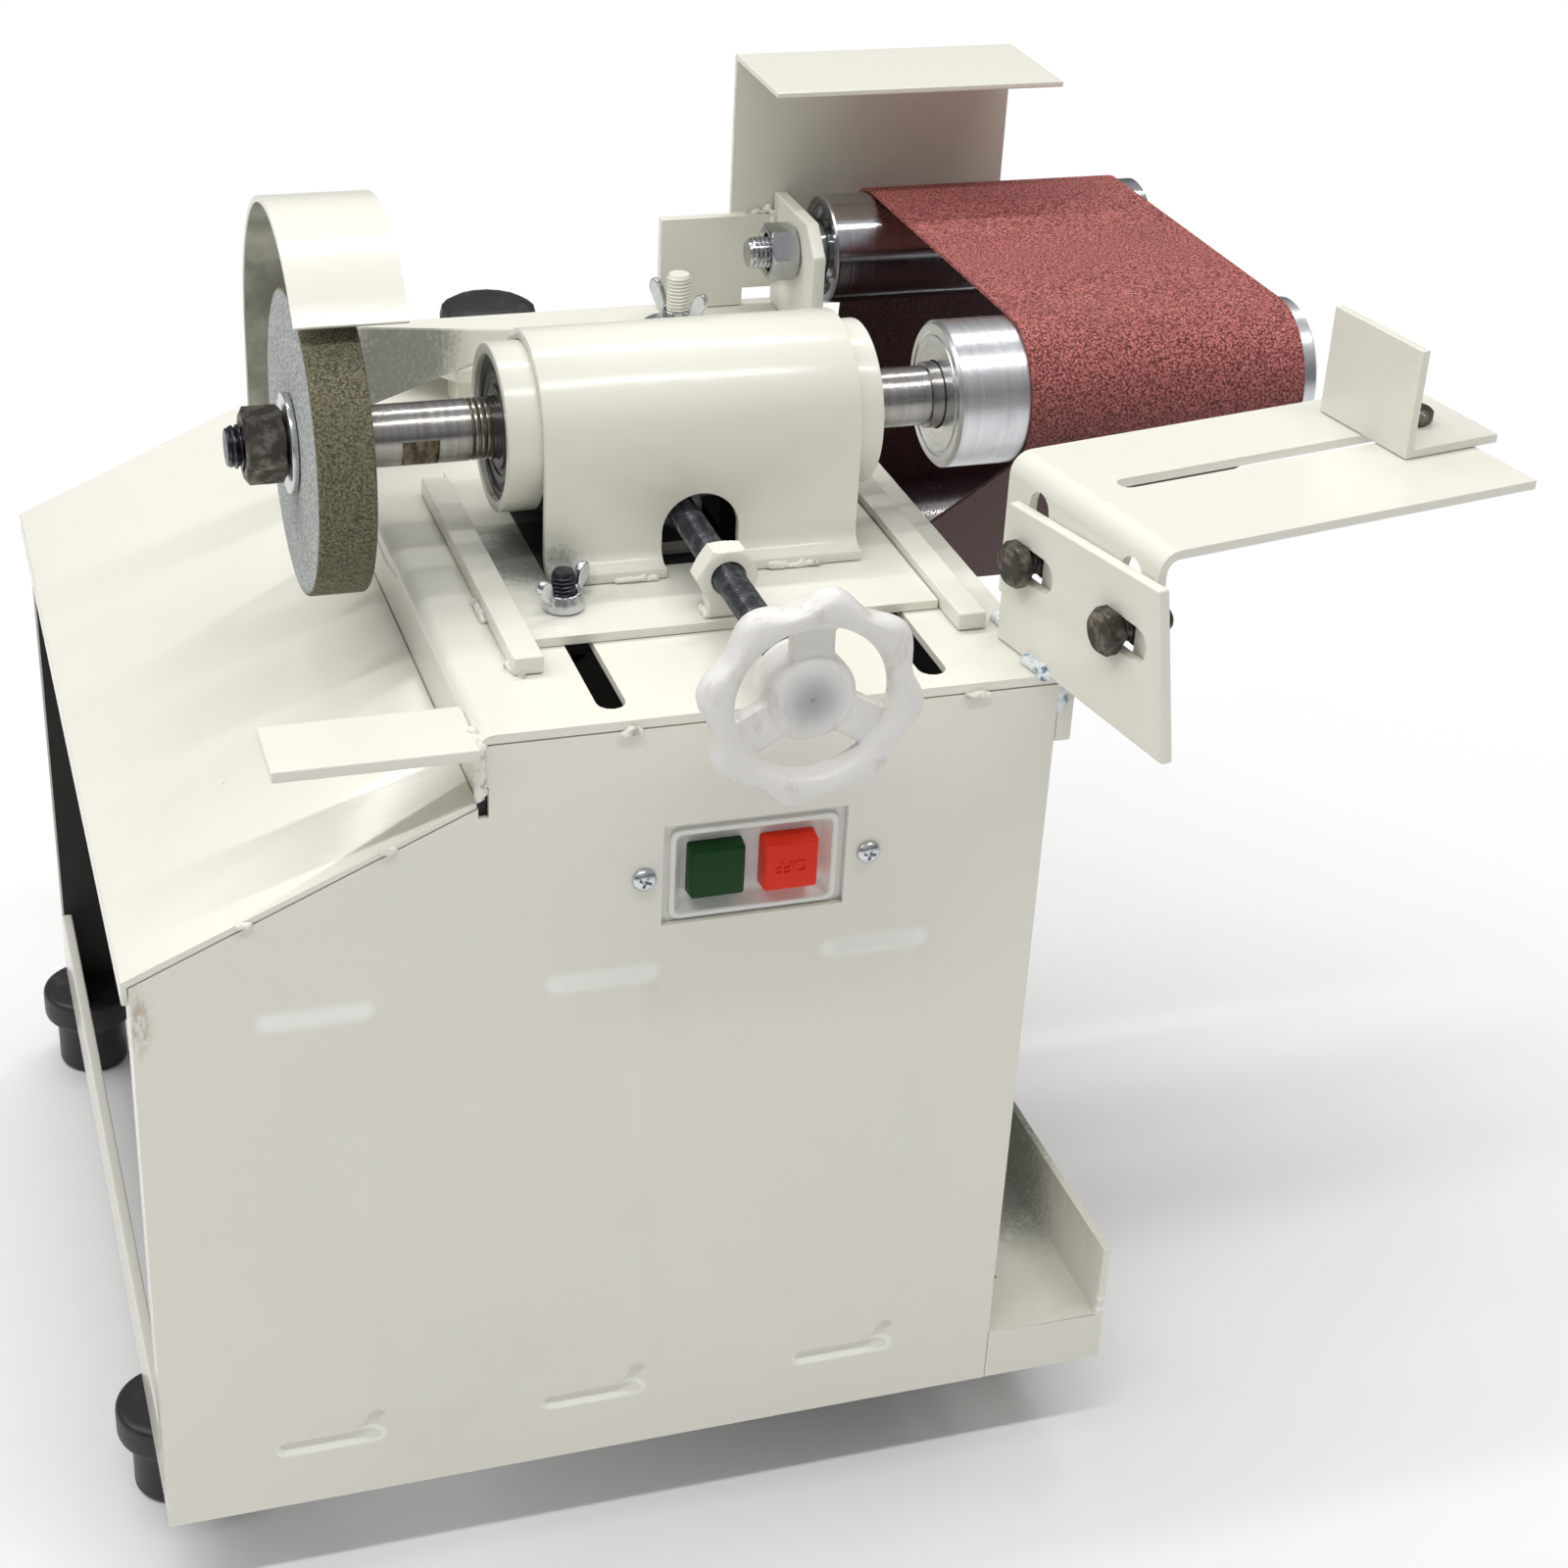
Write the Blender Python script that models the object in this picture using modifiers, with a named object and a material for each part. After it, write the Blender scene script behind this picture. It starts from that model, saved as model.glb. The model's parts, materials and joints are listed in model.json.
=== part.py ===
"""Belt and disc sander: a sheet cabinet that carries a screw-fed spindle saddle.

The spindle drives a grinding wheel on the left and the drive roller of a sanding belt on the right.
Metres, +Z up, +Y to the back. The origin is on the floor under the middle of the whole footprint.
"""
import math

import bmesh
import bpy
from mathutils import Matrix, Vector

for old in list(bpy.data.objects):
    bpy.data.objects.remove(old, do_unlink=True)

# Fits
GAP = 0.0003             # seat gap between pieces that rest on each other
RUN = 0.0003             # radial clearance of a shaft in its bore
SLIDE = 0.0005           # side clearance of a sliding piece
OVERLAP = 0.0008         # how far welded shapes of one piece run into each other
INSET = 0.0002           # how far a welded shape's side stands in from the side it would meet
PAST = 0.002             # how far a cutter runs past the faces that it cuts

# Cabinet
CAB_W = 0.287
CAB_D = 0.338
CAB_H = 0.283
SHEET = 0.002            # cabinet sheet
TOP_T = 0.003            # top plate
TOP_W = 0.183            # top plate, from its folded edge to the right side
STEP_DROP = 0.022        # from the top down to the sloped cover at the fold
SLOPE_FALL = 0.047       # fall of the sloped cover from the fold to the left side
LIP = 0.008              # folded lip on the sloped cover
FOLD_DROP = 0.032        # depth of the top plate's folded edge
FOLD_R = 0.005
FLANGE = 0.014           # return flange on the front panel
RAIL_T = 0.004
RAIL_H = 0.031
VENTS = 5
VENT_PITCH = 0.016
VENT_W = 0.006
VENT_L = 0.090
VENT_LOW = 0.060

# Feet
FOOT_H = 0.037
FOOT_R = 0.014
FOOT_HEAD_R = 0.0188
FOOT_HEAD_H = 0.013
FOOT_EDGE = 0.004
FOOT_NECK = 0.002
FOOT_SOLE = 0.004
FOOT_FRONT = 0.0625      # from the front of the cabinet
FOOT_BACK = 0.0095       # from the back of the cabinet
FOOT_IN = 0.008          # foot centre from the cabinet's left side

# Base frame on the right
EXT_W = 0.0445
BAR_D = 0.028
BAR_H = 0.020
SIDE_W = 0.030
UPRIGHT_T = 0.003
UPRIGHT_H = 0.049

# Embossed bars on the front panel
BEAD_L = 0.030
BEAD_H = 0.007
BEAD_CORNER = 0.003
BEAD_PROUD = 0.0009
BEAD_DROP = 0.0895       # upper row, from the top down
BEAD_LOW = 0.0245        # lower row, from the base up
BEAD_FIRST = 0.054       # first bar from the left side
BEAD_PITCH = 0.089
BEADS = 3

# Spindle
SPINDLE_IN = 0.122       # axis from the front of the cabinet
SPINDLE_UP = 0.044       # axis above the top plate
SHAFT_R = 0.010
SHAFT_EDGE = 0.001
SHAFT_SHORT = 0.004      # how far the shaft stops short of the drive roller's end
STUD_R = 0.007           # threaded end of the spindle and the idler axles
THREAD_EDGE = 0.0015
THREAD_OUT = 0.005       # thread beyond a nut
NUT_AF = 0.0215          # across flats of the wheel nut and the lower axle's head
IDLER_AF = 0.019
NUT_H = 0.013
AXLE_HEAD_H = 0.010
WHEEL_R = 0.0485
WHEEL_T = 0.018
WHEEL_EDGE = 0.001
WHEEL_IN = 0.072         # wheel's left face from the left side
WASHER_R = 0.016
WASHER_T = 0.0022
COLLAR_R = 0.018
COLLAR_T = 0.003
FLAT_BACK = 0.016        # from the left bearing ring back to the start of the flats
FLAT_L = 0.014
FLAT_CUT = 0.0012
DRIVE_R = 0.0247
ROLLER_L = 0.131
ROLLER_EDGE = 0.0015     # edge break on the rollers
DRIVE_OUT = 0.0005       # drive roller's left face from the right side

# Spindle saddle
GUIDE_W = 0.0095
GUIDE_T = 0.006
GUIDE_L = 0.138
GUIDE_AHEAD = 0.088      # front end ahead of the spindle
GUIDE_LEFT_IN = 0.0185   # left bar from the fold
GUIDE_RIGHT_IN = 0.021   # right bar from the right side
SADDLE_T = 0.003
SADDLE_AHEAD = 0.071
SADDLE_BEHIND = 0.060
ARCH_LEFT_IN = 0.014     # arch from the left guide bar
ARCH_IN = 0.036          # and from the right side
ARCH_T = 0.0035
ARCH_FOOT = 0.007
RING_WALL = 0.0037
RING_W = 0.022
RING_OUT_LEFT = 0.011    # ring beyond the arch
RING_OUT_RIGHT = 0.009
BEARING_R = 0.0235
BEARING_W = 0.014
BEARING_IN = 0.002       # how deep each bearing sits in its ring
KEYHOLE_R = 0.0128
KEYHOLE_OFF = 0.0022     # keyhole to the right of the screw
KEYHOLE_DROP = 0.001
KEYHOLE_DEEP = 0.006

# Feed screw and handwheel
SCREW_IN = 0.0917        # screw axis from the right side
SCREW_UP = 0.017         # screw axis above the top plate
SCREW_R = 0.005
SCREW_COLLAR_R = 0.0078
SCREW_COLLAR_T = 0.004
SCREW_END = 0.002
SCREW_OUT = 0.032        # front end ahead of the cabinet
FEED_AF = 0.018
FEED_NUT_T = 0.009
FEED_AHEAD = 0.0695      # nut ahead of the spindle
NUT_FOOT_W = 0.012
ANCHOR_W = 0.015
ANCHOR_T = 0.010
ANCHOR_H = 0.025
ANCHOR_AHEAD = 0.010
ANCHOR_ROOM = 0.004
HAND_BACK = 0.0035       # plane of the rim behind the screw's front end
HAND_R = 0.0287
HAND_LOBE = 0.0010
HAND_LOBES = 8
HAND_TUBE = 0.0056
HUB_R = 0.0140
HUB_L = 0.020
HUB_TAPER = 0.002
HUB_EDGE = 0.001
CAP_R = 0.0075
CAP_H = 0.0035
SPOKE_W = 0.0128
SPOKE_T = 0.006
SPOKE_ROOT = 0.003
SPOKES = 3

# Motor, its pulleys and its belt
PULLEY_IN = 0.062        # pulleys' middle from the right side
PULLEY_R = 0.024
PULLEY_W = 0.018
MOTOR_PULLEY_R = 0.030
GROOVE = 0.0048          # depth of the pulley grooves
GROOVE_TOP = 0.0053      # half width of a groove at its rim
GROOVE_LOW = 0.0037
VBELT_HALF = 0.0032
VBELT_T = 0.0050
WINDOW_HALF = 0.012      # half width of the belt's windows
WINDOW_CORNER = 0.003
MOTOR_DROP = 0.133       # motor axis below the top
MOTOR_R = 0.052
MOTOR_L = 0.134
MOTOR_BELL = 0.022       # front end bell
MOTOR_BELL_STEP = 0.004
MOTOR_BELL_EDGE = 0.004
MOTOR_FAN = 0.034        # fan cover at the rear
MOTOR_FAN_STEP = 0.003
MOTOR_DOME = 0.010
MOTOR_POCKET = 0.012     # depth of the shaft's seat
MOTOR_SHAFT_R = 0.007
SHAFT_ROOM = 0.004
SHAFT_NOSE = 0.003
HANGER_T = 0.005
HANGER_OFF = 0.020       # hanger's upright face from the pulleys' middle
HANGER_AHEAD = 0.062
HANGER_LEFT = 0.017      # plate beyond the clamp bolt
HANGER_PAST = 0.012      # plate beyond the knob
HANGER_HALF = 0.056      # half width of the upright
HANGER_DROP = 0.188      # foot of the upright below the top
CLAMP_OFF = 0.015        # clamp bolt from the left guide bar
CLAMP_AHEAD = 0.0515
CLAMP_R = 0.004
CLAMP_AF = 0.013
CLAMP_HEAD = 0.005
CLAMP_OUT = 0.013        # bolt above the saddle plate
SLOT_ROOM = 0.0005
SLOT_FRONT = 0.008       # slots from the front of the cabinet
SLOT_PAST = 0.0335       # slots behind the clamp bolt
SLOT_RIGHT_IN = 0.038
KNOB_OFF = 0.027         # knob from the hanger's upright face
KNOB_BACK = 0.024        # knob from the back of the cabinet
KNOB_R = 0.019
KNOB_H = 0.015
KNOB_CROWN = 0.006
KNOB_EDGE = 0.003
KNOB_STEM_OUT = 0.006
TRAVEL = 0.006           # feed travel of the saddle

# Wing nuts
WING_BASE_R = 0.0068
WING_CROWN = 0.0012
WING_SKIRT = 0.0035
WING_H = 0.009
WING_SPAN = 0.0145
WING_TOP = 0.0155
WING_T = 0.0030
WING_ROOT = 0.0012
WING_LOW = 0.0048
WING_RISE = 0.0085
WING_TIP = 0.0030

# Sliding arm with the rear idler
ARM_LIFT = 0.012         # height of the block under the arm
ARM_T = 0.005
ARM_D = 0.054
ARM_BACK_IN = 0.046      # arm's back edge from the back of the cabinet
ARM_OUT = 0.001          # arm beyond the right side
ARM_NECK_IN = 0.028      # corners of the tapered left end, from the fold
ARM_NECK_D = 0.030
ARM_HIP_IN = 0.046
TONGUE_OUT = 0.004       # tip of the tapered end beyond the fold
TONGUE_W = 0.006
ARM_TRAVEL = 0.0045
BLOCK_IN = 0.004
BLOCK_D = 0.016
BLOCK_END = 0.003        # block from the right side
ARM_STUD_IN = 0.0475
ARM_STUD_AHEAD = 0.028   # stud ahead of the arm's back edge
ARM_STUD_R = 0.005
ARM_STUD_OUT = 0.022
ARM_WASHER_R = 0.0135
ARM_WASHER_T = 0.002
IDLER_R = 0.0202
IDLER_L = 0.128
IDLER_OUT = 0.0065       # idlers' left face from the right side
IDLER_AHEAD = 0.031      # axis ahead of the arm's back edge
IDLER_UP = 0.047         # axis above the top plate
IDLER_RECESS_R = 0.0165
IDLER_RECESS = 0.004
SHOULDER_R = 0.0115
AXLE_SHORT = 0.003
BRACKET_T = 0.005
BRACKET_IN = 0.004
BRACKET_H = 0.044
BRACKET_CUT = 0.010

# Guards on the arm
GUARD_T = 0.002
GUARD_W = 0.110
GUARD_IN = 0.021         # guard's left end from the right side
GUARD_AHEAD = 0.0045     # guard's front face ahead of the arm's back edge
GUARD_UP = 0.114
GUARD_LOW_UP = 0.034
GUARD_DEEP = 0.052
GUARD_BELT_UP = 0.0515   # guard's foot where it stands behind the belt
GUARD_BELT_ROOM = 0.004
TAB_W = 0.0445
TAB_H = 0.036
TAB_T = 0.003
TAB_NOTCH = 0.0115
TAB_NOTCH_H = 0.0068
HOOD_BEHIND = 0.020      # hood's centre behind and above the spindle
HOOD_RISE = 0.008
HOOD_ROOM = 0.012        # hood's inside beyond the wheel's radius
HOOD_T = 0.002
HOOD_LEFT = 0.0025       # hood beyond the wheel's left face
HOOD_W = 0.035
HOOD_END = math.radians(140)
HOOD_LOW_UP = 0.022
WEB_T = 0.003
WEB_UP = 0.050
WEB_IN = 0.004
WEB_TIP = 0.004
WEB_END_IN = 0.076       # far end of the web from the fold
WEB_END_AHEAD = 0.030    # and from the arm's back edge

# Lower idler and the sanding belt
LOWER_R = 0.020
LOWER_BACK = 0.057       # axis from the back of the cabinet
LOWER_DROP = 0.083       # axis below the top
BELT_OUT = 0.0255        # belt from the right side
BELT_W = 0.100
BELT_T = 0.0012

# Switch
SWITCH_W = 0.0585
SWITCH_H = 0.0347
SWITCH_DEEP = 0.042
SWITCH_IN = 0.067        # switch from the right side
SWITCH_DROP = 0.0383     # switch below the top
SWITCH_BACK = 0.0005     # bezel behind the panel's face
EAR_W = 0.014
EAR_H = 0.016
EAR_T = 0.003
KEY_W = 0.0190
KEY_H = 0.0215
KEY_FIRST = 0.0174
KEY_PITCH = 0.0234
KEY_UP = 0.0174
KEY_EDGE = 0.0012
KEY_OUT_GREEN = 0.003
KEY_OUT_RED = 0.005
KEY_IN = 0.009           # length of a key inside the bezel
KEY_FREE = 0.0045        # free depth behind a key
SWITCH_SCREW_LEFT = 0.0062
SWITCH_SCREW_RIGHT = 0.0077
SWITCH_SCREW_R = 0.0016
SWITCH_SCREW_L = 0.009
SWITCH_HEAD_R = 0.0038
SWITCH_HEAD = 0.0020
SWITCH_HEAD_EDGE = 0.0010

# Left tool rest
TOOL_L = 0.0605
TOOL_W = 0.028
TOOL_AHEAD = 0.006
TOOL_T = 0.004
TOOL_DROP = 0.001        # its top face below the top plate's

# Work rest, set at an angle in plan
REST_YAW = math.radians(10.5)
REST_OUT = 0.002         # turning point from the cabinet's right side
REST_AHEAD = 0.005       # and ahead of its front
REST_BACK = 0.002        # flange's face to the left of the turning point
MOUNT_T = 0.004
MOUNT_AHEAD = 0.056      # front edge at the foot
MOUNT_TOP_AHEAD = 0.0445 # and at the top, since that edge leans
MOUNT_BEHIND = 0.0345
MOUNT_H = 0.0467
MOUNT_RISE = 0.0047      # how much higher the front corner is
MOUNT_SLOT_AHEAD = 0.0165
MOUNT_SLOT_BEHIND = 0.0075
REST_T = 0.003
REST_L = 0.141
REST_FRONT = 0.038
REST_BEHIND = 0.042
REST_UP = 0.0595         # top face above the top plate
REST_DROP = 0.047
REST_BEND = 0.007
REST_LIFT = 0.005        # free travel in the upright slots
LIFT_TOP = 0.053
REST_SLOT_IN = 0.015
REST_SLOT_END = 0.1345
REST_SLOT_Y = 0.0085
REST_BOLT_UP = 0.0305
REST_BOLT_BACK = 0.0245
REST_BOLT_FRONT = 0.025
REST_BOLT_R = 0.005
REST_AF = 0.013
REST_HEAD = 0.0045
REST_NUT = 0.008
REST_END = 0.004
FENCE_IN = 0.110
FENCE_W = 0.037
FENCE_H = 0.0355
FENCE_FRONT = 0.010
FENCE_BEHIND = 0.033
FENCE_BOLT_IN = 0.018
FENCE_BOLT_R = 0.003
FENCE_AF = 0.010
FENCE_HEAD = 0.0045

# Facets on round shapes
SEG_BIG = 32
SEG = 22
SEG_SMALL = 14
FOOT_SEG = 18
WHEEL_SEG = 40
ARC_STEPS = 20
BELT_STEPS = 14
BEND_STEPS = 5
RIM_STEPS = 6            # points on the handwheel's rim for each lobe

# The footprint's reach from the cabinet's front left corner
rest_face = -REST_BACK
mount_right = rest_face - GAP
mount_left = mount_right - MOUNT_T
fence_right = FENCE_IN + FENCE_W
reach_left = FOOT_HEAD_R - FOOT_IN
reach_right = CAB_W + REST_OUT + math.cos(REST_YAW) * fence_right + math.sin(REST_YAW) * FENCE_FRONT
reach_front = REST_AHEAD - math.sin(REST_YAW) * mount_left + math.cos(REST_YAW) * MOUNT_AHEAD
reach_back = CAB_D - FOOT_BACK + FOOT_HEAD_R

# Planes of the cabinet
LEFT = (reach_left - reach_right) / 2
RIGHT = LEFT + CAB_W
FRONT = (reach_front - reach_back) / 2
BACK = FRONT + CAB_D
BASE = FOOT_H
TOP = BASE + CAB_H
UNDER = TOP - TOP_T
FOLD = RIGHT - TOP_W
COVER_HIGH = TOP - STEP_DROP
COVER_LOW = COVER_HIGH - SLOPE_FALL

# Axes and planes of the mechanism
SPINDLE_Y = FRONT + SPINDLE_IN
SPINDLE_Z = TOP + SPINDLE_UP
WHEEL_X = LEFT + WHEEL_IN
DRIVE_X = RIGHT + DRIVE_OUT
GUIDE_LEFT_X = FOLD + GUIDE_LEFT_IN
GUIDE_RIGHT_X = RIGHT - GUIDE_RIGHT_IN
ARCH_X1 = RIGHT - ARCH_IN
ARCH_X0 = GUIDE_LEFT_X + GUIDE_W + ARCH_LEFT_IN
RING_R = BEARING_R + RING_WALL
RING_LEFT_X = ARCH_X0 - RING_OUT_LEFT
RING_RIGHT_X = ARCH_X1 + RING_OUT_RIGHT - RING_W
SCREW_X = RIGHT - SCREW_IN
SCREW_Z = TOP + SCREW_UP
SCREW_Y = FRONT - SCREW_OUT
HAND_Y = SCREW_Y + HAND_BACK
FEED_NUT_Y = SPINDLE_Y - FEED_AHEAD
ANCHOR_Y = SPINDLE_Y - ANCHOR_AHEAD
PULLEY_X = RIGHT - PULLEY_IN
MOTOR_Z = TOP - MOTOR_DROP
HANGER_X = PULLEY_X - HANGER_OFF
CLAMP_X = GUIDE_LEFT_X + GUIDE_W + CLAMP_OFF
CLAMP_Y = SPINDLE_Y - CLAMP_AHEAD
KNOB_X = HANGER_X - KNOB_OFF
KNOB_Y = BACK - KNOB_BACK
ARM_BACK = BACK - ARM_BACK_IN
ARM_FRONT = ARM_BACK - ARM_D
ARM_Z = TOP + 2 * GAP + ARM_LIFT
ARM_TOP = ARM_Z + ARM_T
ARM_STUD_X = RIGHT - ARM_STUD_IN
ARM_STUD_Y = ARM_BACK - ARM_STUD_AHEAD
IDLER_X = RIGHT + IDLER_OUT
IDLER_Y = ARM_BACK - IDLER_AHEAD
IDLER_Z = TOP + IDLER_UP
BRACKET_X = RIGHT - BRACKET_IN
GUARD_Y = ARM_BACK - GUARD_AHEAD
HOOD_X = WHEEL_X - HOOD_LEFT
HOOD_Y = SPINDLE_Y + HOOD_BEHIND
HOOD_Z = SPINDLE_Z + HOOD_RISE
HOOD_R = WHEEL_R + HOOD_ROOM
LOWER_Y = BACK - LOWER_BACK
LOWER_Z = TOP - LOWER_DROP
BELT_X = RIGHT + BELT_OUT
SWITCH_X1 = RIGHT - SWITCH_IN
SWITCH_X0 = SWITCH_X1 - SWITCH_W
SWITCH_Z1 = TOP - SWITCH_DROP
SWITCH_Z0 = SWITCH_Z1 - SWITCH_H
KEY_GREEN_X = SWITCH_X0 + KEY_FIRST
KEY_RED_X = KEY_GREEN_X + KEY_PITCH
KEY_Z = SWITCH_Z0 + KEY_UP
SCREW_LEFT_X = SWITCH_X0 - SWITCH_SCREW_LEFT
SCREW_RIGHT_X = SWITCH_X1 + SWITCH_SCREW_RIGHT
REST_TOP = TOP + REST_UP
REST_BOLT_Z = TOP + REST_BOLT_UP
SLOT_W = 2 * (CLAMP_R + SLOT_ROOM)
STUD_BORE = STUD_R + RUN


def collection(name):
    made = bpy.data.collections.new(name)
    bpy.context.scene.collection.children.link(made)
    return made


PARTS = collection("belt_disc_sander")
CUTTERS = collection("cutters")


def paint(name, colour, roughness, metallic):
    made = bpy.data.materials.new(name)
    made.use_nodes = True
    shader = made.node_tree.nodes["Principled BSDF"]
    shader.inputs["Base Color"].default_value = (*colour, 1.0)
    shader.inputs["Roughness"].default_value = roughness
    shader.inputs["Metallic"].default_value = metallic
    return made


CREAM = paint("cream_paint", (0.80, 0.78, 0.69), 0.35, 0.0)
STEEL = paint("bright_steel", (0.60, 0.60, 0.60), 0.28, 1.0)
ALUMINIUM = paint("turned_aluminium", (0.75, 0.75, 0.76), 0.32, 1.0)
OXIDE = paint("dark_oxide", (0.06, 0.055, 0.05), 0.45, 0.8)
ZINC = paint("zinc_plate", (0.62, 0.65, 0.66), 0.30, 1.0)
STONE = paint("grinding_stone", (0.33, 0.33, 0.29), 0.90, 0.0)
GRIT = paint("abrasive_cloth", (0.27, 0.07, 0.06), 0.90, 0.0)
RUBBER = paint("black_rubber", (0.012, 0.012, 0.012), 0.60, 0.0)
NYLON = paint("white_nylon", (0.82, 0.82, 0.80), 0.40, 0.0)
BEZEL = paint("white_plastic", (0.80, 0.80, 0.78), 0.40, 0.0)
GREEN = paint("green_plastic", (0.02, 0.17, 0.05), 0.40, 0.0)
RED = paint("red_plastic", (0.80, 0.07, 0.04), 0.40, 0.0)
SEAL = paint("bearing_seal", (0.05, 0.05, 0.05), 0.50, 0.3)
MOTOR = paint("motor_grey", (0.16, 0.18, 0.19), 0.50, 0.2)

SHARP = math.radians(35)
WELD_DISTANCE = 0.000005


def place(name, mesh, material, origin=(0, 0, 0), parent=None):
    """Make an object whose mesh is given in frame coordinates and whose origin is the given point.

    Without a material the object is a cutter, or a shape to weld on.
    """
    mesh.transform(Matrix.Translation(-Vector(origin)))
    made = bpy.data.objects.new(name, mesh)
    made.location = origin
    made.parent = parent
    if material is None:
        CUTTERS.objects.link(made)
        made.hide_render = True
        made.display_type = "WIRE"
    else:
        PARTS.objects.link(made)
        mesh.materials.clear()
        mesh.materials.append(material)
    mesh.shade_smooth()
    mesh.set_sharp_from_angle(angle=SHARP)
    return made


def box(name, lo, hi, material=None, origin=None, parent=None):
    shape = bmesh.new()
    bmesh.ops.create_cube(shape, size=1.0)
    size = Vector(hi) - Vector(lo)
    middle = (Vector(hi) + Vector(lo)) / 2
    bmesh.ops.scale(shape, vec=size, verts=shape.verts)
    bmesh.ops.translate(shape, vec=middle, verts=shape.verts)
    mesh = bpy.data.meshes.new(name)
    shape.to_mesh(mesh)
    shape.free()
    return place(name, mesh, material, middle if origin is None else origin, parent)


TURN = {
    "X": Matrix.Rotation(math.radians(90), 4, "Y"),
    "Y": Matrix.Rotation(math.radians(-90), 4, "X"),
    "Z": Matrix.Identity(4),
}


def rod(name, axis, start, radius, length, material=None, segments=SEG_SMALL, parent=None):
    """A round or six-sided bar from a start point along an axis."""
    shape = bmesh.new()
    bmesh.ops.create_cone(shape, cap_ends=True, segments=segments, radius1=radius, radius2=radius,
                          depth=length)
    bmesh.ops.translate(shape, vec=(0, 0, length / 2), verts=shape.verts)
    mesh = bpy.data.meshes.new(name)
    shape.to_mesh(mesh)
    shape.free()
    mesh.transform(Matrix.Translation(start) @ TURN[axis])
    return place(name, mesh, material, start, parent)


def hexagon(name, axis, start, across, length, material=None, parent=None):
    return rod(name, axis, start, across / math.sqrt(3), length, material, 6, parent)


def bore_through(target, axis, start, radius, length, parent=None):
    """Cut a round hole that runs past both ends of the length given."""
    back = TURN[axis] @ Vector((0, 0, PAST))
    tool = rod(f"{target.name}_bore", axis, Vector(start) - back, radius, length + 2 * PAST,
               segments=SEG, parent=parent)
    cut(target, tool)


def turned(name, axis, start, profile, material=None, segments=SEG, closed=False):
    """Turn a profile of (radius, height) points, listed down the outer side, about an axis."""
    mesh = bpy.data.meshes.new(name)
    points = [(radius, 0, height) for radius, height in profile]
    edges = [(i, i + 1) for i in range(len(points) - 1)]
    if closed:
        edges.append((len(points) - 1, 0))
    mesh.from_pydata(points, edges, [])
    made = place(name, mesh, material)
    made.location = start
    made.rotation_euler = TURN[axis].to_euler()
    screw = made.modifiers.new("turn", "SCREW")
    screw.axis = "Z"
    screw.steps = segments
    screw.render_steps = segments
    screw.use_merge_vertices = True
    screw.merge_threshold = WELD_DISTANCE
    screw.use_normal_calculate = False
    return made


def ring(inner, outer, height):
    """The closed profile of a flat ring."""
    return [(inner, height), (outer, height), (outer, 0), (inner, 0)]


PLANE = {
    "XY": Matrix.Identity(4),
    "XZ": Matrix(((1, 0, 0, 0), (0, 0, -1, 0), (0, 1, 0, 0), (0, 0, 0, 1))),
    "YZ": Matrix(((0, 0, 1, 0), (1, 0, 0, 0), (0, 1, 0, 0), (0, 0, 0, 1))),
}
ACROSS = {"XY": Vector((0, 0, 1)), "XZ": Vector((0, 1, 0)), "YZ": Vector((1, 0, 0))}


def sheet(name, plane, outlines, lo, hi, material=None, origin=(0, 0, 0), parent=None):
    """Fill flat outlines, the first one outermost, and give them thickness from lo to hi."""
    curve = bpy.data.curves.new(name, "CURVE")
    curve.dimensions = "2D"
    curve.fill_mode = "BOTH"
    curve.extrude = (hi - lo) / 2
    for outline in outlines:
        spline = curve.splines.new("POLY")
        spline.points.add(len(outline) - 1)
        spline.use_cyclic_u = True
        for point, (u, v) in zip(spline.points, outline):
            point.co = (u, v, 0, 1)
    stand = Matrix.Translation(ACROSS[plane] * (lo + hi) / 2) @ PLANE[plane]
    return solid(name, curve, stand, material, origin, parent)


def solid(name, curve, stand, material, origin=(0, 0, 0), parent=None):
    """Turn a curve into a closed mesh and stand it in its place."""
    guide = bpy.data.objects.new(name + "_curve", curve)
    bpy.context.scene.collection.objects.link(guide)
    bpy.context.view_layer.update()
    depsgraph = bpy.context.evaluated_depsgraph_get()
    mesh = bpy.data.meshes.new_from_object(guide.evaluated_get(depsgraph))
    bpy.data.objects.remove(guide, do_unlink=True)
    shape = bmesh.new()
    shape.from_mesh(mesh)
    bmesh.ops.remove_doubles(shape, verts=shape.verts, dist=WELD_DISTANCE)
    bmesh.ops.recalc_face_normals(shape, faces=shape.faces)
    shape.to_mesh(mesh)
    shape.free()
    mesh.transform(stand)
    mesh.name = name
    return place(name, mesh, material, origin, parent)


def boolean(target, tool, operation):
    step = target.modifiers.new(operation.lower(), "BOOLEAN")
    step.operation = operation
    step.solver = "EXACT"
    step.object = tool


def cut(target, *tools):
    for tool in tools:
        boolean(target, tool, "DIFFERENCE")


def weld(target, *tools):
    for tool in tools:
        boolean(target, tool, "UNION")


def arc(u, v, radius, start, stop, steps):
    """Points along an arc about (u, v), both ends included."""
    angles = [start + (stop - start) * i / steps for i in range(steps + 1)]
    return [(u + radius * math.cos(a), v + radius * math.sin(a)) for a in angles]


def circle(u, v, radius, steps=SEG):
    return arc(u, v, radius, 0, 2 * math.pi * (steps - 1) / steps, steps - 1)


def rectangle(u0, v0, u1, v1):
    return [(u0, v0), (u1, v0), (u1, v1), (u0, v1)]


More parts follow.
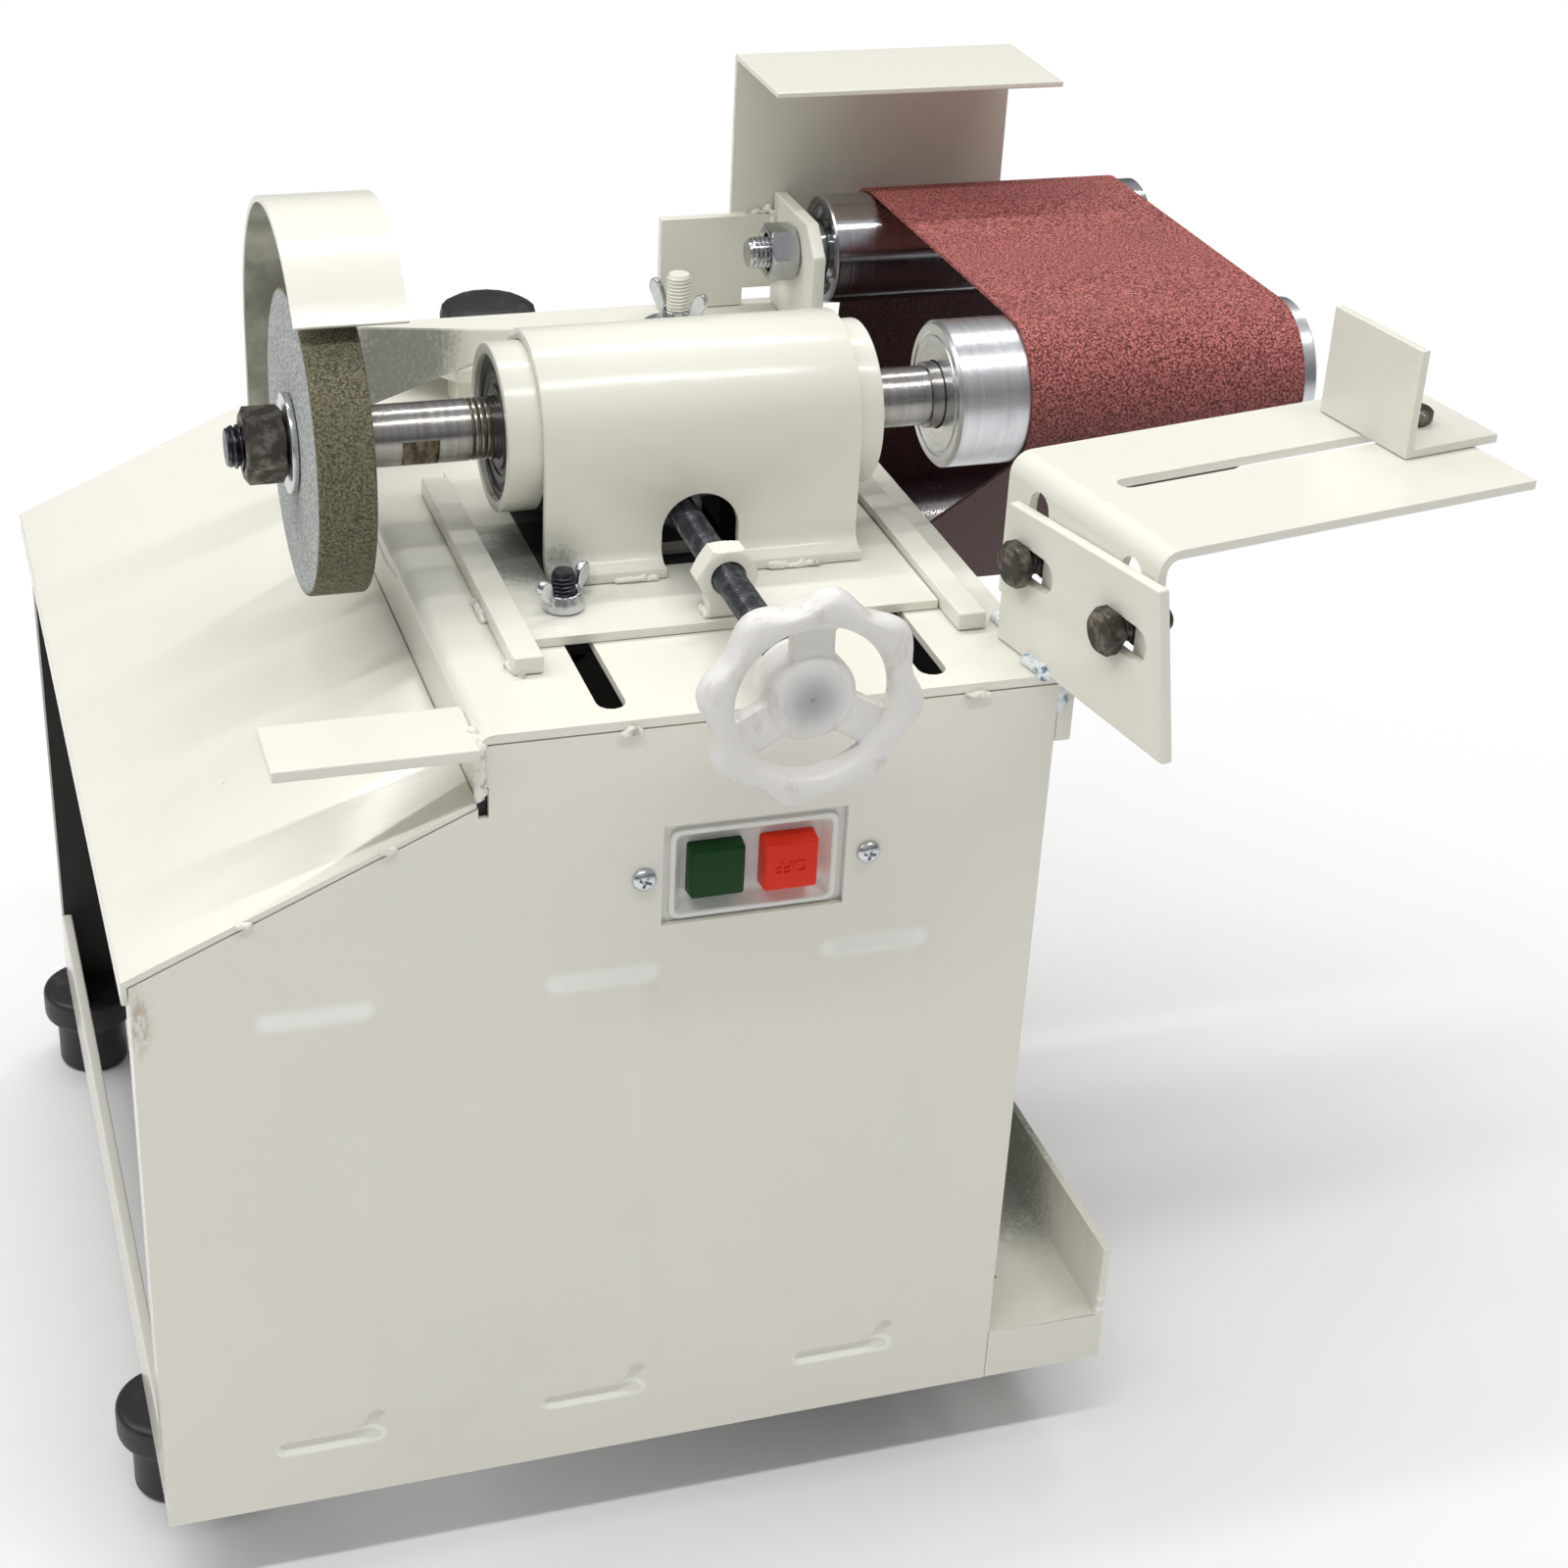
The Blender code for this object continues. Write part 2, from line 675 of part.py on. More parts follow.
def rounded(u0, v0, u1, v1, radius, steps=3):
    """A rectangle with rounded corners."""
    quarter = math.pi / 2
    centres = ((u1 - radius, v0 + radius), (u1 - radius, v1 - radius),
               (u0 + radius, v1 - radius), (u0 + radius, v0 + radius))
    points = []
    for i, (u, v) in enumerate(centres):
        points += arc(u, v, radius, (i - 1) * quarter, i * quarter, steps)
    return points


def slot_y(u, v0, v1, width, steps=6):
    """A slot with round ends that runs along the second direction of its plane."""
    r = width / 2
    return arc(u, v0 + r, r, -math.pi, 0, steps) + arc(u, v1 - r, r, 0, math.pi, steps)


def slot_x(u0, u1, v, width, steps=6):
    """A slot with round ends that runs along the first direction of its plane."""
    return [(u, w) for w, u in reversed(slot_y(v, u0, u1, width, steps))]


def belt_path(rollers, offset):
    """The closed path of a belt about rollers (u, v, radius), listed anticlockwise."""
    count = len(rollers)
    normals = []
    for i in range(count):
        u0, v0, r0 = rollers[i]
        u1, v1, r1 = rollers[(i + 1) % count]
        span = math.hypot(u1 - u0, v1 - v0)
        along = ((u1 - u0) / span, (v1 - v0) / span)
        lean = (r0 - r1) / span
        side = math.sqrt(1 - lean * lean)
        normals.append(math.atan2(along[1] * lean - along[0] * side, along[0] * lean + along[1] * side))
    points = []
    for i in range(count):
        u, v, r = rollers[i]
        start = normals[i - 1]
        stop = normals[i]
        while stop < start:
            stop += 2 * math.pi
        points += arc(u, v, r + offset, start, stop, BELT_STEPS)
    return points


# Cabinet panels
def panel_outline():
    under_cover = SHEET + GAP
    return [(LEFT, BASE), (RIGHT, BASE), (RIGHT, UNDER - GAP), (FOLD, UNDER - GAP),
            (FOLD, COVER_HIGH - under_cover), (LEFT, COVER_LOW - under_cover)]


switch_hole = rectangle(SWITCH_X0 - GAP, SWITCH_Z0 - GAP, SWITCH_X1 + GAP, SWITCH_Z1 + GAP)
screw_holes = [circle(x, KEY_Z, SWITCH_SCREW_R + RUN, SEG_SMALL) for x in (SCREW_LEFT_X, SCREW_RIGHT_X)]
front_panel = sheet("front_panel", "XZ", [panel_outline(), switch_hole, *screw_holes],
                    FRONT, FRONT + SHEET, CREAM)
front_return = box("front_return", (LEFT + INSET, FRONT + SHEET - OVERLAP, BASE + INSET),
                   (LEFT + SHEET, FRONT + FLANGE, COVER_LOW - LIP))
weld(front_panel, front_return)
for row, z in enumerate((TOP - BEAD_DROP, BASE + BEAD_LOW)):
    for column in range(BEADS):
        x = LEFT + BEAD_FIRST + column * BEAD_PITCH
        outline = rounded(x - BEAD_L / 2, z - BEAD_H / 2, x + BEAD_L / 2, z + BEAD_H / 2, BEAD_CORNER)
        bead = sheet(f"bead_{row}_{column}", "XZ", [outline], FRONT - BEAD_PROUD, FRONT + OVERLAP)
        weld(front_panel, bead)

middle_x = (LEFT + RIGHT) / 2
vents = []
for row in range(VENTS):
    z = BASE + VENT_LOW + row * VENT_PITCH
    vents.append(slot_x(middle_x - VENT_L / 2, middle_x + VENT_L / 2, z, VENT_W))
sheet("back_panel", "XZ", [panel_outline(), *vents], BACK - SHEET, BACK, CREAM)

wall_outline = rectangle(FRONT + SHEET + GAP, BASE, BACK - SHEET - GAP, UNDER - GAP)
axle_hole = circle(LOWER_Y, LOWER_Z, STUD_BORE)
sheet("right_wall", "YZ", [wall_outline, axle_hole], RIGHT - SHEET, RIGHT, CREAM)
box("left_rail", (LEFT, FRONT + FLANGE + GAP, BASE),
    (LEFT + RAIL_T, BACK - SHEET - GAP, BASE + RAIL_H), CREAM)

lip_x = LEFT - GAP
cover_outline = [(lip_x - SHEET, COVER_LOW - LIP), (lip_x, COVER_LOW - LIP), (lip_x, COVER_LOW - SHEET),
                 (FOLD - GAP, COVER_HIGH - SHEET), (FOLD - GAP, COVER_HIGH), (lip_x - SHEET, COVER_LOW)]
sheet("sloped_cover", "XZ", [cover_outline], FRONT, BACK, CREAM)

foot_profile = [(0, -GAP), (FOOT_HEAD_R - FOOT_EDGE, -GAP), (FOOT_HEAD_R, -GAP - FOOT_EDGE),
                (FOOT_HEAD_R, -FOOT_HEAD_H), (FOOT_R, -FOOT_HEAD_H - FOOT_NECK), (FOOT_R, FOOT_SOLE - FOOT_H),
                (FOOT_R - FOOT_EDGE, -FOOT_H), (0, -FOOT_H)]
ext_x = RIGHT + EXT_W
for side, x in (("left", LEFT + FOOT_IN), ("right", ext_x - SIDE_W / 2)):
    for end, y in (("front", FRONT + FOOT_FRONT), ("rear", BACK - FOOT_BACK)):
        turned(f"foot_{side}_{end}", "Z", (x, y, BASE), foot_profile, RUBBER, FOOT_SEG)

side_x = ext_x - SIDE_W
frame_outline = [(RIGHT + GAP, FRONT), (ext_x, FRONT), (ext_x, BACK), (RIGHT + GAP, BACK),
                 (RIGHT + GAP, BACK - BAR_D), (side_x, BACK - BAR_D), (side_x, FRONT + BAR_D),
                 (RIGHT + GAP, FRONT + BAR_D)]
base_frame = sheet("base_frame", "XY", [frame_outline], BASE, BASE + BAR_H, CREAM)
upright = box("upright", (ext_x - UPRIGHT_T, FRONT + INSET, BASE + BAR_H - OVERLAP),
              (ext_x - INSET, BACK - INSET, BASE + UPRIGHT_H))
weld(base_frame, upright)

# Top plate with its folded edge, slots, screw anchor and arm stud
fold_outline = [(RIGHT, TOP)]
fold_outline += arc(FOLD + FOLD_R, TOP - FOLD_R, FOLD_R, math.pi / 2, math.pi, BEND_STEPS)
fold_outline += [(FOLD, TOP - FOLD_DROP), (FOLD + TOP_T, TOP - FOLD_DROP), (FOLD + TOP_T, UNDER),
                 (RIGHT, UNDER)]
top_plate = sheet("top_plate", "XZ", [fold_outline], FRONT, BACK, CREAM)
belt_room = PULLEY_R + VBELT_T


def belt_window(travel):
    return rounded(PULLEY_X - WINDOW_HALF, SPINDLE_Y - belt_room,
                   PULLEY_X + WINDOW_HALF, SPINDLE_Y + belt_room + travel, WINDOW_CORNER)


slot_front = FRONT + SLOT_FRONT
slot_back = CLAMP_Y + SLOT_PAST
plate_holes = [slot_y(CLAMP_X, slot_front, slot_back, SLOT_W),
               slot_y(RIGHT - SLOT_RIGHT_IN, slot_front, slot_back, SLOT_W),
               slot_y(KNOB_X, KNOB_Y - SLOT_W / 2, KNOB_Y + TRAVEL + SLOT_W / 2, SLOT_W), belt_window(TRAVEL)]
cut(top_plate, sheet("plate_cutter", "XY", plate_holes, UNDER - PAST, TOP + PAST))
for end, y0, y1 in (("front", FRONT - PAST, FRONT + SHEET + GAP), ("back", BACK - SHEET - GAP, BACK + PAST)):
    cut(top_plate, box(f"fold_{end}", (FOLD - PAST, y0, TOP - FOLD_DROP - PAST),
                       (FOLD + TOP_T + PAST, y1, UNDER - INSET)))
anchor = box("anchor", (SCREW_X - ANCHOR_W / 2, ANCHOR_Y, TOP - OVERLAP),
             (SCREW_X + ANCHOR_W / 2, ANCHOR_Y + ANCHOR_T, TOP + ANCHOR_H))
arm_stud = rod("arm_stud", "Z", (ARM_STUD_X, ARM_STUD_Y, TOP - OVERLAP), ARM_STUD_R,
               ARM_TOP + ARM_STUD_OUT - TOP + OVERLAP, segments=SEG)
weld(top_plate, anchor, arm_stud)
bore_through(top_plate, "Y", (SCREW_X, ANCHOR_Y, SCREW_Z), SCREW_R + RUN, ANCHOR_T)

seat_z = TOP + GAP
tool_right = FOLD - GAP
tool_front = FRONT - TOOL_AHEAD
tool_top = TOP - TOOL_DROP
box("tool_rest", (tool_right - TOOL_L, tool_front, tool_top - TOOL_T),
    (tool_right, tool_front + TOOL_W, tool_top), CREAM)
guide_front = SPINDLE_Y - GUIDE_AHEAD
for side, x in (("left", GUIDE_LEFT_X), ("right", GUIDE_RIGHT_X)):
    box(f"guide_bar_{side}", (x, guide_front, seat_z),
        (x + GUIDE_W, guide_front + GUIDE_L, seat_z + GUIDE_T), CREAM)

# Spindle saddle
saddle_top = seat_z + SADDLE_T
saddle_outline = rectangle(GUIDE_LEFT_X + GUIDE_W + SLIDE, SPINDLE_Y - SADDLE_AHEAD,
                           GUIDE_RIGHT_X - SLIDE, SPINDLE_Y + SADDLE_BEHIND)
anchor_window = rectangle(SCREW_X - ANCHOR_W / 2 - ANCHOR_ROOM, ANCHOR_Y - TRAVEL - ANCHOR_ROOM,
                          SCREW_X + ANCHOR_W / 2 + ANCHOR_ROOM, ANCHOR_Y + ANCHOR_T + ANCHOR_ROOM)
clamp_hole = circle(CLAMP_X, CLAMP_Y, CLAMP_R + RUN)
saddle_holes = [belt_window(0), anchor_window, clamp_hole]
sheet("saddle_plate", "XY", [saddle_outline, *saddle_holes], seat_z, saddle_top, CREAM,
      (0, SPINDLE_Y, seat_z))

arch_low = saddle_top + GAP
arch_in = RING_R + GAP
arch_out = arch_in + ARCH_T
arch_foot = arch_out + ARCH_FOOT
arch_outline = [(SPINDLE_Y - arch_foot, arch_low), (SPINDLE_Y - arch_foot, arch_low + ARCH_T),
                (SPINDLE_Y - arch_out, arch_low + ARCH_T)]
arch_outline += arc(SPINDLE_Y, SPINDLE_Z, arch_out, math.pi, 0, ARC_STEPS)
arch_outline += [(SPINDLE_Y + arch_out, arch_low + ARCH_T), (SPINDLE_Y + arch_foot, arch_low + ARCH_T),
                 (SPINDLE_Y + arch_foot, arch_low), (SPINDLE_Y + arch_in, arch_low)]
arch_outline += arc(SPINDLE_Y, SPINDLE_Z, arch_in, 0, math.pi, ARC_STEPS)
arch_outline += [(SPINDLE_Y - arch_in, arch_low)]
arch = sheet("arch_saddle", "YZ", [arch_outline], ARCH_X0, ARCH_X1, CREAM, (0, SPINDLE_Y, SPINDLE_Z))
for side, x in (("left", RING_LEFT_X), ("right", RING_RIGHT_X)):
    ring_outline = circle(SPINDLE_Y, SPINDLE_Z, RING_R, SEG_BIG)
    seat_outline = circle(SPINDLE_Y, SPINDLE_Z, BEARING_R + GAP, SEG_BIG)
    sheet(f"bearing_ring_{side}", "YZ", [ring_outline, seat_outline], x, x + RING_W, CREAM,
          (x, SPINDLE_Y, SPINDLE_Z))
keyhole_x = SCREW_X + KEYHOLE_OFF
keyhole = [(keyhole_x + KEYHOLE_R, arch_low - PAST)]
keyhole += arc(keyhole_x, SCREW_Z - KEYHOLE_DROP, KEYHOLE_R, 0, math.pi, SEG_SMALL)
keyhole += [(keyhole_x - KEYHOLE_R, arch_low - PAST)]
cut(arch, sheet("keyhole", "XZ", [keyhole], SPINDLE_Y - arch_foot - PAST, SPINDLE_Y - arch_in + KEYHOLE_DEEP))

bearing_x = {"left": RING_LEFT_X + BEARING_IN, "right": RING_RIGHT_X + RING_W - BEARING_IN - BEARING_W}
for side, x in bearing_x.items():
    turned(f"bearing_{side}", "X", (x, SPINDLE_Y, SPINDLE_Z), ring(SHAFT_R + RUN, BEARING_R, BEARING_W),
           SEAL, SEG, True)

feed_nut = hexagon("feed_nut", "Y", (SCREW_X, FEED_NUT_Y, SCREW_Z), FEED_AF, FEED_NUT_T, CREAM)
nut_foot = box("nut_foot", (SCREW_X - NUT_FOOT_W / 2, FEED_NUT_Y, saddle_top + GAP),
               (SCREW_X + NUT_FOOT_W / 2, FEED_NUT_Y + FEED_NUT_T, SCREW_Z - SCREW_R))
weld(feed_nut, nut_foot)
bore_through(feed_nut, "Y", (SCREW_X, FEED_NUT_Y, SCREW_Z), SCREW_R + RUN, FEED_NUT_T)

# Spindle with the wheel, the drive roller and its pulley
collar_x = WHEEL_X + WHEEL_T + GAP
washer_x = WHEEL_X - GAP - WASHER_T
nut_x = washer_x - GAP - NUT_H
thread_x = nut_x - THREAD_OUT
shaft_l = DRIVE_X + ROLLER_L - SHAFT_SHORT - thread_x
shoulder = collar_x - thread_x
shaft_profile = [(0, shaft_l), (SHAFT_R - SHAFT_EDGE, shaft_l), (SHAFT_R, shaft_l - SHAFT_EDGE),
                 (SHAFT_R, shoulder + COLLAR_T), (COLLAR_R, shoulder + COLLAR_T), (COLLAR_R, shoulder),
                 (STUD_R, shoulder), (STUD_R, THREAD_EDGE), (STUD_R - THREAD_EDGE, 0), (0, 0)]
spindle = turned("spindle_shaft", "X", (thread_x, SPINDLE_Y, SPINDLE_Z), shaft_profile, STEEL)
flat_x = RING_LEFT_X - FLAT_BACK
flat_y = SHAFT_R - FLAT_CUT
for side, y0, y1 in (("front", -SHAFT_R - PAST, -flat_y), ("back", flat_y, SHAFT_R + PAST)):
    cut(spindle, box(f"flat_{side}", (flat_x, SPINDLE_Y + y0, SPINDLE_Z - SHAFT_R),
                     (flat_x + FLAT_L, SPINDLE_Y + y1, SPINDLE_Z + SHAFT_R)))


def edged(inner, outer, length, edge):
    """The closed profile of a bored cylinder with broken outer edges."""
    return [(inner, length), (outer - edge, length), (outer, length - edge), (outer, edge),
            (outer - edge, 0), (inner, 0)]


turned("grinding_wheel", "X", (WHEEL_X, SPINDLE_Y, SPINDLE_Z),
       edged(STUD_BORE, WHEEL_R, WHEEL_T, WHEEL_EDGE), STONE, WHEEL_SEG, True)
turned("wheel_washer", "X", (washer_x, SPINDLE_Y, SPINDLE_Z), ring(STUD_BORE, WASHER_R, WASHER_T),
       ZINC, SEG, True)
wheel_nut = hexagon("wheel_nut", "X", (nut_x, SPINDLE_Y, SPINDLE_Z), NUT_AF, NUT_H, OXIDE)
bore_through(wheel_nut, "X", (nut_x, SPINDLE_Y, SPINDLE_Z), STUD_BORE, NUT_H)
turned("drive_roller", "X", (DRIVE_X, SPINDLE_Y, SPINDLE_Z),
       edged(SHAFT_R + RUN, DRIVE_R, ROLLER_L, ROLLER_EDGE), ALUMINIUM, SEG_BIG, True)


def groove(radius, middle):
    """The outer side of a grooved pulley, from its right face to its left face."""
    half = PULLEY_W / 2
    low = radius - GROOVE
    points = [(radius, half), (radius, GROOVE_TOP), (low, GROOVE_LOW), (low, -GROOVE_LOW),
              (radius, -GROOVE_TOP), (radius, -half)]
    return [(r, middle + h) for r, h in points]


pulley_bore = SHAFT_R + RUN
pulley_profile = [(pulley_bore, PULLEY_W / 2), *groove(PULLEY_R, 0), (pulley_bore, -PULLEY_W / 2)]
turned("spindle_pulley", "X", (PULLEY_X, SPINDLE_Y, SPINDLE_Z), pulley_profile, STEEL, SEG, True)

# Motor hung under the saddle
hanger_top = UNDER - GAP
hanger_low = hanger_top - HANGER_T
hanger_outline = rectangle(CLAMP_X - HANGER_LEFT, SPINDLE_Y - HANGER_AHEAD, HANGER_X, KNOB_Y + HANGER_PAST)
hanger = sheet("motor_hanger", "XY", [hanger_outline, clamp_hole, circle(KNOB_X, KNOB_Y, CLAMP_R + RUN)],
               hanger_low, hanger_top, CREAM, (0, SPINDLE_Y, hanger_low))
web_outline = rectangle(SPINDLE_Y - HANGER_HALF, TOP - HANGER_DROP,
                        SPINDLE_Y + HANGER_HALF, hanger_top - OVERLAP)
shaft_hole = circle(SPINDLE_Y, MOTOR_Z, MOTOR_SHAFT_R + SHAFT_ROOM)
weld(hanger, sheet("hanger_web", "YZ", [web_outline, shaft_hole], HANGER_X - HANGER_T, HANGER_X - INSET))
motor_face = HANGER_X - HANGER_T - GAP
shaft_seat = MOTOR_SHAFT_R + RUN
bell_r = MOTOR_R - MOTOR_BELL_STEP
fan_r = MOTOR_R - MOTOR_FAN_STEP
motor_profile = [(0, MOTOR_L - MOTOR_POCKET), (shaft_seat, MOTOR_L - MOTOR_POCKET), (shaft_seat, MOTOR_L),
                 (bell_r - MOTOR_BELL_EDGE, MOTOR_L), (bell_r, MOTOR_L - MOTOR_BELL_EDGE),
                 (bell_r, MOTOR_L - MOTOR_BELL), (MOTOR_R, MOTOR_L - MOTOR_BELL), (MOTOR_R, MOTOR_FAN),
                 (fan_r, MOTOR_FAN), (fan_r, MOTOR_DOME), (fan_r - MOTOR_DOME, 0), (0, 0)]
turned("motor", "X", (motor_face - MOTOR_L, SPINDLE_Y, MOTOR_Z), motor_profile, MOTOR, SEG_BIG)

drive_x = motor_face - MOTOR_POCKET + GAP
hub_right = PULLEY_X + PULLEY_W / 2 - drive_x
hub_left = PULLEY_X - PULLEY_W / 2 - drive_x
shaft_end = hub_right + SHAFT_NOSE
drive_profile = [(0, shaft_end), (MOTOR_SHAFT_R, shaft_end), (MOTOR_SHAFT_R, hub_right),
                 *groove(MOTOR_PULLEY_R, PULLEY_X - drive_x), (MOTOR_SHAFT_R, hub_left),
                 (MOTOR_SHAFT_R, 0), (0, 0)]
turned("motor_pulley", "X", (drive_x, SPINDLE_Y, MOTOR_Z), drive_profile, STEEL)

vbelt_rollers = [(SPINDLE_Y, SPINDLE_Z, PULLEY_R - GROOVE), (SPINDLE_Y, MOTOR_Z, MOTOR_PULLEY_R - GROOVE)]
vbelt_loops = [belt_path(vbelt_rollers, GAP + VBELT_T), belt_path(vbelt_rollers, GAP)]
sheet("v_belt", "YZ", vbelt_loops, PULLEY_X - VBELT_HALF, PULLEY_X + VBELT_HALF, RUBBER,
      (0, SPINDLE_Y, SPINDLE_Z))

clamp_low = hanger_low - GAP - CLAMP_HEAD
clamp_bolt = hexagon("clamp_bolt", "Z", (CLAMP_X, CLAMP_Y, clamp_low), CLAMP_AF, CLAMP_HEAD, OXIDE)
weld(clamp_bolt, rod("clamp_shank", "Z", (CLAMP_X, CLAMP_Y, clamp_low + OVERLAP), CLAMP_R,
                     saddle_top + CLAMP_OUT - clamp_low - OVERLAP))

stem_l = seat_z - hanger_low + KNOB_STEM_OUT
knob_profile = [(0, KNOB_H), (KNOB_R - KNOB_CROWN, KNOB_H), (KNOB_R, KNOB_H - KNOB_EDGE), (KNOB_R, KNOB_EDGE),
                (KNOB_R - KNOB_EDGE, 0), (CLAMP_R, 0), (CLAMP_R, -stem_l), (0, -stem_l)]
turned("hanger_knob", "Z", (KNOB_X, KNOB_Y, seat_z), knob_profile, RUBBER)


# Wing nuts
def wing_nut(name, at, inner):
    """A wing nut that stands on the point given, its wings along X."""
    profile = [(inner, WING_H), (WING_BASE_R - WING_CROWN, WING_H), (WING_BASE_R, WING_SKIRT),
               (WING_BASE_R, 0), (inner, 0)]
    made = turned(name, "Z", at, profile, ZINC, FOOT_SEG, True)
    root = inner + WING_ROOT
    for side, sign in (("a", 1), ("b", -1)):
        outline = [(root, WING_LOW), (WING_SPAN - WING_TIP, WING_RISE), (WING_SPAN, WING_TOP - WING_TIP),
                   (WING_SPAN - WING_CROWN, WING_TOP),
                   (WING_SPAN - WING_CROWN - WING_TIP, WING_TOP - WING_CROWN), (root, WING_H - INSET)]
        points = [(at[0] + sign * u, at[2] + v) for u, v in outline]
        weld(made, sheet(f"{name}_{side}", "XZ", [points], at[1] - WING_T / 2, at[1] + WING_T / 2))


wing_nut("clamp_wing_nut", (CLAMP_X, CLAMP_Y, saddle_top + GAP), CLAMP_R + RUN)
washer_z = ARM_TOP + GAP
turned("arm_washer", "Z", (ARM_STUD_X, ARM_STUD_Y, washer_z),
       ring(ARM_STUD_R + RUN, ARM_WASHER_R, ARM_WASHER_T), ZINC, SEG, True)
wing_nut("arm_wing_nut", (ARM_STUD_X, ARM_STUD_Y, washer_z + ARM_WASHER_T + GAP), ARM_STUD_R + RUN)

# Feed screw and handwheel
collar_back = ANCHOR_Y - GAP - SCREW_Y
collar_front = collar_back - SCREW_COLLAR_T
keeper_front = ANCHOR_Y + ANCHOR_T + GAP - SCREW_Y
keeper_back = keeper_front + SCREW_COLLAR_T
feed_l = keeper_back + SCREW_END
feed_profile = [(0, feed_l), (SCREW_R, feed_l), (SCREW_R, keeper_back), (SCREW_COLLAR_R, keeper_back),
                (SCREW_COLLAR_R, keeper_front), (SCREW_R, keeper_front), (SCREW_R, collar_back),
                (SCREW_COLLAR_R, collar_back), (SCREW_COLLAR_R, collar_front), (SCREW_R, collar_front),
                (SCREW_R, 0), (0, 0)]
turned("feed_screw", "Y", (SCREW_X, SCREW_Y, SCREW_Z), feed_profile, OXIDE)

hand_at = (SCREW_X, HAND_Y, SCREW_Z)
rim_curve = bpy.data.curves.new("handwheel", "CURVE")
rim_curve.dimensions = "3D"
rim_curve.bevel_depth = HAND_TUBE
rim_curve.bevel_resolution = 1
rim_count = HAND_LOBES * RIM_STEPS
rim_spline = rim_curve.splines.new("POLY")
rim_spline.points.add(rim_count - 1)
rim_spline.use_cyclic_u = True
for i, point in enumerate(rim_spline.points):
    turn = 2 * math.pi * i / rim_count
    reach = HAND_R + HAND_LOBE * math.cos(HAND_LOBES * turn)
    point.co = (reach * math.cos(turn), reach * math.sin(turn), 0, 1)
handwheel = solid("handwheel", rim_curve, Matrix.Translation(hand_at) @ PLANE["XZ"], NYLON, hand_at)
hub_y = HAND_Y - HUB_L / 2
hub_bore = SCREW_Y - GAP - hub_y
bore_r = SCREW_R + RUN
hub_profile = [(0, hub_bore), (bore_r, hub_bore), (bore_r, HUB_L), (HUB_R - HUB_TAPER, HUB_L),
               (HUB_R, CAP_H + HUB_EDGE), (HUB_R - HUB_EDGE, CAP_H), (CAP_R, CAP_H),
               (CAP_R - HUB_EDGE, 0), (0, 0)]
hub = turned("hub", "Y", (SCREW_X, hub_y, SCREW_Z), hub_profile)
for i in range(SPOKES):
    spoke = box(f"spoke_{i}", (HUB_R - SPOKE_ROOT, -SPOKE_T / 2, -SPOKE_W / 2),
                (HAND_R, SPOKE_T / 2, SPOKE_W / 2), None, (0, 0, 0))
    spoke.location = hand_at
    spoke.rotation_euler = (0, -math.pi / 2 - 2 * math.pi * i / SPOKES, 0)
    weld(handwheel, spoke)
weld(handwheel, hub)

# Sliding arm with the rear idler
block_y = ARM_FRONT + BLOCK_IN
box("arm_block", (FOLD + ARM_HIP_IN, block_y, seat_z),
    (RIGHT - BLOCK_END, block_y + BLOCK_D, seat_z + ARM_LIFT), CREAM)
arm_right = RIGHT + ARM_OUT
tongue_x = FOLD - TONGUE_OUT
arm_outline = [(arm_right, ARM_FRONT), (arm_right, ARM_BACK), (tongue_x, ARM_BACK),
               (tongue_x, ARM_BACK - TONGUE_W), (FOLD + ARM_NECK_IN, ARM_BACK - ARM_NECK_D),
               (FOLD + ARM_HIP_IN, ARM_FRONT)]
stud_room = ARM_STUD_R + RUN
arm_slot = slot_y(ARM_STUD_X, ARM_STUD_Y - stud_room, ARM_STUD_Y + stud_room + ARM_TRAVEL, 2 * stud_room)
sheet("arm_plate", "XY", [arm_outline, arm_slot], ARM_Z, ARM_TOP, CREAM, (ARM_STUD_X, ARM_STUD_Y, ARM_TOP))

on_arm = ARM_TOP + GAP
bracket_top = ARM_TOP + BRACKET_H
bracket_back = GUARD_Y - SLIDE
bracket_outline = [(ARM_FRONT, on_arm), (bracket_back, on_arm), (bracket_back, bracket_top),
                   (ARM_FRONT + BRACKET_CUT, bracket_top), (ARM_FRONT, bracket_top - BRACKET_CUT)]
bracket_right = BRACKET_X + BRACKET_T
sheet("idler_bracket", "YZ", [bracket_outline, circle(IDLER_Y, IDLER_Z, STUD_BORE)],
      BRACKET_X, bracket_right, CREAM)

idler_nut_x = BRACKET_X - GAP - NUT_H
idler_nut = hexagon("idler_nut", "X", (idler_nut_x, IDLER_Y, IDLER_Z), IDLER_AF, NUT_H, ZINC)
bore_through(idler_nut, "X", (idler_nut_x, IDLER_Y, IDLER_Z), STUD_BORE, NUT_H)


def axle_profile(start, seat):
    """An axle whose shoulder runs from its seat to the idler's face, and which ends inside the idler."""
    end = IDLER_X + IDLER_L - AXLE_SHORT - start
    shoulder_right = IDLER_X - GAP - start
    shoulder_left = seat + GAP - start
    return [(0, end), (STUD_R, end), (STUD_R, shoulder_right), (SHOULDER_R, shoulder_right),
            (SHOULDER_R, shoulder_left), (STUD_R, shoulder_left)]


axle_x = idler_nut_x - THREAD_OUT
rear_profile = axle_profile(axle_x, bracket_right)
rear_profile += [(STUD_R, THREAD_EDGE), (STUD_R - THREAD_EDGE, 0), (0, 0)]
turned("idler_axle", "X", (axle_x, IDLER_Y, IDLER_Z), rear_profile, STEEL)


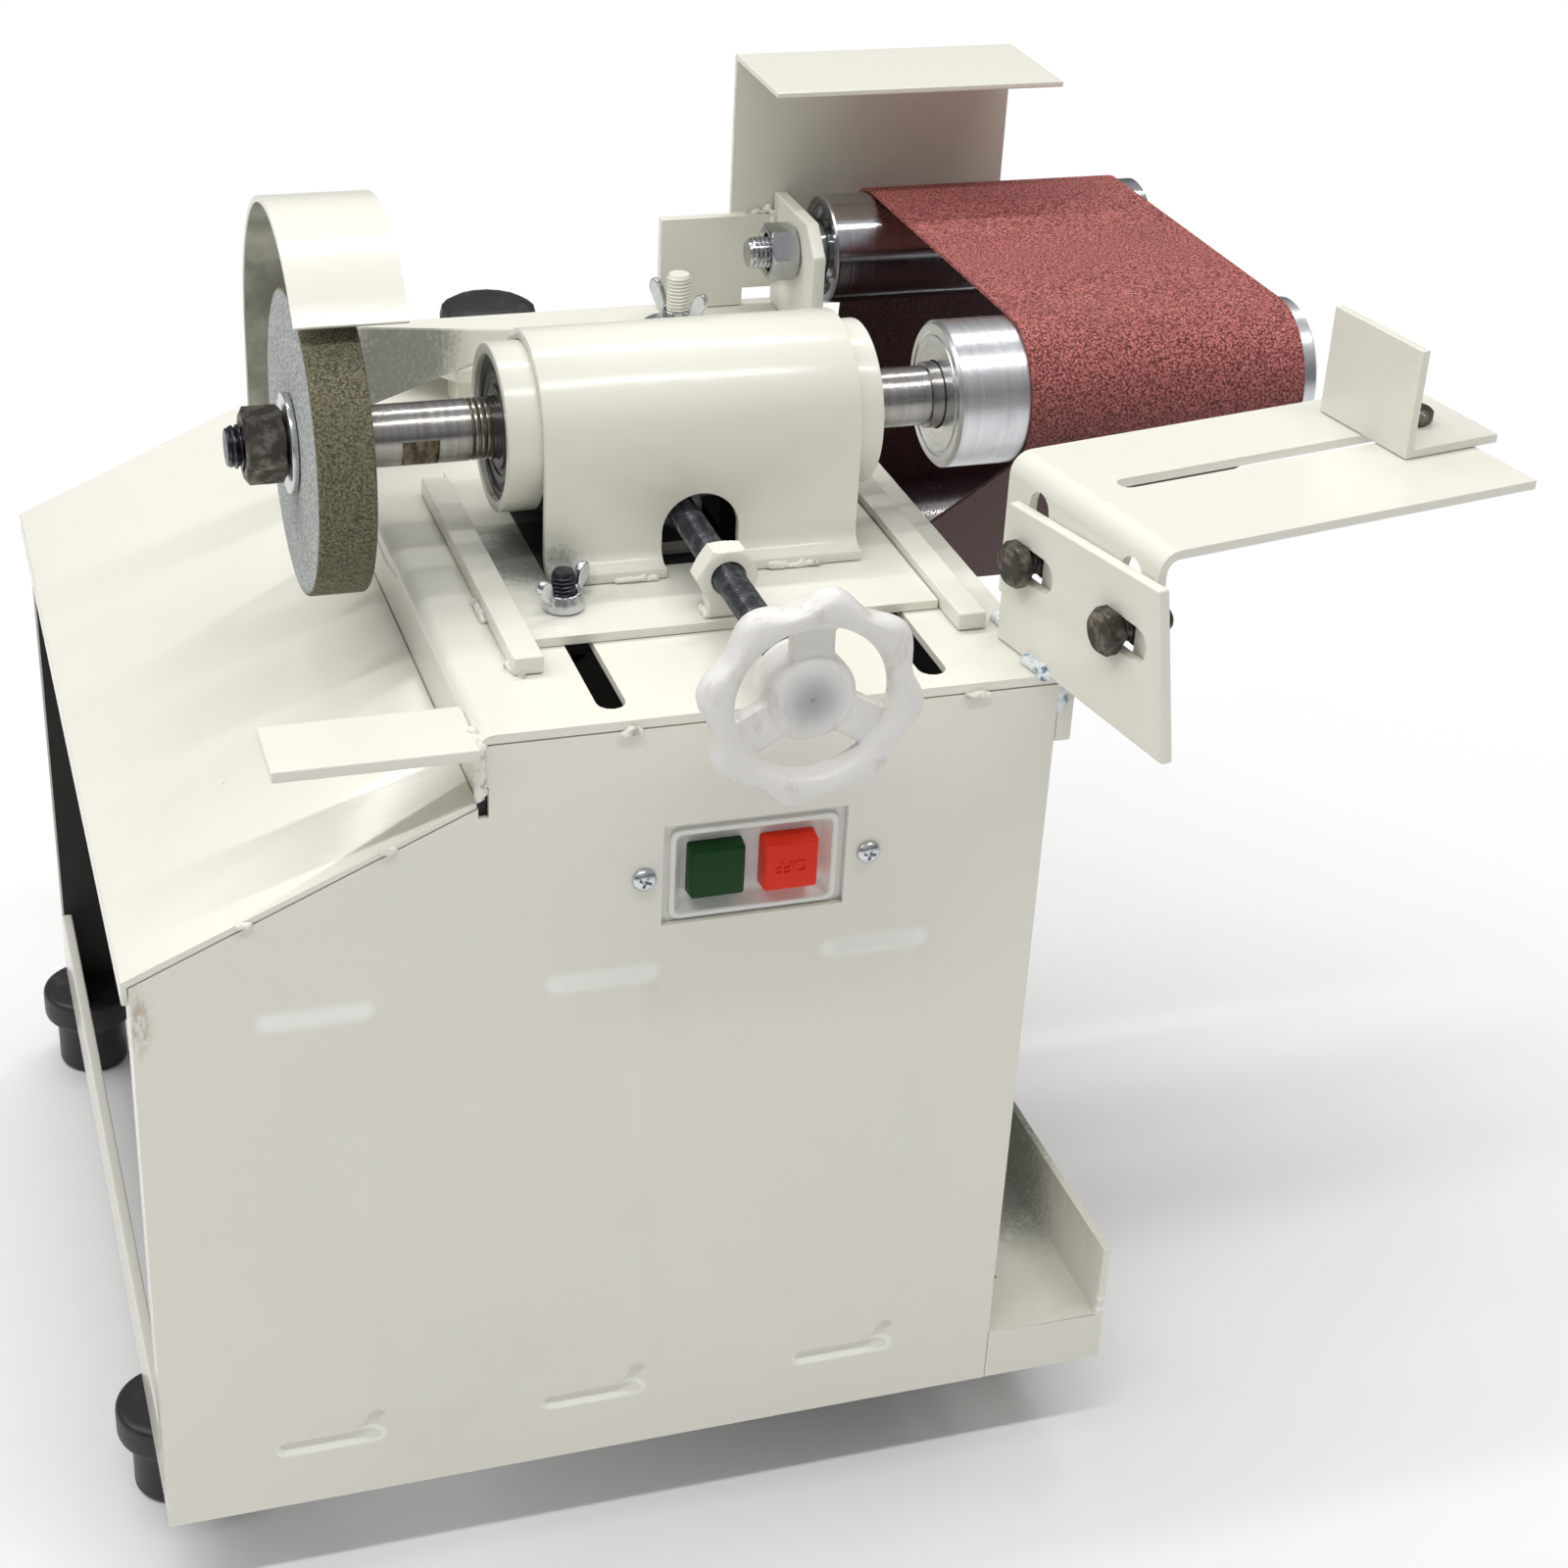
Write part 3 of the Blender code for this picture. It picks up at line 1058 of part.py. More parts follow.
def idler_profile(radius):
    return [(STUD_BORE, IDLER_L), (radius - ROLLER_EDGE, IDLER_L), (radius, IDLER_L - ROLLER_EDGE),
            (radius, ROLLER_EDGE), (radius - ROLLER_EDGE, 0), (IDLER_RECESS_R, 0),
            (IDLER_RECESS_R, IDLER_RECESS), (STUD_BORE, IDLER_RECESS)]


turned("rear_idler", "X", (IDLER_X, IDLER_Y, IDLER_Z), idler_profile(IDLER_R), STEEL, SEG_BIG, True)

# Lower idler on the cabinet's right wall, and the sanding belt
head_x = RIGHT - SHEET - GAP - AXLE_HEAD_H
lower_profile = axle_profile(head_x, RIGHT) + [(STUD_R, OVERLAP), (0, OVERLAP)]
lower_axle = turned("lower_axle", "X", (head_x, LOWER_Y, LOWER_Z), lower_profile, STEEL)
weld(lower_axle, hexagon("lower_axle_head", "X", (head_x, LOWER_Y, LOWER_Z), NUT_AF, AXLE_HEAD_H))
turned("lower_idler", "X", (IDLER_X, LOWER_Y, LOWER_Z), idler_profile(LOWER_R), STEEL, SEG_BIG, True)

belt_rollers = [(SPINDLE_Y, SPINDLE_Z, DRIVE_R), (LOWER_Y, LOWER_Z, LOWER_R), (IDLER_Y, IDLER_Z, IDLER_R)]
belt_loops = [belt_path(belt_rollers, GAP + BELT_T), belt_path(belt_rollers, GAP)]
sheet("sanding_belt", "YZ", belt_loops, BELT_X, BELT_X + BELT_W, GRIT)

# Guards on the arm
guard_back = GUARD_Y + GUARD_T
guard_front = guard_back - GUARD_DEEP
guard_top = TOP + GUARD_UP
guard_low = TOP + GUARD_LOW_UP
guard_outline = [(GUARD_Y, guard_low), (guard_back, guard_low), (guard_back, guard_top),
                 (guard_front, guard_top), (guard_front, guard_top - GUARD_T), (GUARD_Y, guard_top - GUARD_T)]
guard_x = RIGHT - GUARD_IN
back_guard = sheet("back_guard", "YZ", [guard_outline], guard_x, guard_x + GUARD_W, CREAM)
cut(back_guard, box("guard_notch", (BELT_X - GUARD_BELT_ROOM, GUARD_Y - PAST, guard_low - PAST),
                    (guard_x + GUARD_W + PAST, guard_back + PAST, TOP + GUARD_BELT_UP)))
tab_right = BRACKET_X - SLIDE
tab_left = tab_right - TAB_W
tab_top = ARM_TOP + TAB_H
notch_x = tab_right - TAB_NOTCH
notch_z = on_arm + TAB_NOTCH_H
tab_outline = [(tab_left, on_arm), (notch_x, on_arm), (notch_x, notch_z), (tab_right, notch_z),
               (tab_right, tab_top), (tab_left, tab_top)]
weld(back_guard, sheet("guard_tab", "XZ", [tab_outline], GUARD_Y - TAB_T, GUARD_Y + OVERLAP))

hood_out = HOOD_R + HOOD_T
hood_low = TOP + HOOD_LOW_UP
hood_outline = arc(HOOD_Y, HOOD_Z, hood_out, HOOD_END, 0, SEG)
hood_outline += [(HOOD_Y + hood_out, hood_low), (HOOD_Y + HOOD_R, hood_low)]
hood_outline += arc(HOOD_Y, HOOD_Z, HOOD_R, 0, HOOD_END, SEG)
wheel_guard = sheet("wheel_guard", "YZ", [hood_outline], HOOD_X, HOOD_X + HOOD_W, CREAM)
web_start = Vector((HOOD_X + HOOD_W - WEB_IN, HOOD_Y + HOOD_R + HOOD_T / 2, 0))
web_run = Vector((FOLD + WEB_END_IN, ARM_BACK - WEB_END_AHEAD, 0)) - web_start
web_side = [(0, on_arm), (web_run.length, on_arm), (web_run.length, on_arm + WEB_TIP), (0, TOP + WEB_UP)]
web = sheet("guard_web", "XZ", [web_side], -WEB_T / 2, WEB_T / 2)
web.location = web_start
web.rotation_euler = (0, 0, math.atan2(web_run.y, web_run.x))
weld(wheel_guard, web)

# Switch
switch_bezel = box("switch_bezel", (SWITCH_X0, FRONT + SWITCH_BACK, SWITCH_Z0),
                   (SWITCH_X1, FRONT + SWITCH_DEEP, SWITCH_Z1), BEZEL)
ear_y = FRONT + SHEET + GAP
ears = box("ears", (SCREW_LEFT_X - EAR_W / 2, ear_y, KEY_Z - EAR_H / 2),
           (SCREW_RIGHT_X + EAR_W / 2, ear_y + EAR_T, KEY_Z + EAR_H / 2))
weld(switch_bezel, ears)
for name, x, out, material in (("on_key", KEY_GREEN_X, KEY_OUT_GREEN, GREEN),
                               ("off_key", KEY_RED_X, KEY_OUT_RED, RED)):
    well = box(f"{name}_well", (x - KEY_W / 2 - SLIDE, FRONT - PAST, KEY_Z - KEY_H / 2 - SLIDE),
               (x + KEY_W / 2 + SLIDE, FRONT + KEY_IN + KEY_FREE, KEY_Z + KEY_H / 2 + SLIDE))
    cut(switch_bezel, well)
    key = box(name, (x - KEY_W / 2, FRONT - out, KEY_Z - KEY_H / 2),
              (x + KEY_W / 2, FRONT + KEY_IN, KEY_Z + KEY_H / 2), material, (x, FRONT, KEY_Z))
    bevel = key.modifiers.new("edges", "BEVEL")
    bevel.width = KEY_EDGE
    bevel.segments = 2
head_l = SWITCH_HEAD + SWITCH_SCREW_L
head_profile = [(0, head_l), (SWITCH_SCREW_R, head_l), (SWITCH_SCREW_R, SWITCH_HEAD),
                (SWITCH_HEAD_R, SWITCH_HEAD), (SWITCH_HEAD_R, SWITCH_HEAD_EDGE),
                (SWITCH_HEAD_R - SWITCH_HEAD_EDGE, 0), (0, 0)]
for side, x in (("left", SCREW_LEFT_X), ("right", SCREW_RIGHT_X)):
    turned(f"switch_screw_{side}", "Y", (x, FRONT - GAP - SWITCH_HEAD, KEY_Z), head_profile, ZINC, SEG_SMALL)
    bore_through(switch_bezel, "Y", (x, ear_y, KEY_Z), SWITCH_SCREW_R + RUN, EAR_T)

# Work rest, turned in plan with its mount
rest_frame = bpy.data.objects.new("rest_frame", None)
rest_frame.location = (RIGHT + REST_OUT, FRONT - REST_AHEAD, 0)
rest_frame.rotation_euler = (0, 0, REST_YAW)
PARTS.objects.link(rest_frame)
bolt_room = 2 * (REST_BOLT_R + RUN)
bolt_y = {"back": REST_BOLT_BACK, "front": -REST_BOLT_FRONT}
mount_slots = []
for y in bolt_y.values():
    mount_slots.append(slot_x(y - MOUNT_SLOT_AHEAD, y + MOUNT_SLOT_BEHIND, REST_BOLT_Z, bolt_room))
mount_top = TOP + MOUNT_H
mount_outline = [(-MOUNT_AHEAD, seat_z), (MOUNT_BEHIND, seat_z), (MOUNT_BEHIND, mount_top),
                 (-MOUNT_TOP_AHEAD, mount_top + MOUNT_RISE)]
sheet("mount_plate", "YZ", [mount_outline, *mount_slots], mount_left, mount_right, CREAM, parent=rest_frame)

flange_right = rest_face + REST_T
bend_u = rest_face + REST_BEND
bend_v = REST_TOP - REST_BEND
rest_right = rest_face + REST_L
rest_outline = [(rest_face, REST_TOP - REST_DROP), (flange_right, REST_TOP - REST_DROP)]
rest_outline += arc(bend_u, bend_v, REST_BEND - REST_T, math.pi, math.pi / 2, BEND_STEPS)
rest_outline += [(rest_right, REST_TOP - REST_T), (rest_right, REST_TOP)]
rest_outline += arc(bend_u, bend_v, REST_BEND, math.pi / 2, math.pi, BEND_STEPS)
work_rest = sheet("work_rest", "XZ", [rest_outline], -REST_FRONT, REST_BEHIND, CREAM, (0, 0, REST_TOP),
                  rest_frame)
rest_slot = slot_x(REST_SLOT_IN, REST_SLOT_END, REST_SLOT_Y, 2 * (FENCE_BOLT_R + RUN))
cut(work_rest, sheet("rest_slot", "XY", [rest_slot], REST_TOP - REST_T - PAST, REST_TOP + PAST,
                     parent=rest_frame))
lift_low = REST_BOLT_Z - bolt_room / 2 - REST_LIFT
lift_slots = [slot_y(y, lift_low, TOP + LIFT_TOP, bolt_room) for y in bolt_y.values()]
cut(work_rest, sheet("lift_slots", "YZ", lift_slots, rest_face - PAST, flange_right + PAST,
                     parent=rest_frame))

rest_head_x = mount_left - GAP - REST_HEAD
rest_nut_x = flange_right + GAP
for end, y in bolt_y.items():
    bolt = hexagon(f"rest_bolt_{end}", "X", (rest_head_x, y, REST_BOLT_Z), REST_AF, REST_HEAD, OXIDE,
                   rest_frame)
    shank = rod(f"rest_shank_{end}", "X", (rest_head_x + OVERLAP, y, REST_BOLT_Z), REST_BOLT_R,
                rest_nut_x + REST_NUT + REST_END - rest_head_x - OVERLAP, parent=rest_frame)
    nut = hexagon(f"rest_nut_{end}", "X", (rest_nut_x, y, REST_BOLT_Z), REST_AF, REST_NUT, None, rest_frame)
    weld(bolt, shank, nut)

fence_z = REST_TOP + GAP
fence_outline = [(FENCE_IN, fence_z), (fence_right, fence_z), (fence_right, fence_z + REST_T),
                 (FENCE_IN + REST_T, fence_z + REST_T), (FENCE_IN + REST_T, fence_z + FENCE_H),
                 (FENCE_IN, fence_z + FENCE_H)]
fence_at = (FENCE_IN + FENCE_BOLT_IN, REST_SLOT_Y, fence_z)
fence = sheet("fence", "XZ", [fence_outline], -FENCE_FRONT, FENCE_BEHIND, CREAM, fence_at, rest_frame)
bore_through(fence, "Z", fence_at, FENCE_BOLT_R + RUN, REST_T, rest_frame)
fence_head_z = fence_z + REST_T + GAP
fence_nut_z = REST_TOP - REST_T - GAP - FENCE_HEAD
fence_head_at = (*fence_at[:2], fence_head_z)
fence_nut_at = (*fence_at[:2], fence_nut_z)
fence_shank_at = (*fence_at[:2], fence_nut_z + OVERLAP)
fence_bolt = hexagon("fence_bolt", "Z", fence_head_at, FENCE_AF, FENCE_HEAD, OXIDE, rest_frame)
fence_shank = rod("fence_shank", "Z", fence_shank_at, FENCE_BOLT_R, fence_head_z - fence_nut_z,
                  parent=rest_frame)
fence_nut = hexagon("fence_nut", "Z", fence_nut_at, FENCE_AF, FENCE_HEAD, None, rest_frame)
weld(fence_bolt, fence_shank, fence_nut)
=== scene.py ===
# %% [markdown]
# # A belt and disc sander
#
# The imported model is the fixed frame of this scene. The planes, axes and boxes of the machine are read
# from it, so a finer piece lands where its plain solid is, and moves with the same body.

# %% Load the frame
import json
import math

import bmesh
import bpy
from mathutils import Matrix, Vector


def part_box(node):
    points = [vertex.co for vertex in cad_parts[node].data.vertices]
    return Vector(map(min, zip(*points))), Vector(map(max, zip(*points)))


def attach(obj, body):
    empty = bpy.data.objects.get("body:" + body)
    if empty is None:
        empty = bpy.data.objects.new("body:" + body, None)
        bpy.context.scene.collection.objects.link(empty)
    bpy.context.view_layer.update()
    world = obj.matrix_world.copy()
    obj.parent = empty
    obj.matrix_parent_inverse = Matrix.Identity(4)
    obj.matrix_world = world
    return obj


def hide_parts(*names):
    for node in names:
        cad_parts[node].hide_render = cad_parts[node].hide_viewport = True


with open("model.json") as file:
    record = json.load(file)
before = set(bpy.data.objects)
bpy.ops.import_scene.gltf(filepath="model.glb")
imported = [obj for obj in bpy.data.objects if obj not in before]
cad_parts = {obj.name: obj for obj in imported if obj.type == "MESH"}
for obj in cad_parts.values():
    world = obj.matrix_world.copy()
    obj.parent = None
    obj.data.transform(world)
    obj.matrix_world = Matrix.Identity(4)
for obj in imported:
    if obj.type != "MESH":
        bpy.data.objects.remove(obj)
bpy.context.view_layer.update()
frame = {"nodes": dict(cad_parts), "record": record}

nodes = frame["nodes"]
groups = frame["record"]["behaviour"]["bodies"]
body_of = {node: body for body, members in groups.items() for node in members}


def middle(node):
    lo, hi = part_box(node)
    return (lo + hi) / 2


# %% Planes and axes of the machine
SEAT = 0.0003
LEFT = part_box("left_rail")[0].x
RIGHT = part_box("right_wall")[1].x
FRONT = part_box("sloped_cover")[0].y
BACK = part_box("back_panel")[1].y
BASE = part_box("left_rail")[0].z
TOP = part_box("guide_bar_left")[0].z - SEAT
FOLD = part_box("top_plate")[0].x
SADDLE_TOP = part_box("saddle_plate")[1].z
SPINDLE = middle("grinding_wheel")
WHEEL_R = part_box("grinding_wheel")[1].z - SPINDLE.z
RING_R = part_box("bearing_ring_left")[1].z - SPINDLE.z
ARCH_IN = RING_R + SEAT
ARCH_LO, ARCH_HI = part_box("arch_saddle")
REAR = middle("rear_idler")
LOWER = middle("lower_idler")
SCREW = middle("feed_screw")
ALONG_X = Vector((1, 0, 0))
ALONG_Y = Vector((0, 1, 0))
ALONG_Z = Vector((0, 0, 1))
REST_YAW = math.radians(10.5)
REST_X = Vector((math.cos(REST_YAW), math.sin(REST_YAW), 0))
print("cabinet", round(RIGHT - LEFT, 4), "wide,", round(BACK - FRONT, 4), "deep")

# %% [markdown]
# ## Camera
#
# The view is from the front and left, well above the machine, with a slight roll. A camera could be
# aimed with a constraint, but the roll would be lost, so its three directions are worked out from three
# angles.

# %% Camera
CAMERA_AT = Vector((-0.26383, -0.84774, 0.7155))
AZIMUTH = -19.548
ELEVATION = 29.509
ROLL = 3.274
LENS = 64.904
SENSOR = 36.0


def camera_turn(azimuth, elevation, roll):
    a, e, r = (math.radians(v) for v in (azimuth, elevation, roll))
    ahead = Vector((-math.sin(a) * math.cos(e), math.cos(a) * math.cos(e), -math.sin(e)))
    level = ahead.cross(ALONG_Z).normalized()
    rise = level.cross(ahead)
    side = math.cos(r) * level + math.sin(r) * rise
    up = math.cos(r) * rise - math.sin(r) * level
    return Matrix((side, up, -ahead)).transposed()


lens = bpy.data.cameras.new("camera")
lens.lens = LENS
lens.sensor_width = SENSOR
camera = bpy.data.objects.new("camera", lens)
turn = camera_turn(AZIMUTH, ELEVATION, ROLL).to_4x4()
camera.matrix_world = Matrix.Translation(CAMERA_AT) @ turn
bpy.context.scene.collection.objects.link(camera)
bpy.context.scene.camera = camera
bpy.context.scene.view_settings.view_transform = "Standard"
print("camera", round((CAMERA_AT - SPINDLE).length, 3), "m from the spindle")

# %% [markdown]
# ## Shader sums in Python
#
# A material is a web of sockets. Linking each Math node by hand hides the sum that it makes, so a small
# class wraps a socket: an expression on wrapped sockets adds the Math nodes, and one method adds any
# other node.


# %% A socket that takes part in sums
class Wire:
    def __init__(self, socket):
        self.socket = socket

    def node(self, kind, settings=None, out=0, **values):
        """Add a node to this tree: settings first, then sockets by name, or by place as in_0."""
        tree = self.socket.id_data
        made = tree.nodes.new(kind)
        for key, value in (settings or {}).items():
            setattr(made, key, value)
        for key, value in values.items():
            place = int(key[3:]) if key.startswith("in_") else key.replace("_", " ")
            socket = made.inputs[place]
            if isinstance(value, Wire):
                tree.links.new(value.socket, socket)
            else:
                socket.default_value = value
        return Wire(made.outputs[out])

    def math(self, operation, other, flipped=False):
        first, second = (other, self) if flipped else (self, other)
        return self.node("ShaderNodeMath", {"operation": operation}, in_0=first, in_1=second)

    def __add__(self, other):
        return self.math("ADD", other)

    def __sub__(self, other):
        return self.math("SUBTRACT", other)

    def __rsub__(self, other):
        return self.math("SUBTRACT", other, True)

    def __mul__(self, other):
        return self.math("MULTIPLY", other)

    __radd__ = __add__
    __rmul__ = __mul__

    def step(self, low, high):
        """A soft step from 0 at low to 1 at high."""
        return self.node("ShaderNodeMapRange", {"interpolation_type": "SMOOTHSTEP"}, Value=self,
                         From_Min=low, From_Max=high)

    def noise(self, scale, detail=2.0, rough=0.5):
        return self.node("ShaderNodeTexNoise", Vector=self, Scale=scale, Detail=detail, Roughness=rough)

    def lines(self, scale, detail=2.0):
        """Noise along a single number, for tool marks."""
        return self.node("ShaderNodeTexNoise", {"noise_dimensions": "1D"}, W=self, Scale=scale,
                         Detail=detail)

    def cells(self, scale, feature="F1"):
        return self.node("ShaderNodeTexVoronoi", {"feature": feature}, Vector=self, Scale=scale)

    def stretch(self, x, y, z):
        return self.node("ShaderNodeVectorMath", {"operation": "MULTIPLY"}, in_0=self, in_1=(x, y, z))

    def part(self, place):
        return self.node("ShaderNodeSeparateXYZ", out=place, Vector=self)

    def above(self, limit):
        return self.math("GREATER_THAN", limit)

    def below(self, limit):
        return self.math("LESS_THAN", limit)

    def between(self, low, high):
        return self.above(low) * self.below(high)

    def most(self, other):
        return self.math("MAXIMUM", other)

    def reach(self, centre, mask=(1, 1, 1)):
        """Distance from a centre, or from an axis when the mask drops its direction."""
        moved = self.node("ShaderNodeVectorMath", {"operation": "SUBTRACT"}, in_0=self, in_1=centre)
        flat = moved.stretch(*mask)
        return flat.node("ShaderNodeVectorMath", {"operation": "LENGTH"}, out="Value", in_0=flat)

    def mix(self, first, second):
        """This socket as a mask between two colours."""
        return self.node("ShaderNodeMix", {"data_type": "RGBA"}, out=2, in_0=self, in_6=first, in_7=second)


# %% A finish
def tint(red, green, blue):
    return (red, green, blue, 1.0)


class Finish:
    """A material, the record's slot that it belongs to, and the wires that feed its shader."""

    def __init__(self, name, slot, **constants):
        self.slot = slot
        self.material = bpy.data.materials.new(name)
        self.material.use_nodes = True
        tree = self.material.node_tree
        self.shader = tree.nodes["Principled BSDF"]
        self.spot = Wire(tree.nodes.new("ShaderNodeTexCoord").outputs["Object"])
        for key, value in constants.items():
            self.shader.inputs[key.replace("_", " ")].default_value = value

    def feed(self, **wires):
        for key, wire in wires.items():
            socket = self.shader.inputs[key.replace("_", " ")]
            self.material.node_tree.links.new(wire.socket, socket)
        return self

    def bump(self, height, distance):
        lifted = height.node("ShaderNodeBump", Height=height, Distance=distance)
        return self.feed(Normal=lifted)


# %% [markdown]
# ## Cream enamel
#
# The cabinet and brackets are sprayed enamel over welded sheet. Its coat is uneven: broad patches of
# tone, an orange peel that breaks up highlights, greasy smudges and a few nicks. Shade is painted into
# the colour as well: speckled grey in some corners, near black inside the cabinet and under the arch,
# and dark grey inside the wheel's hood. The pressed bars carry a painted highlight. All of these are
# masks on the place in space, which costs no extra meshes.

# %% Where shade and highlights are painted into the enamel
SHEET = 0.0012
PANEL_T = 0.002
COVER_LIP = 0.008
COVER_DROP = 0.022
COVER_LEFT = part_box("sloped_cover")[0].z + COVER_LIP - PANEL_T - SEAT
COVER_RISE = (TOP - COVER_DROP - PANEL_T - SEAT) - COVER_LEFT
COVER_SLOPE = COVER_RISE / (FOLD - LEFT)
FRAME_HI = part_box("base_frame")[1]
AXIS_MASK = (0, 1, 1)
SADDLE_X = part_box("saddle_plate")[0].x
LIP_X = FRAME_HI.x - SHEET / 2
# Corners that get painted shade: centre, reach, and the span of x that each keeps to.
SHADED_SPOTS = (
    (Vector((ARCH_LO.x - 0.019, SPINDLE.y + 0.096, SPINDLE.z - 0.014)), 0.050, LEFT, RIGHT),
    (Vector((ARCH_LO.x - 0.001, SPINDLE.y - 0.012, SADDLE_TOP)), 0.036, SADDLE_X, RIGHT),
    (Vector((ARCH_LO.x + 0.004, ARCH_LO.y, SADDLE_TOP + 0.005)), 0.016, LEFT, RIGHT),
    (Vector((FRAME_HI.x - 0.003, FRONT + 0.095, BASE + 0.024)), 0.080, RIGHT + 0.003, LIP_X),
)
RUB_AT = Vector((LEFT + 0.002, FRONT, COVER_LEFT - 0.012))
BEAD_FIRST = 0.054
BEAD_PITCH = 0.089
BEAD_HALF = 0.0150
BEAD_HIGH = TOP - 0.0895
BEAD_LOW = BASE + 0.0245
HOOD_R = WHEEL_R + 0.012
HOOD_AT = SPINDLE + Vector((0, 0.020, 0.008))
HOOD_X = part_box("wheel_guard")[0].x
HOOD_W = 0.035
RAIL_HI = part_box("left_rail")[1]
SKIN = 0.0004
NEAR_SKIN = 0.0002
FOLD_IN = FOLD + 0.0025
UNDER_TOP = TOP - 0.0027


# %% Masks on the place in space
def painted_interior_shade(spot):
    """Painted shade: one inside the cabinet and under the arch, where the enamel is darkened to near black.
    """
    x, y, z = (spot.part(i) for i in range(3))
    deep = y.between(FRONT + PANEL_T + NEAR_SKIN, BACK - SHEET)
    under_cover = (z - COVER_SLOPE * x).below(COVER_LEFT - COVER_SLOPE * LEFT + 0.0006)
    beside_rail = x.above(RAIL_HI.x + NEAR_SKIN)
    behind_rail = x.above(LEFT + 2 * SKIN) * y.above(RAIL_HI.y)
    left = beside_rail.most(behind_rail) * x.below(FOLD_IN) * under_cover
    right = x.between(FOLD_IN, RIGHT - SHEET) * z.below(UNDER_TOP)
    round_top = spot.reach(SPINDLE, AXIS_MASK).below(ARCH_IN + SKIN)
    straight = y.between(SPINDLE.y - ARCH_IN - SKIN, SPINDLE.y + ARCH_IN + SKIN)
    straight = straight * z.between(SADDLE_TOP - SKIN, SPINDLE.z)
    arch = x.between(ARCH_LO.x + 0.001, ARCH_HI.x - 0.001) * round_top.most(straight)
    return (deep * left.most(right)).most(arch)


def painted_hood_shade(spot):
    """Painted shade: one on the inside of the wheel's hood."""
    x, y, z = (spot.part(i) for i in range(3))
    near, far = HOOD_R - 0.0015, HOOD_R + 0.0006
    shell = spot.reach(HOOD_AT, AXIS_MASK).between(near, far)
    wall = y.between(HOOD_AT.y + near, HOOD_AT.y + far) * z.between(TOP + 0.02, HOOD_AT.z)
    return x.between(HOOD_X + SKIN, HOOD_X + HOOD_W - SKIN) * shell.most(wall)


def painted_bar_highlights(spot):
    """Painted highlight: one on the upper pressed bars and round the rim of the lower ones, where the paint
    is also a little glossier.
    """
    x, y, z = (spot.part(i) for i in range(3))
    off_end = ((x - (LEFT + BEAD_FIRST)).math("PINGPONG", BEAD_PITCH / 2) - BEAD_HALF).most(0.0)
    high = z - BEAD_HIGH
    low = z - BEAD_LOW
    bar = 1 - (off_end * off_end + high * high).math("POWER", 0.5).step(0.0005, 0.0048)
    rim = (off_end * off_end + low * low).math("POWER", 0.5)
    rim = rim.step(0.0010, 0.0020) * (1 - rim.step(0.0026, 0.0040))
    ahead = y.below(FRONT + PANEL_T + SEAT)
    return ahead * bar.most(rim)


def painted_corner_shade(spot):
    """How much painted shade falls in the listed corners, broken into speckles."""
    most = None
    for place, size, from_x, to_x in SHADED_SPOTS:
        mask = 1 - spot.reach(place).step(0.25 * size, size)
        mask = mask * spot.part(0).between(from_x - SEAT, to_x)
        most = mask if most is None else most.most(mask)
    return most


# %% Cream enamel
def cream_paint(name, runs):
    """Enamel; runs is how strongly it has sagged into drips."""
    made = Finish(name, "cream_paint")
    spot = made.spot
    coat = spot.noise(11, 3)
    smudge = spot.noise(24, 5, 0.6).step(0.56, 0.85)
    nick = spot.noise(300, 2).step(0.76, 0.79) * spot.noise(24, 2).step(0.60, 0.70)
    grain = spot.noise(520, 3, 0.7)
    # Painted shade in sheltered corners, broken into grey speckles; it also roughens the paint.
    corner_shade = (painted_corner_shade(spot) * (0.35 + 1.1 * grain)).step(0.12, 0.95)
    rub = 1 - spot.reach(RUB_AT, (2.6, 1, 0.9)).step(0.003, 0.016)
    rub = rub * spot.stretch(1, 1, 0.3).noise(420, 4, 0.7).step(0.42, 0.62)
    colour = coat.mix(tint(0.815, 0.80, 0.715), tint(0.765, 0.755, 0.675))
    colour = (smudge * 0.14).mix(colour, tint(0.50, 0.47, 0.38))
    colour = (corner_shade * 0.85).mix(colour, tint(0.15, 0.165, 0.145))
    colour = (rub * 0.6).mix(colour, tint(0.36, 0.25, 0.15))
    colour = nick.mix(colour, tint(0.16, 0.14, 0.12))
    # A painted highlight on the pressed bars, in near white.
    bar_highlight = painted_bar_highlights(spot)
    colour = (bar_highlight * 0.8).mix(colour, tint(0.94, 0.94, 0.90))
    # Painted shade inside the wheel's hood, broken into patches.
    dust = painted_hood_shade(spot) * (0.55 + 0.45 * spot.noise(38, 4, 0.6).step(0.35, 0.65))
    colour = (dust * 0.9).mix(colour, tint(0.22, 0.225, 0.185))
    # Painted shade: the enamel inside the cabinet and under the arch turns near black.
    interior_shade = painted_interior_shade(spot)
    colour = interior_shade.mix(colour, (0.4 + 0.6 * coat).mix(tint(0.008, 0.008, 0.007), tint(0.022, 0.021, 0.018)))
    made.feed(Base_Color=colour, Roughness=0.17 + 0.08 * coat + 0.3 * corner_shade + 0.4 * interior_shade - 0.06 * bar_highlight)
    peel = 0.6 * spot.noise(620, 2) + 2.4 * spot.noise(105, 2)
    if runs:
        peel = peel + runs * spot.stretch(1, 1, 0.4).noise(170, 4)
    return made.bump(peel, 0.00005)


CREAM = cream_paint("cream_enamel", 0)
RUNNY = cream_paint("cream_enamel_runs", 14)


# %% Painted welds
def painted_weld(name, light, dark):
    """Enamel that pools over a weld, with soot or a heat stain in its hollows."""
    made = Finish(name, "cream_paint")
    spot = made.spot
    soot = spot.noise(260, 4).step(0.52, 0.66)
    made.feed(Base_Color=soot.mix(light, dark), Roughness=0.14 + 0.25 * soot)
    return made.bump(spot.noise(700, 3), 0.00012)


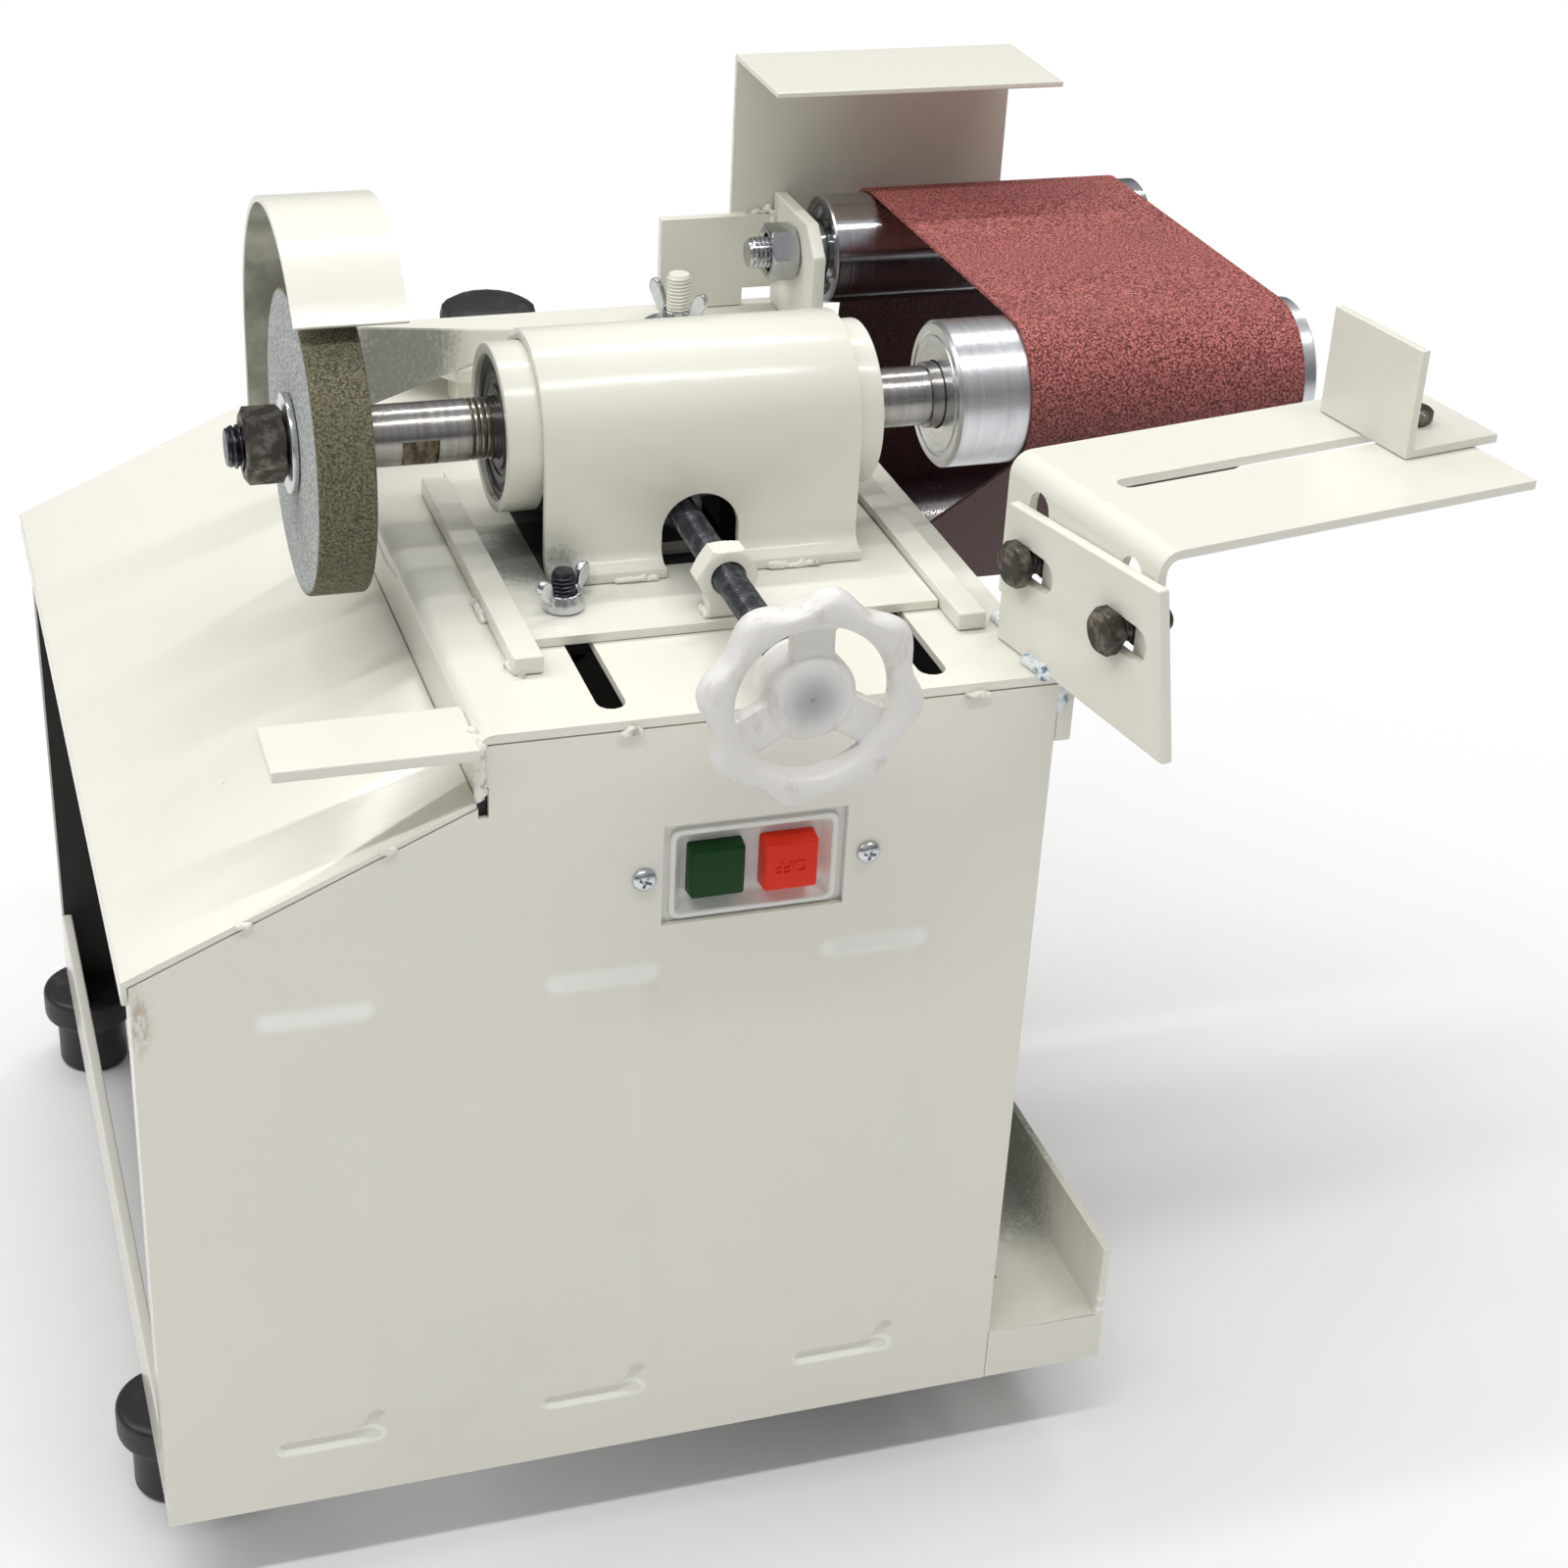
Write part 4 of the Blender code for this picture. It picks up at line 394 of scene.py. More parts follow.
WELD = painted_weld("painted_weld", tint(0.81, 0.80, 0.73), tint(0.46, 0.45, 0.40))
BLUED = painted_weld("stained_weld", tint(0.76, 0.80, 0.80), tint(0.10, 0.19, 0.30))
print(CREAM.material.name, RUNNY.material.name, WELD.material.name, BLUED.material.name)

# %% [markdown]
# ## Turned metal
#
# A lathe leaves rings: lines along a cylinder and circles on an end face. Both come from one number,
# the place along the axis plus the distance from it, so a single noise on that number marks every face
# alike.


# %% Turned metal
def turned_metal(name, slot, centre, light, dark, rough, stain, cut_r=0.0):
    """Bright metal about an axis along X; whatever lies inside cut_r is a rough, rusty cut."""
    made = Finish(name, slot, Metallic=1.0)
    spot = made.spot
    out = spot.reach(centre, AXIS_MASK)
    lane = spot.part(0) + out
    fine = lane.lines(4200, 3)
    broad = lane.lines(420, 2)
    scuff = spot.noise(75, 5, 0.65)
    patch = spot.noise(48, 4).step(0.58, 0.74)
    colour = broad.mix(light, dark)
    colour = (stain * patch).mix(colour, tint(0.20, 0.14, 0.09))
    dull = stain * (0.16 * scuff.step(0.5, 0.7) + 0.3 * patch)
    cut = out.below(cut_r)
    rust = spot.stretch(1, 0.4, 0.4).noise(420, 4, 0.7).step(0.35, 0.65)
    colour = cut.mix(colour, rust.mix(tint(0.10, 0.075, 0.05), tint(0.30, 0.25, 0.19)))
    made.feed(Base_Color=colour, Roughness=rough + 0.14 * fine + dull + 0.22 * cut)
    return made.bump(fine + 0.6 * broad + 8.0 * cut * rust, 0.00003)


SHAFT_R = 0.010
STEEL = turned_metal("spindle_steel", "bright_steel", SPINDLE, tint(0.46, 0.45, 0.44), tint(0.27, 0.26, 0.24),
                     0.15, 0.75, SHAFT_R - 0.0003)
ALUMINIUM = turned_metal("roller_aluminium", "turned_aluminium", SPINDLE, tint(0.76, 0.77, 0.79),
                         tint(0.55, 0.56, 0.58), 0.22, 0.22)
REAR_STEEL = turned_metal("rear_idler_steel", "bright_steel", REAR, tint(0.55, 0.56, 0.58),
                          tint(0.42, 0.43, 0.45), 0.06, 0.08)
LOWER_STEEL = turned_metal("lower_idler_steel", "bright_steel", LOWER, tint(0.68, 0.68, 0.69),
                           tint(0.55, 0.55, 0.57), 0.16, 0.20)
print("turned finishes about", [tuple(round(v, 3) for v in axis) for axis in (SPINDLE, REAR, LOWER)])

# %% [markdown]
# ## Fastener finishes
#
# Nuts and bolts come black-oiled or zinc plated. Black oxide is worn brown in patches; zinc shows a
# faint crystal pattern and a cold blue cast.


# %% Fastener finishes
def dark_oxide(name, light, dark, rough, crest=None):
    """Oiled black steel. The last argument is an axis, its mask and the radii between which a thread's crests
    turn bright, from wear and from a painted highlight.
    """
    made = Finish(name, "dark_oxide", Metallic=0.85)
    spot = made.spot
    worn = spot.noise(190, 5, 0.65).step(0.42, 0.70)
    if crest:
        axis, mask, valley, top = crest
        # Brighter crests: partly wear, partly a painted highlight that shows the thread.
        worn = (0.25 + 0.5 * worn) * spot.reach(axis, mask).step(valley, top)
    made.feed(Base_Color=worn.mix(dark, light), Roughness=rough - 0.16 * worn)
    return made.bump(spot.noise(900, 3), 0.00006)


def zinc_plate():
    made = Finish("zinc_plating", "zinc_plate", Metallic=1.0)
    spot = made.spot
    crystal = spot.cells(420)
    cloud = spot.noise(110, 4)
    colour = cloud.mix(tint(0.72, 0.74, 0.76), tint(0.52, 0.55, 0.57))
    made.feed(Base_Color=colour, Roughness=0.14 + 0.10 * crystal + 0.12 * cloud)
    return made.bump(spot.noise(800, 2), 0.00004)


SCREW_R = 0.005
SCREW_DEEP = 0.0012
OXIDE = dark_oxide("oiled_black_steel", tint(0.25, 0.22, 0.19), tint(0.065, 0.058, 0.052), 0.42)
FEED = dark_oxide("feed_thread", tint(0.34, 0.35, 0.38), tint(0.012, 0.013, 0.017), 0.38,
                  (SCREW, (1, 0, 1), SCREW_R - 0.8 * SCREW_DEEP, SCREW_R))
BLACK = dark_oxide("black_thread", tint(0.13, 0.135, 0.155), tint(0.030, 0.032, 0.040), 0.36)
ZINC = zinc_plate()
print(OXIDE.material.name, FEED.material.name, BLACK.material.name, ZINC.material.name)

# %% [markdown]
# ## Stone and grit
#
# The wheel is bonded grit: its side is pale and speckled, its rim is dressed to an olive brown. The
# belt is resin-bonded grit on cloth. Voronoi cells stand for grains, small enough that they read as
# texture.

# %% Stone and grit
def grinding_stone():
    made = Finish("bonded_stone", "grinding_stone")
    spot = made.spot
    grain = spot.cells(1400)
    speck = spot.noise(1150, 2, 0.7)
    rim = spot.reach(SPINDLE, AXIS_MASK).step(WHEEL_R - 0.0016, WHEEL_R - 0.0004)
    side = speck.step(0.32, 0.68).mix(tint(0.22, 0.235, 0.23), tint(0.66, 0.68, 0.67))
    dressed = speck.step(0.32, 0.68).mix(tint(0.060, 0.054, 0.030), tint(0.235, 0.215, 0.140))
    made.feed(Base_Color=rim.mix(side, dressed), Roughness=0.78 + 0.18 * grain)
    return made.bump(grain + speck, 0.00035)


def abrasive_grit():
    made = Finish("abrasive_grit", "abrasive_cloth")
    spot = made.spot
    grain = spot.cells(1300)
    speck = spot.noise(1150, 2, 0.6)
    patch = spot.noise(26, 4)
    colour = speck.step(0.38, 0.60).mix(tint(0.120, 0.017, 0.017), tint(0.50, 0.145, 0.130))
    # Painted glints: pale specks on the grains stand in for their reflections.
    painted_glint = (speck * (1 - grain)).step(0.40, 0.50)
    colour = (painted_glint * 0.85).mix(colour, tint(0.72, 0.42, 0.38))
    colour = (patch.step(0.5, 0.75) * 0.22).mix(colour, tint(0.10, 0.03, 0.03))
    # Painted shade: the grit darkens towards the bottom of the loop.
    painted_low_shade = 1 - spot.part(2).step(SPINDLE.z - 0.034, SPINDLE.z + 0.024)
    colour = (painted_low_shade * 0.88).mix(colour, tint(0.024, 0.005, 0.005))
    made.feed(Base_Color=colour, Roughness=0.62 + 0.25 * grain)
    return made.bump(speck - grain, 0.0004)


def belt_cloth():
    made = Finish("belt_backing", "abrasive_cloth")
    spot = made.spot
    weave = spot.stretch(1, 0.25, 0.25).noise(1500, 2)
    colour = weave.mix(tint(0.010, 0.005, 0.004), tint(0.028, 0.013, 0.010))
    made.feed(Base_Color=colour, Roughness=0.75 + 0.15 * weave)
    return made.bump(weave, 0.00015)


def belt_edge():
    made = Finish("belt_cut_edge", "abrasive_cloth")
    fray = made.spot.noise(900, 3)
    colour = fray.mix(tint(0.60, 0.36, 0.30), tint(0.36, 0.15, 0.12))
    made.feed(Base_Color=colour, Roughness=0.8 + 0.1 * fray)
    return made.bump(fray, 0.0002)


STONE = grinding_stone()
GRIT = abrasive_grit()
CLOTH = belt_cloth()
CUT_EDGE = belt_edge()
print("wheel radius", round(WHEEL_R, 4))

# %% [markdown]
# ## Rubber and plastics
#
# Feet and knob are black moulded rubber with a dusting of workshop grey. The handwheel is natural
# nylon: light goes into it, so it has some subsurface scattering, and handling has left brown smears in
# its hollows.


# %% Rubber and plastics
def black_rubber():
    made = Finish("moulded_rubber", "black_rubber")
    dust = made.spot.noise(90, 5, 0.6).step(0.52, 0.78)
    made.feed(Base_Color=dust.mix(tint(0.010, 0.010, 0.011), tint(0.045, 0.043, 0.040)),
              Roughness=0.42 + 0.3 * dust)
    return made.bump(made.spot.noise(1100, 2), 0.00006)


def white_nylon():
    made = Finish("natural_nylon", "white_nylon", Subsurface_Weight=0.06, Subsurface_Scale=0.002)
    spot = made.spot
    flow = spot.stretch(1, 2.5, 1).noise(95, 4, 0.6)
    smear = spot.stretch(1.6, 1, 0.7).noise(75, 5, 0.7).step(0.52, 0.74)
    # Painted shade on the front of the hub, standing in for the dark screw seen through the nylon.
    screw = 1 - spot.reach(SCREW, (1, 0, 1)).step(0.001, 0.0125)
    ahead = spot.part(1).below(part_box("feed_screw")[0].y + 0.002)
    colour = flow.mix(tint(0.83, 0.82, 0.795), tint(0.72, 0.705, 0.67))
    colour = (smear * 0.5).mix(colour, tint(0.46, 0.36, 0.26))
    colour = (screw * ahead * 0.75).mix(colour, tint(0.27, 0.275, 0.30))
    made.feed(Base_Color=colour, Roughness=0.26 + 0.16 * flow + 0.15 * smear)
    return made.bump(flow + 0.3 * spot.noise(600, 2), 0.00035)


def moulded(name, slot, light, dark, rough, shine=0.5):
    made = Finish(name, slot, Specular_IOR_Level=shine)
    grain = made.spot.noise(1400, 2)
    wear = made.spot.noise(140, 4, 0.6)
    made.feed(Base_Color=wear.mix(light, dark), Roughness=rough + 0.14 * wear)
    return made.bump(grain, 0.00003)


RUBBER = black_rubber()
NYLON = white_nylon()
BEZEL = moulded("switch_white", "white_plastic", tint(0.83, 0.83, 0.80), tint(0.76, 0.76, 0.72), 0.30)
GREEN = moulded("key_green", "green_plastic", tint(0.001, 0.050, 0.003), tint(0.001, 0.032, 0.002), 0.28, 0.2)
RED = moulded("key_red", "red_plastic", tint(0.84, 0.036, 0.010), tint(0.74, 0.024, 0.006), 0.26, 0.2)
MOTOR = moulded("motor_enamel", "motor_paint", tint(0.13, 0.145, 0.155), tint(0.09, 0.10, 0.11), 0.42)


def bearing_seal():
    made = Finish("pressed_seal", "bearing_seal", Metallic=0.1)
    ring = made.spot.reach(SPINDLE, AXIS_MASK).lines(900, 1)
    grease = made.spot.noise(120, 4)
    colour = (ring * grease).step(0.15, 0.5).mix(tint(0.012, 0.012, 0.013), tint(0.075, 0.073, 0.070))
    made.feed(Base_Color=colour, Roughness=0.25 + 0.3 * grease)
    return made.bump(ring, 0.0002)


SEAL = bearing_seal()
print("plastics", [f.material.name for f in (RUBBER, NYLON, BEZEL, GREEN, RED, MOTOR, SEAL)])

# %% [markdown]
# ## Stage
#
# The machine stands on a pale floor under two long ceiling tubes, whose reflections run along the arch
# and the rollers. The floor near the machine is lit, so it holds the shadow; further out it turns into
# the same white as the world, so no horizon shows. Only the camera sees that white: metal reflects a
# dim room with a bright ceiling.

# %% Floor
FLOOR_R = 8.0
FADE_START = 0.30
FADE_END = 0.75
FLOOR_WHITE = 0.92


def seen(wire):
    """One for the camera's own rays, which should meet plain white."""
    return wire.node("ShaderNodeLightPath", out="Is Camera Ray")


shape = bmesh.new()
bmesh.ops.create_circle(shape, cap_ends=True, segments=64, radius=FLOOR_R)
floor_mesh = bpy.data.meshes.new("floor")
shape.to_mesh(floor_mesh)
shape.free()
floor = bpy.data.objects.new("floor", floor_mesh)
bpy.context.scene.collection.objects.link(floor)

floor_finish = bpy.data.materials.new("floor_white")
floor_finish.use_nodes = True
tree = floor_finish.node_tree
surface = tree.nodes["Principled BSDF"]
surface.inputs["Base Color"].default_value = tint(FLOOR_WHITE, FLOOR_WHITE, FLOOR_WHITE)
surface.inputs["Roughness"].default_value = 0.9
spot = Wire(tree.nodes.new("ShaderNodeTexCoord").outputs["Object"])
fade = spot.reach((0, 0, 0), (1, 1, 0)).step(FADE_START, FADE_END)
glow = spot.node("ShaderNodeEmission", Strength=1.0)
joined = spot.node("ShaderNodeMixShader", in_0=fade * seen(spot), in_1=Wire(surface.outputs[0]), in_2=glow)
tree.links.new(joined.socket, tree.nodes["Material Output"].inputs["Surface"])
floor_mesh.materials.append(floor_finish)

# %% World
WORLD_LOW = 0.11
WORLD_HIGH = 0.50
world = bpy.data.worlds.new("studio")
bpy.context.scene.world = world
world.use_nodes = True
tree = world.node_tree
sky = tree.nodes["Background"]
ray = Wire(tree.nodes.new("ShaderNodeTexCoord").outputs["Generated"])
height = ray.part(2).step(0.0, 0.8)
soft = height.mix(tint(WORLD_LOW, WORLD_LOW, WORLD_LOW), tint(WORLD_HIGH, WORLD_HIGH, WORLD_HIGH))
tree.links.new(seen(ray).mix(soft, tint(1, 1, 1)).socket, sky.inputs["Color"])
sky.inputs["Strength"].default_value = 1.0
print("floor fades to white from", FADE_START, "to", FADE_END, "m")

# %% Lamps
AIM = Vector((0, 0, 0.25))


def lamp(name, at, size, power):
    made = bpy.data.lights.new(name, "AREA")
    made.shape = "RECTANGLE"
    made.size, made.size_y = size
    made.energy = power
    held = bpy.data.objects.new(name, made)
    held.location = at
    held.rotation_euler = (AIM - Vector(at)).to_track_quat("-Z", "Y").to_euler()
    bpy.context.scene.collection.objects.link(held)


lamp("tube_behind", (0.0, 0.75, 2.3), (2.6, 0.10), 20)
lamp("tube_ahead", (0.0, -0.85, 2.3), (2.6, 0.10), 22)
lamp("left_fill", (-1.7, 0.2, 1.9), (1.4, 1.4), 16)
lamp("front_fill", (-0.6, -2.4, 1.3), (2.2, 1.4), 1.5)
print("lamps", len(bpy.data.lights))

# %% [markdown]
# ## Making meshes
#
# A few helpers make most pieces. One takes a plain solid of the frame, joins its loose triangles and
# rounds its edges, because a real edge always catches a thin line of light. The others turn a profile,
# extrude an outline, and fuse rough shapes into one smooth casting.

# %% Pieces and rounded edges
SMOOTH_ANGLE = math.radians(32)
EDGE_ANGLE = math.radians(24)
FLAT_ANGLE = math.radians(0.6)
WELD_DISTANCE = 0.000004
ON_AXIS = 1e-7


def to_mesh(shape, name="mesh"):
    mesh = bpy.data.meshes.new(name)
    shape.to_mesh(mesh)
    shape.free()
    return mesh


def to_shape(mesh):
    shape = bmesh.new()
    shape.from_mesh(mesh)
    return shape


def piece(name, mesh, finishes, body, *stands_for):
    """Show a mesh as a piece of a body, in place of the solids named."""
    mesh.materials.clear()
    for finish in finishes:
        mesh.materials.append(finish.material)
    mesh.shade_smooth()
    mesh.set_sharp_from_angle(angle=SMOOTH_ANGLE)
    made = bpy.data.objects.new(name, mesh)
    bpy.context.scene.collection.objects.link(made)
    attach(made, body)
    if stands_for:
        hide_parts(*stands_for)
    print(name, len(mesh.polygons), "faces on", body)
    return made


def dress(node, shape, *finishes):
    """Show a shape, or a mesh, in place of one solid and on the body of that solid."""
    mesh = to_mesh(shape) if isinstance(shape, bmesh.types.BMesh) else shape
    return piece(f"{node}_finished", mesh, finishes, body_of[node], node)


def ease(shape, width, steps=2, flatten=True):
    """Join flat faces, which flatten=False leaves out where they ring a hole, and round the edges."""
    bmesh.ops.remove_doubles(shape, verts=shape.verts, dist=WELD_DISTANCE)
    if flatten:
        bmesh.ops.dissolve_limit(shape, angle_limit=FLAT_ANGLE, verts=shape.verts, edges=shape.edges)
    sharp = [e for e in shape.edges if len(e.link_faces) == 2 and e.calc_face_angle(0) > EDGE_ANGLE]
    bmesh.ops.bevel(shape, geom=sharp, offset=width, offset_type="OFFSET", segments=steps, profile=0.5,
                    affect="EDGES", clamp_overlap=True)
    return shape


def even(mesh):
    """Let the large faces rule the shading, so that a flat sheet looks flat up to its rounded edge."""
    mesh.shade_smooth()
    mesh.set_sharp_from_angle(angle=SMOOTH_ANGLE)
    return finished(mesh, ("WEIGHTED_NORMAL", {"keep_sharp": True, "weight": 100}))


def eased(node, finish, width, flatten=True):
    """A solid of the frame with rounded edges."""
    shape = ease(to_shape(nodes[node].data), width, flatten=flatten)
    return dress(node, even(to_mesh(shape)), finish)


# %% Moves
def moved(shape, matrix):
    bmesh.ops.transform(shape, matrix=matrix, verts=shape.verts)
    return shape


def stand(shape, at, axis):
    """Move a shape that was made along +Z to a point and an axis."""
    turned_to = Vector(axis).to_track_quat("Z", "X").to_matrix().to_4x4()
    return moved(shape, Matrix.Translation(at) @ turned_to)


def upright(slab_shape, start):
    """Turn a slab so that its outline stands in the XZ plane and its thickness runs along +Y."""
    moved(slab_shape, Matrix(((1, 0, 0, 0), (0, 0, 1, start), (0, 1, 0, 0), (0, 0, 0, 1))))
    bmesh.ops.recalc_face_normals(slab_shape, faces=slab_shape.faces)
    return slab_shape


def on_axis(axis, x):
    """The point of an axis along X at a place."""
    return (x, axis.y, axis.z)


# %% Outlines and rings
def arc(radius, start, stop, steps):
    """Points of a round stretch about the origin."""
    turns = (start + (stop - start) * i / steps for i in range(steps + 1))
    return [(radius * math.cos(a), radius * math.sin(a)) for a in turns]


def fillet(points, size, steps=4):
    """Round every corner of a closed outline."""
    rounded = []
    count = len(points)
    for i, corner in enumerate(points):
        here = Vector(corner)
        back = Vector(points[i - 1]) - here
        ahead = Vector(points[(i + 1) % count]) - here
        cut = min(size, 0.49 * back.length, 0.49 * ahead.length)
        first = here + back.normalized() * cut
        last = here + ahead.normalized() * cut
        for k in range(steps + 1):
            t = k / steps
            rounded.append(tuple((1 - t) ** 2 * first + 2 * t * (1 - t) * here + t * t * last))
    return rounded


def collar(bore, radius, length, edge, steps=3):
    """Profile of a ring with broken edges."""
    return fillet([(bore, 0), (radius, 0), (radius, length), (bore, length)], edge, steps)


def circle(shape, steps, height, radius):
    """A ring of points whose radius is a function of the angle."""
    ring = []
    for i in range(steps):
        a = 2 * math.pi * i / steps
        r = radius(a)
        ring.append(shape.verts.new((r * math.cos(a), r * math.sin(a), height)))
    return ring


def bridge(shape, low, high):
    """Quads between two rings of as many points."""
    for i, start in enumerate(low):
        j = (i + 1) % len(low)
        shape.faces.new((start, low[j], high[j], high[i]))


# %% Turned and extruded shapes
def lathe(profile, steps=96, ripple=(0, 0.0), marks=None):
    """Turn a closed outline of (radius, height) points about Z; a point on the axis closes to a pole."""
    shape = bmesh.new()
    waves, depth = ripple
    rings = []
    for radius, height in profile:
        if radius < ON_AXIS:
            rings.append([shape.verts.new((0, 0, height))] * steps)
        else:
            rings.append(circle(shape, steps, height, lambda a: radius + depth * math.cos(waves * a)))
    for k, ring in enumerate(rings):
        after = rings[(k + 1) % len(rings)]
        for i in range(steps):
            j = (i + 1) % steps
            corners = list(dict.fromkeys((ring[i], ring[j], after[j], after[i])))
            if len(corners) > 2:
                face = shape.faces.new(corners)
                face.material_index = marks[k] if marks else 0
    bmesh.ops.recalc_face_normals(shape, faces=shape.faces)
    return shape


def slab(outline, height):
    """Extrude a closed outline in the XY plane upwards."""
    shape = bmesh.new()
    face = shape.faces.new([shape.verts.new((u, v, 0)) for u, v in outline])
    grown = bmesh.ops.extrude_face_region(shape, geom=[face])
    lifted = [g for g in grown["geom"] if isinstance(g, bmesh.types.BMVert)]
    bmesh.ops.translate(shape, vec=(0, 0, height), verts=lifted)
    bmesh.ops.recalc_face_normals(shape, faces=shape.faces)
    return shape


def block(lo, hi):
    shape = bmesh.new()
    bmesh.ops.create_cube(shape, size=1.0)
    bmesh.ops.scale(shape, vec=Vector(hi) - Vector(lo), verts=shape.verts)
    bmesh.ops.translate(shape, vec=(Vector(hi) + Vector(lo)) / 2, verts=shape.verts)
    return shape


def join(*shapes):
    """Put several shapes into one."""
    whole = bmesh.new()
    for shape in shapes:
        whole.from_mesh(to_mesh(shape))
    return whole


# %% Castings and cuts
def plain(held):
    """The mesh of an object with its modifiers applied; the object is removed."""
    bpy.context.view_layer.update()
    result = bpy.data.meshes.new_from_object(held.evaluated_get(bpy.context.evaluated_depsgraph_get()))
    bpy.data.objects.remove(held, do_unlink=True)
    return result


def finished(mesh, *steps):
    """Apply modifiers, given as (type, settings), and return the plain mesh."""
    held = bpy.data.objects.new("work", mesh)
    bpy.context.scene.collection.objects.link(held)
    for kind, settings in steps:
        made = held.modifiers.new(kind.lower(), kind)
        for key, value in settings.items():
            setattr(made, key, value)
    return plain(held)


def fused(mesh, voxel, smooth):
    """Melt rough shapes into one skin and smooth it."""
    return finished(mesh, ("REMESH", {"mode": "VOXEL", "voxel_size": voxel}),
                    ("SMOOTH", {"factor": 0.5, "iterations": smooth}))


def carved(mesh, cutter):
    """Cut a shape out of a mesh."""
    tool = bpy.data.objects.new("tool", to_mesh(cutter))
    bpy.context.scene.collection.objects.link(tool)
    result = finished(mesh, ("BOOLEAN", {"operation": "DIFFERENCE", "solver": "EXACT", "object": tool}))
    bpy.data.objects.remove(tool, do_unlink=True)
    return result


# %% [markdown]
# ## Sheet and bar pieces
#
# Panels, bars, brackets and guards keep the shape of their solids. Each gets rounded edges; thick flat
# bar has a softer edge than sheared sheet.

# %% Sheet and bar pieces
SHEET_EDGE = 0.00045
BAR_EDGE = 0.0008
for node in ("back_panel", "right_wall", "sloped_cover", "saddle_plate", "motor_hanger", "back_guard",
             "wheel_guard", "work_rest", "fence", "arm_plate"):
    eased(node, CREAM, SHEET_EDGE)
for node in ("left_rail", "tool_rest", "guide_bar_left", "guide_bar_right", "arm_block",
             "idler_bracket", "mount_plate"):
    eased(node, CREAM, BAR_EDGE)
eased("base_frame", RUNNY, BAR_EDGE, flatten=False)
eased("v_belt", RUBBER, SHEET_EDGE)

# %% [markdown]
# ## Top plate and its stud
#
# The stud of the sliding arm is welded to the top plate. Its solid is a plain pin, so the pin is cut
# off just above the washer and a threaded end is set on the stump.

# %% Top plate and its stud
stud_at = middle("arm_washer")
stud_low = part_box("arm_washer")[1].z + 0.002
stud_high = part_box("top_plate")[1].z
ARM_STUD_R = 0.0046
PIN_REACH = 0.007
PIN_FOOT = 0.001
plate = to_shape(nodes["top_plate"].data)
bmesh.ops.remove_doubles(plate, verts=plate.verts, dist=WELD_DISTANCE)


def on_pin(face):
    centre = face.calc_center_median()
    return (centre - stud_at).xy.length < PIN_REACH and centre.z > TOP + PIN_FOOT


def with_edges(faces):
    """Faces with their edges and corners, as a cut takes them."""
    return list({part for face in faces for part in (face, *face.edges, *face.verts)})


near = with_edges(face for face in plate.faces if on_pin(face))
cut = bmesh.ops.bisect_plane(plate, geom=near, plane_co=(0, 0, stud_low), plane_no=ALONG_Z, clear_outer=True,
                             dist=WELD_DISTANCE)
rim_edges = [g for g in cut["geom_cut"] if isinstance(g, bmesh.types.BMEdge)]
bmesh.ops.contextual_create(plate, geom=rim_edges)
dress("top_plate", even(to_mesh(ease(plate, SHEET_EDGE))), CREAM)

# %% [markdown]
# ## Front panel
#
# Three tall stiffeners are pressed into the front sheet. Their ends show as soft bars, the lower ones
# with a hook at the right corner. Such a pressing has no edges, so the sheet is a fine grid whose
# height is a formula, and Solidify gives it thickness afterwards.

# %% Shape of the pressing
COARSE = 0.0034
FINE = 0.0007
HOOK = 0.007
LOW_DEEP = 0.0016
LOW_FLOOR = 0.0013
LOW_RIM = 0.0032
HIGH_OUT = 0.0013
HIGH_HALF = 0.0024
HIGH_FALL = 0.020
HIGH_END = 0.004
RIDGE_OUT = 0.0005
RIDGE_HALF = 0.0042
panel_top = TOP - 0.0036
SWITCH_X1 = RIGHT - 0.067
SWITCH_X0 = SWITCH_X1 - 0.0585
SWITCH_Z1 = TOP - 0.0383
SWITCH_Z0 = SWITCH_Z1 - 0.0347
RETURN_DEPTH = 0.014


def bell(distance, width):
    return math.exp(-((distance / width) ** 2))


def dish(distance, flat, rim):
    """One on a flat floor, falling to nothing at the rim."""
    t = max(0.0, min(1.0, (rim - distance) / (rim - flat)))
    return t * t * (3 - 2 * t)


def shelf(rise):
    """A slope that looks up at the light, on top of a long swell that hardly shows."""
    if rise < -HIGH_HALF:
        return bell(rise + HIGH_HALF, HIGH_FALL)
    return dish(rise + HIGH_HALF, 0.0, 2 * HIGH_HALF)


def to_segment(x, z, x0, z0, x1, z1):
    """Distance from a point to a straight stretch."""
    span = Vector((x1 - x0, z1 - z0))
    reach = Vector((x - x0, z - z0))
    t = max(0.0, min(1.0, reach.dot(span) / span.length_squared))
    return (reach - t * span).length


def pressed(x, z):
    """How far the sheet stands out at a place."""
    out = 0.0
    for centre in centres:
        if abs(x - centre) > BEAD_PITCH / 2 + FINE:
            continue
        low = BEAD_LOW
        x0, x1 = centre - BEAD_HALF, centre + BEAD_HALF
        bar = to_segment(x, z, x0, low, x1 - HOOK, low)
        hook = min(to_segment(x, z, x1 - HOOK, low, x1 - 0.3 * HOOK, low + 0.3 * HOOK),
                   to_segment(x, z, x1 - 0.3 * HOOK, low + 0.3 * HOOK, x1, low + 1.1 * HOOK))
        out -= LOW_DEEP * dish(min(bar, hook), LOW_FLOOR, LOW_RIM)
        along = dish(abs(x - centre), BEAD_HALF - HIGH_END, BEAD_HALF + HIGH_END)
        out += HIGH_OUT * along * shelf(z - BEAD_HIGH)
        out += RIDGE_OUT * bell(to_segment(x, z, x1, low + HOOK, x1, BEAD_HIGH), RIDGE_HALF)
    return out


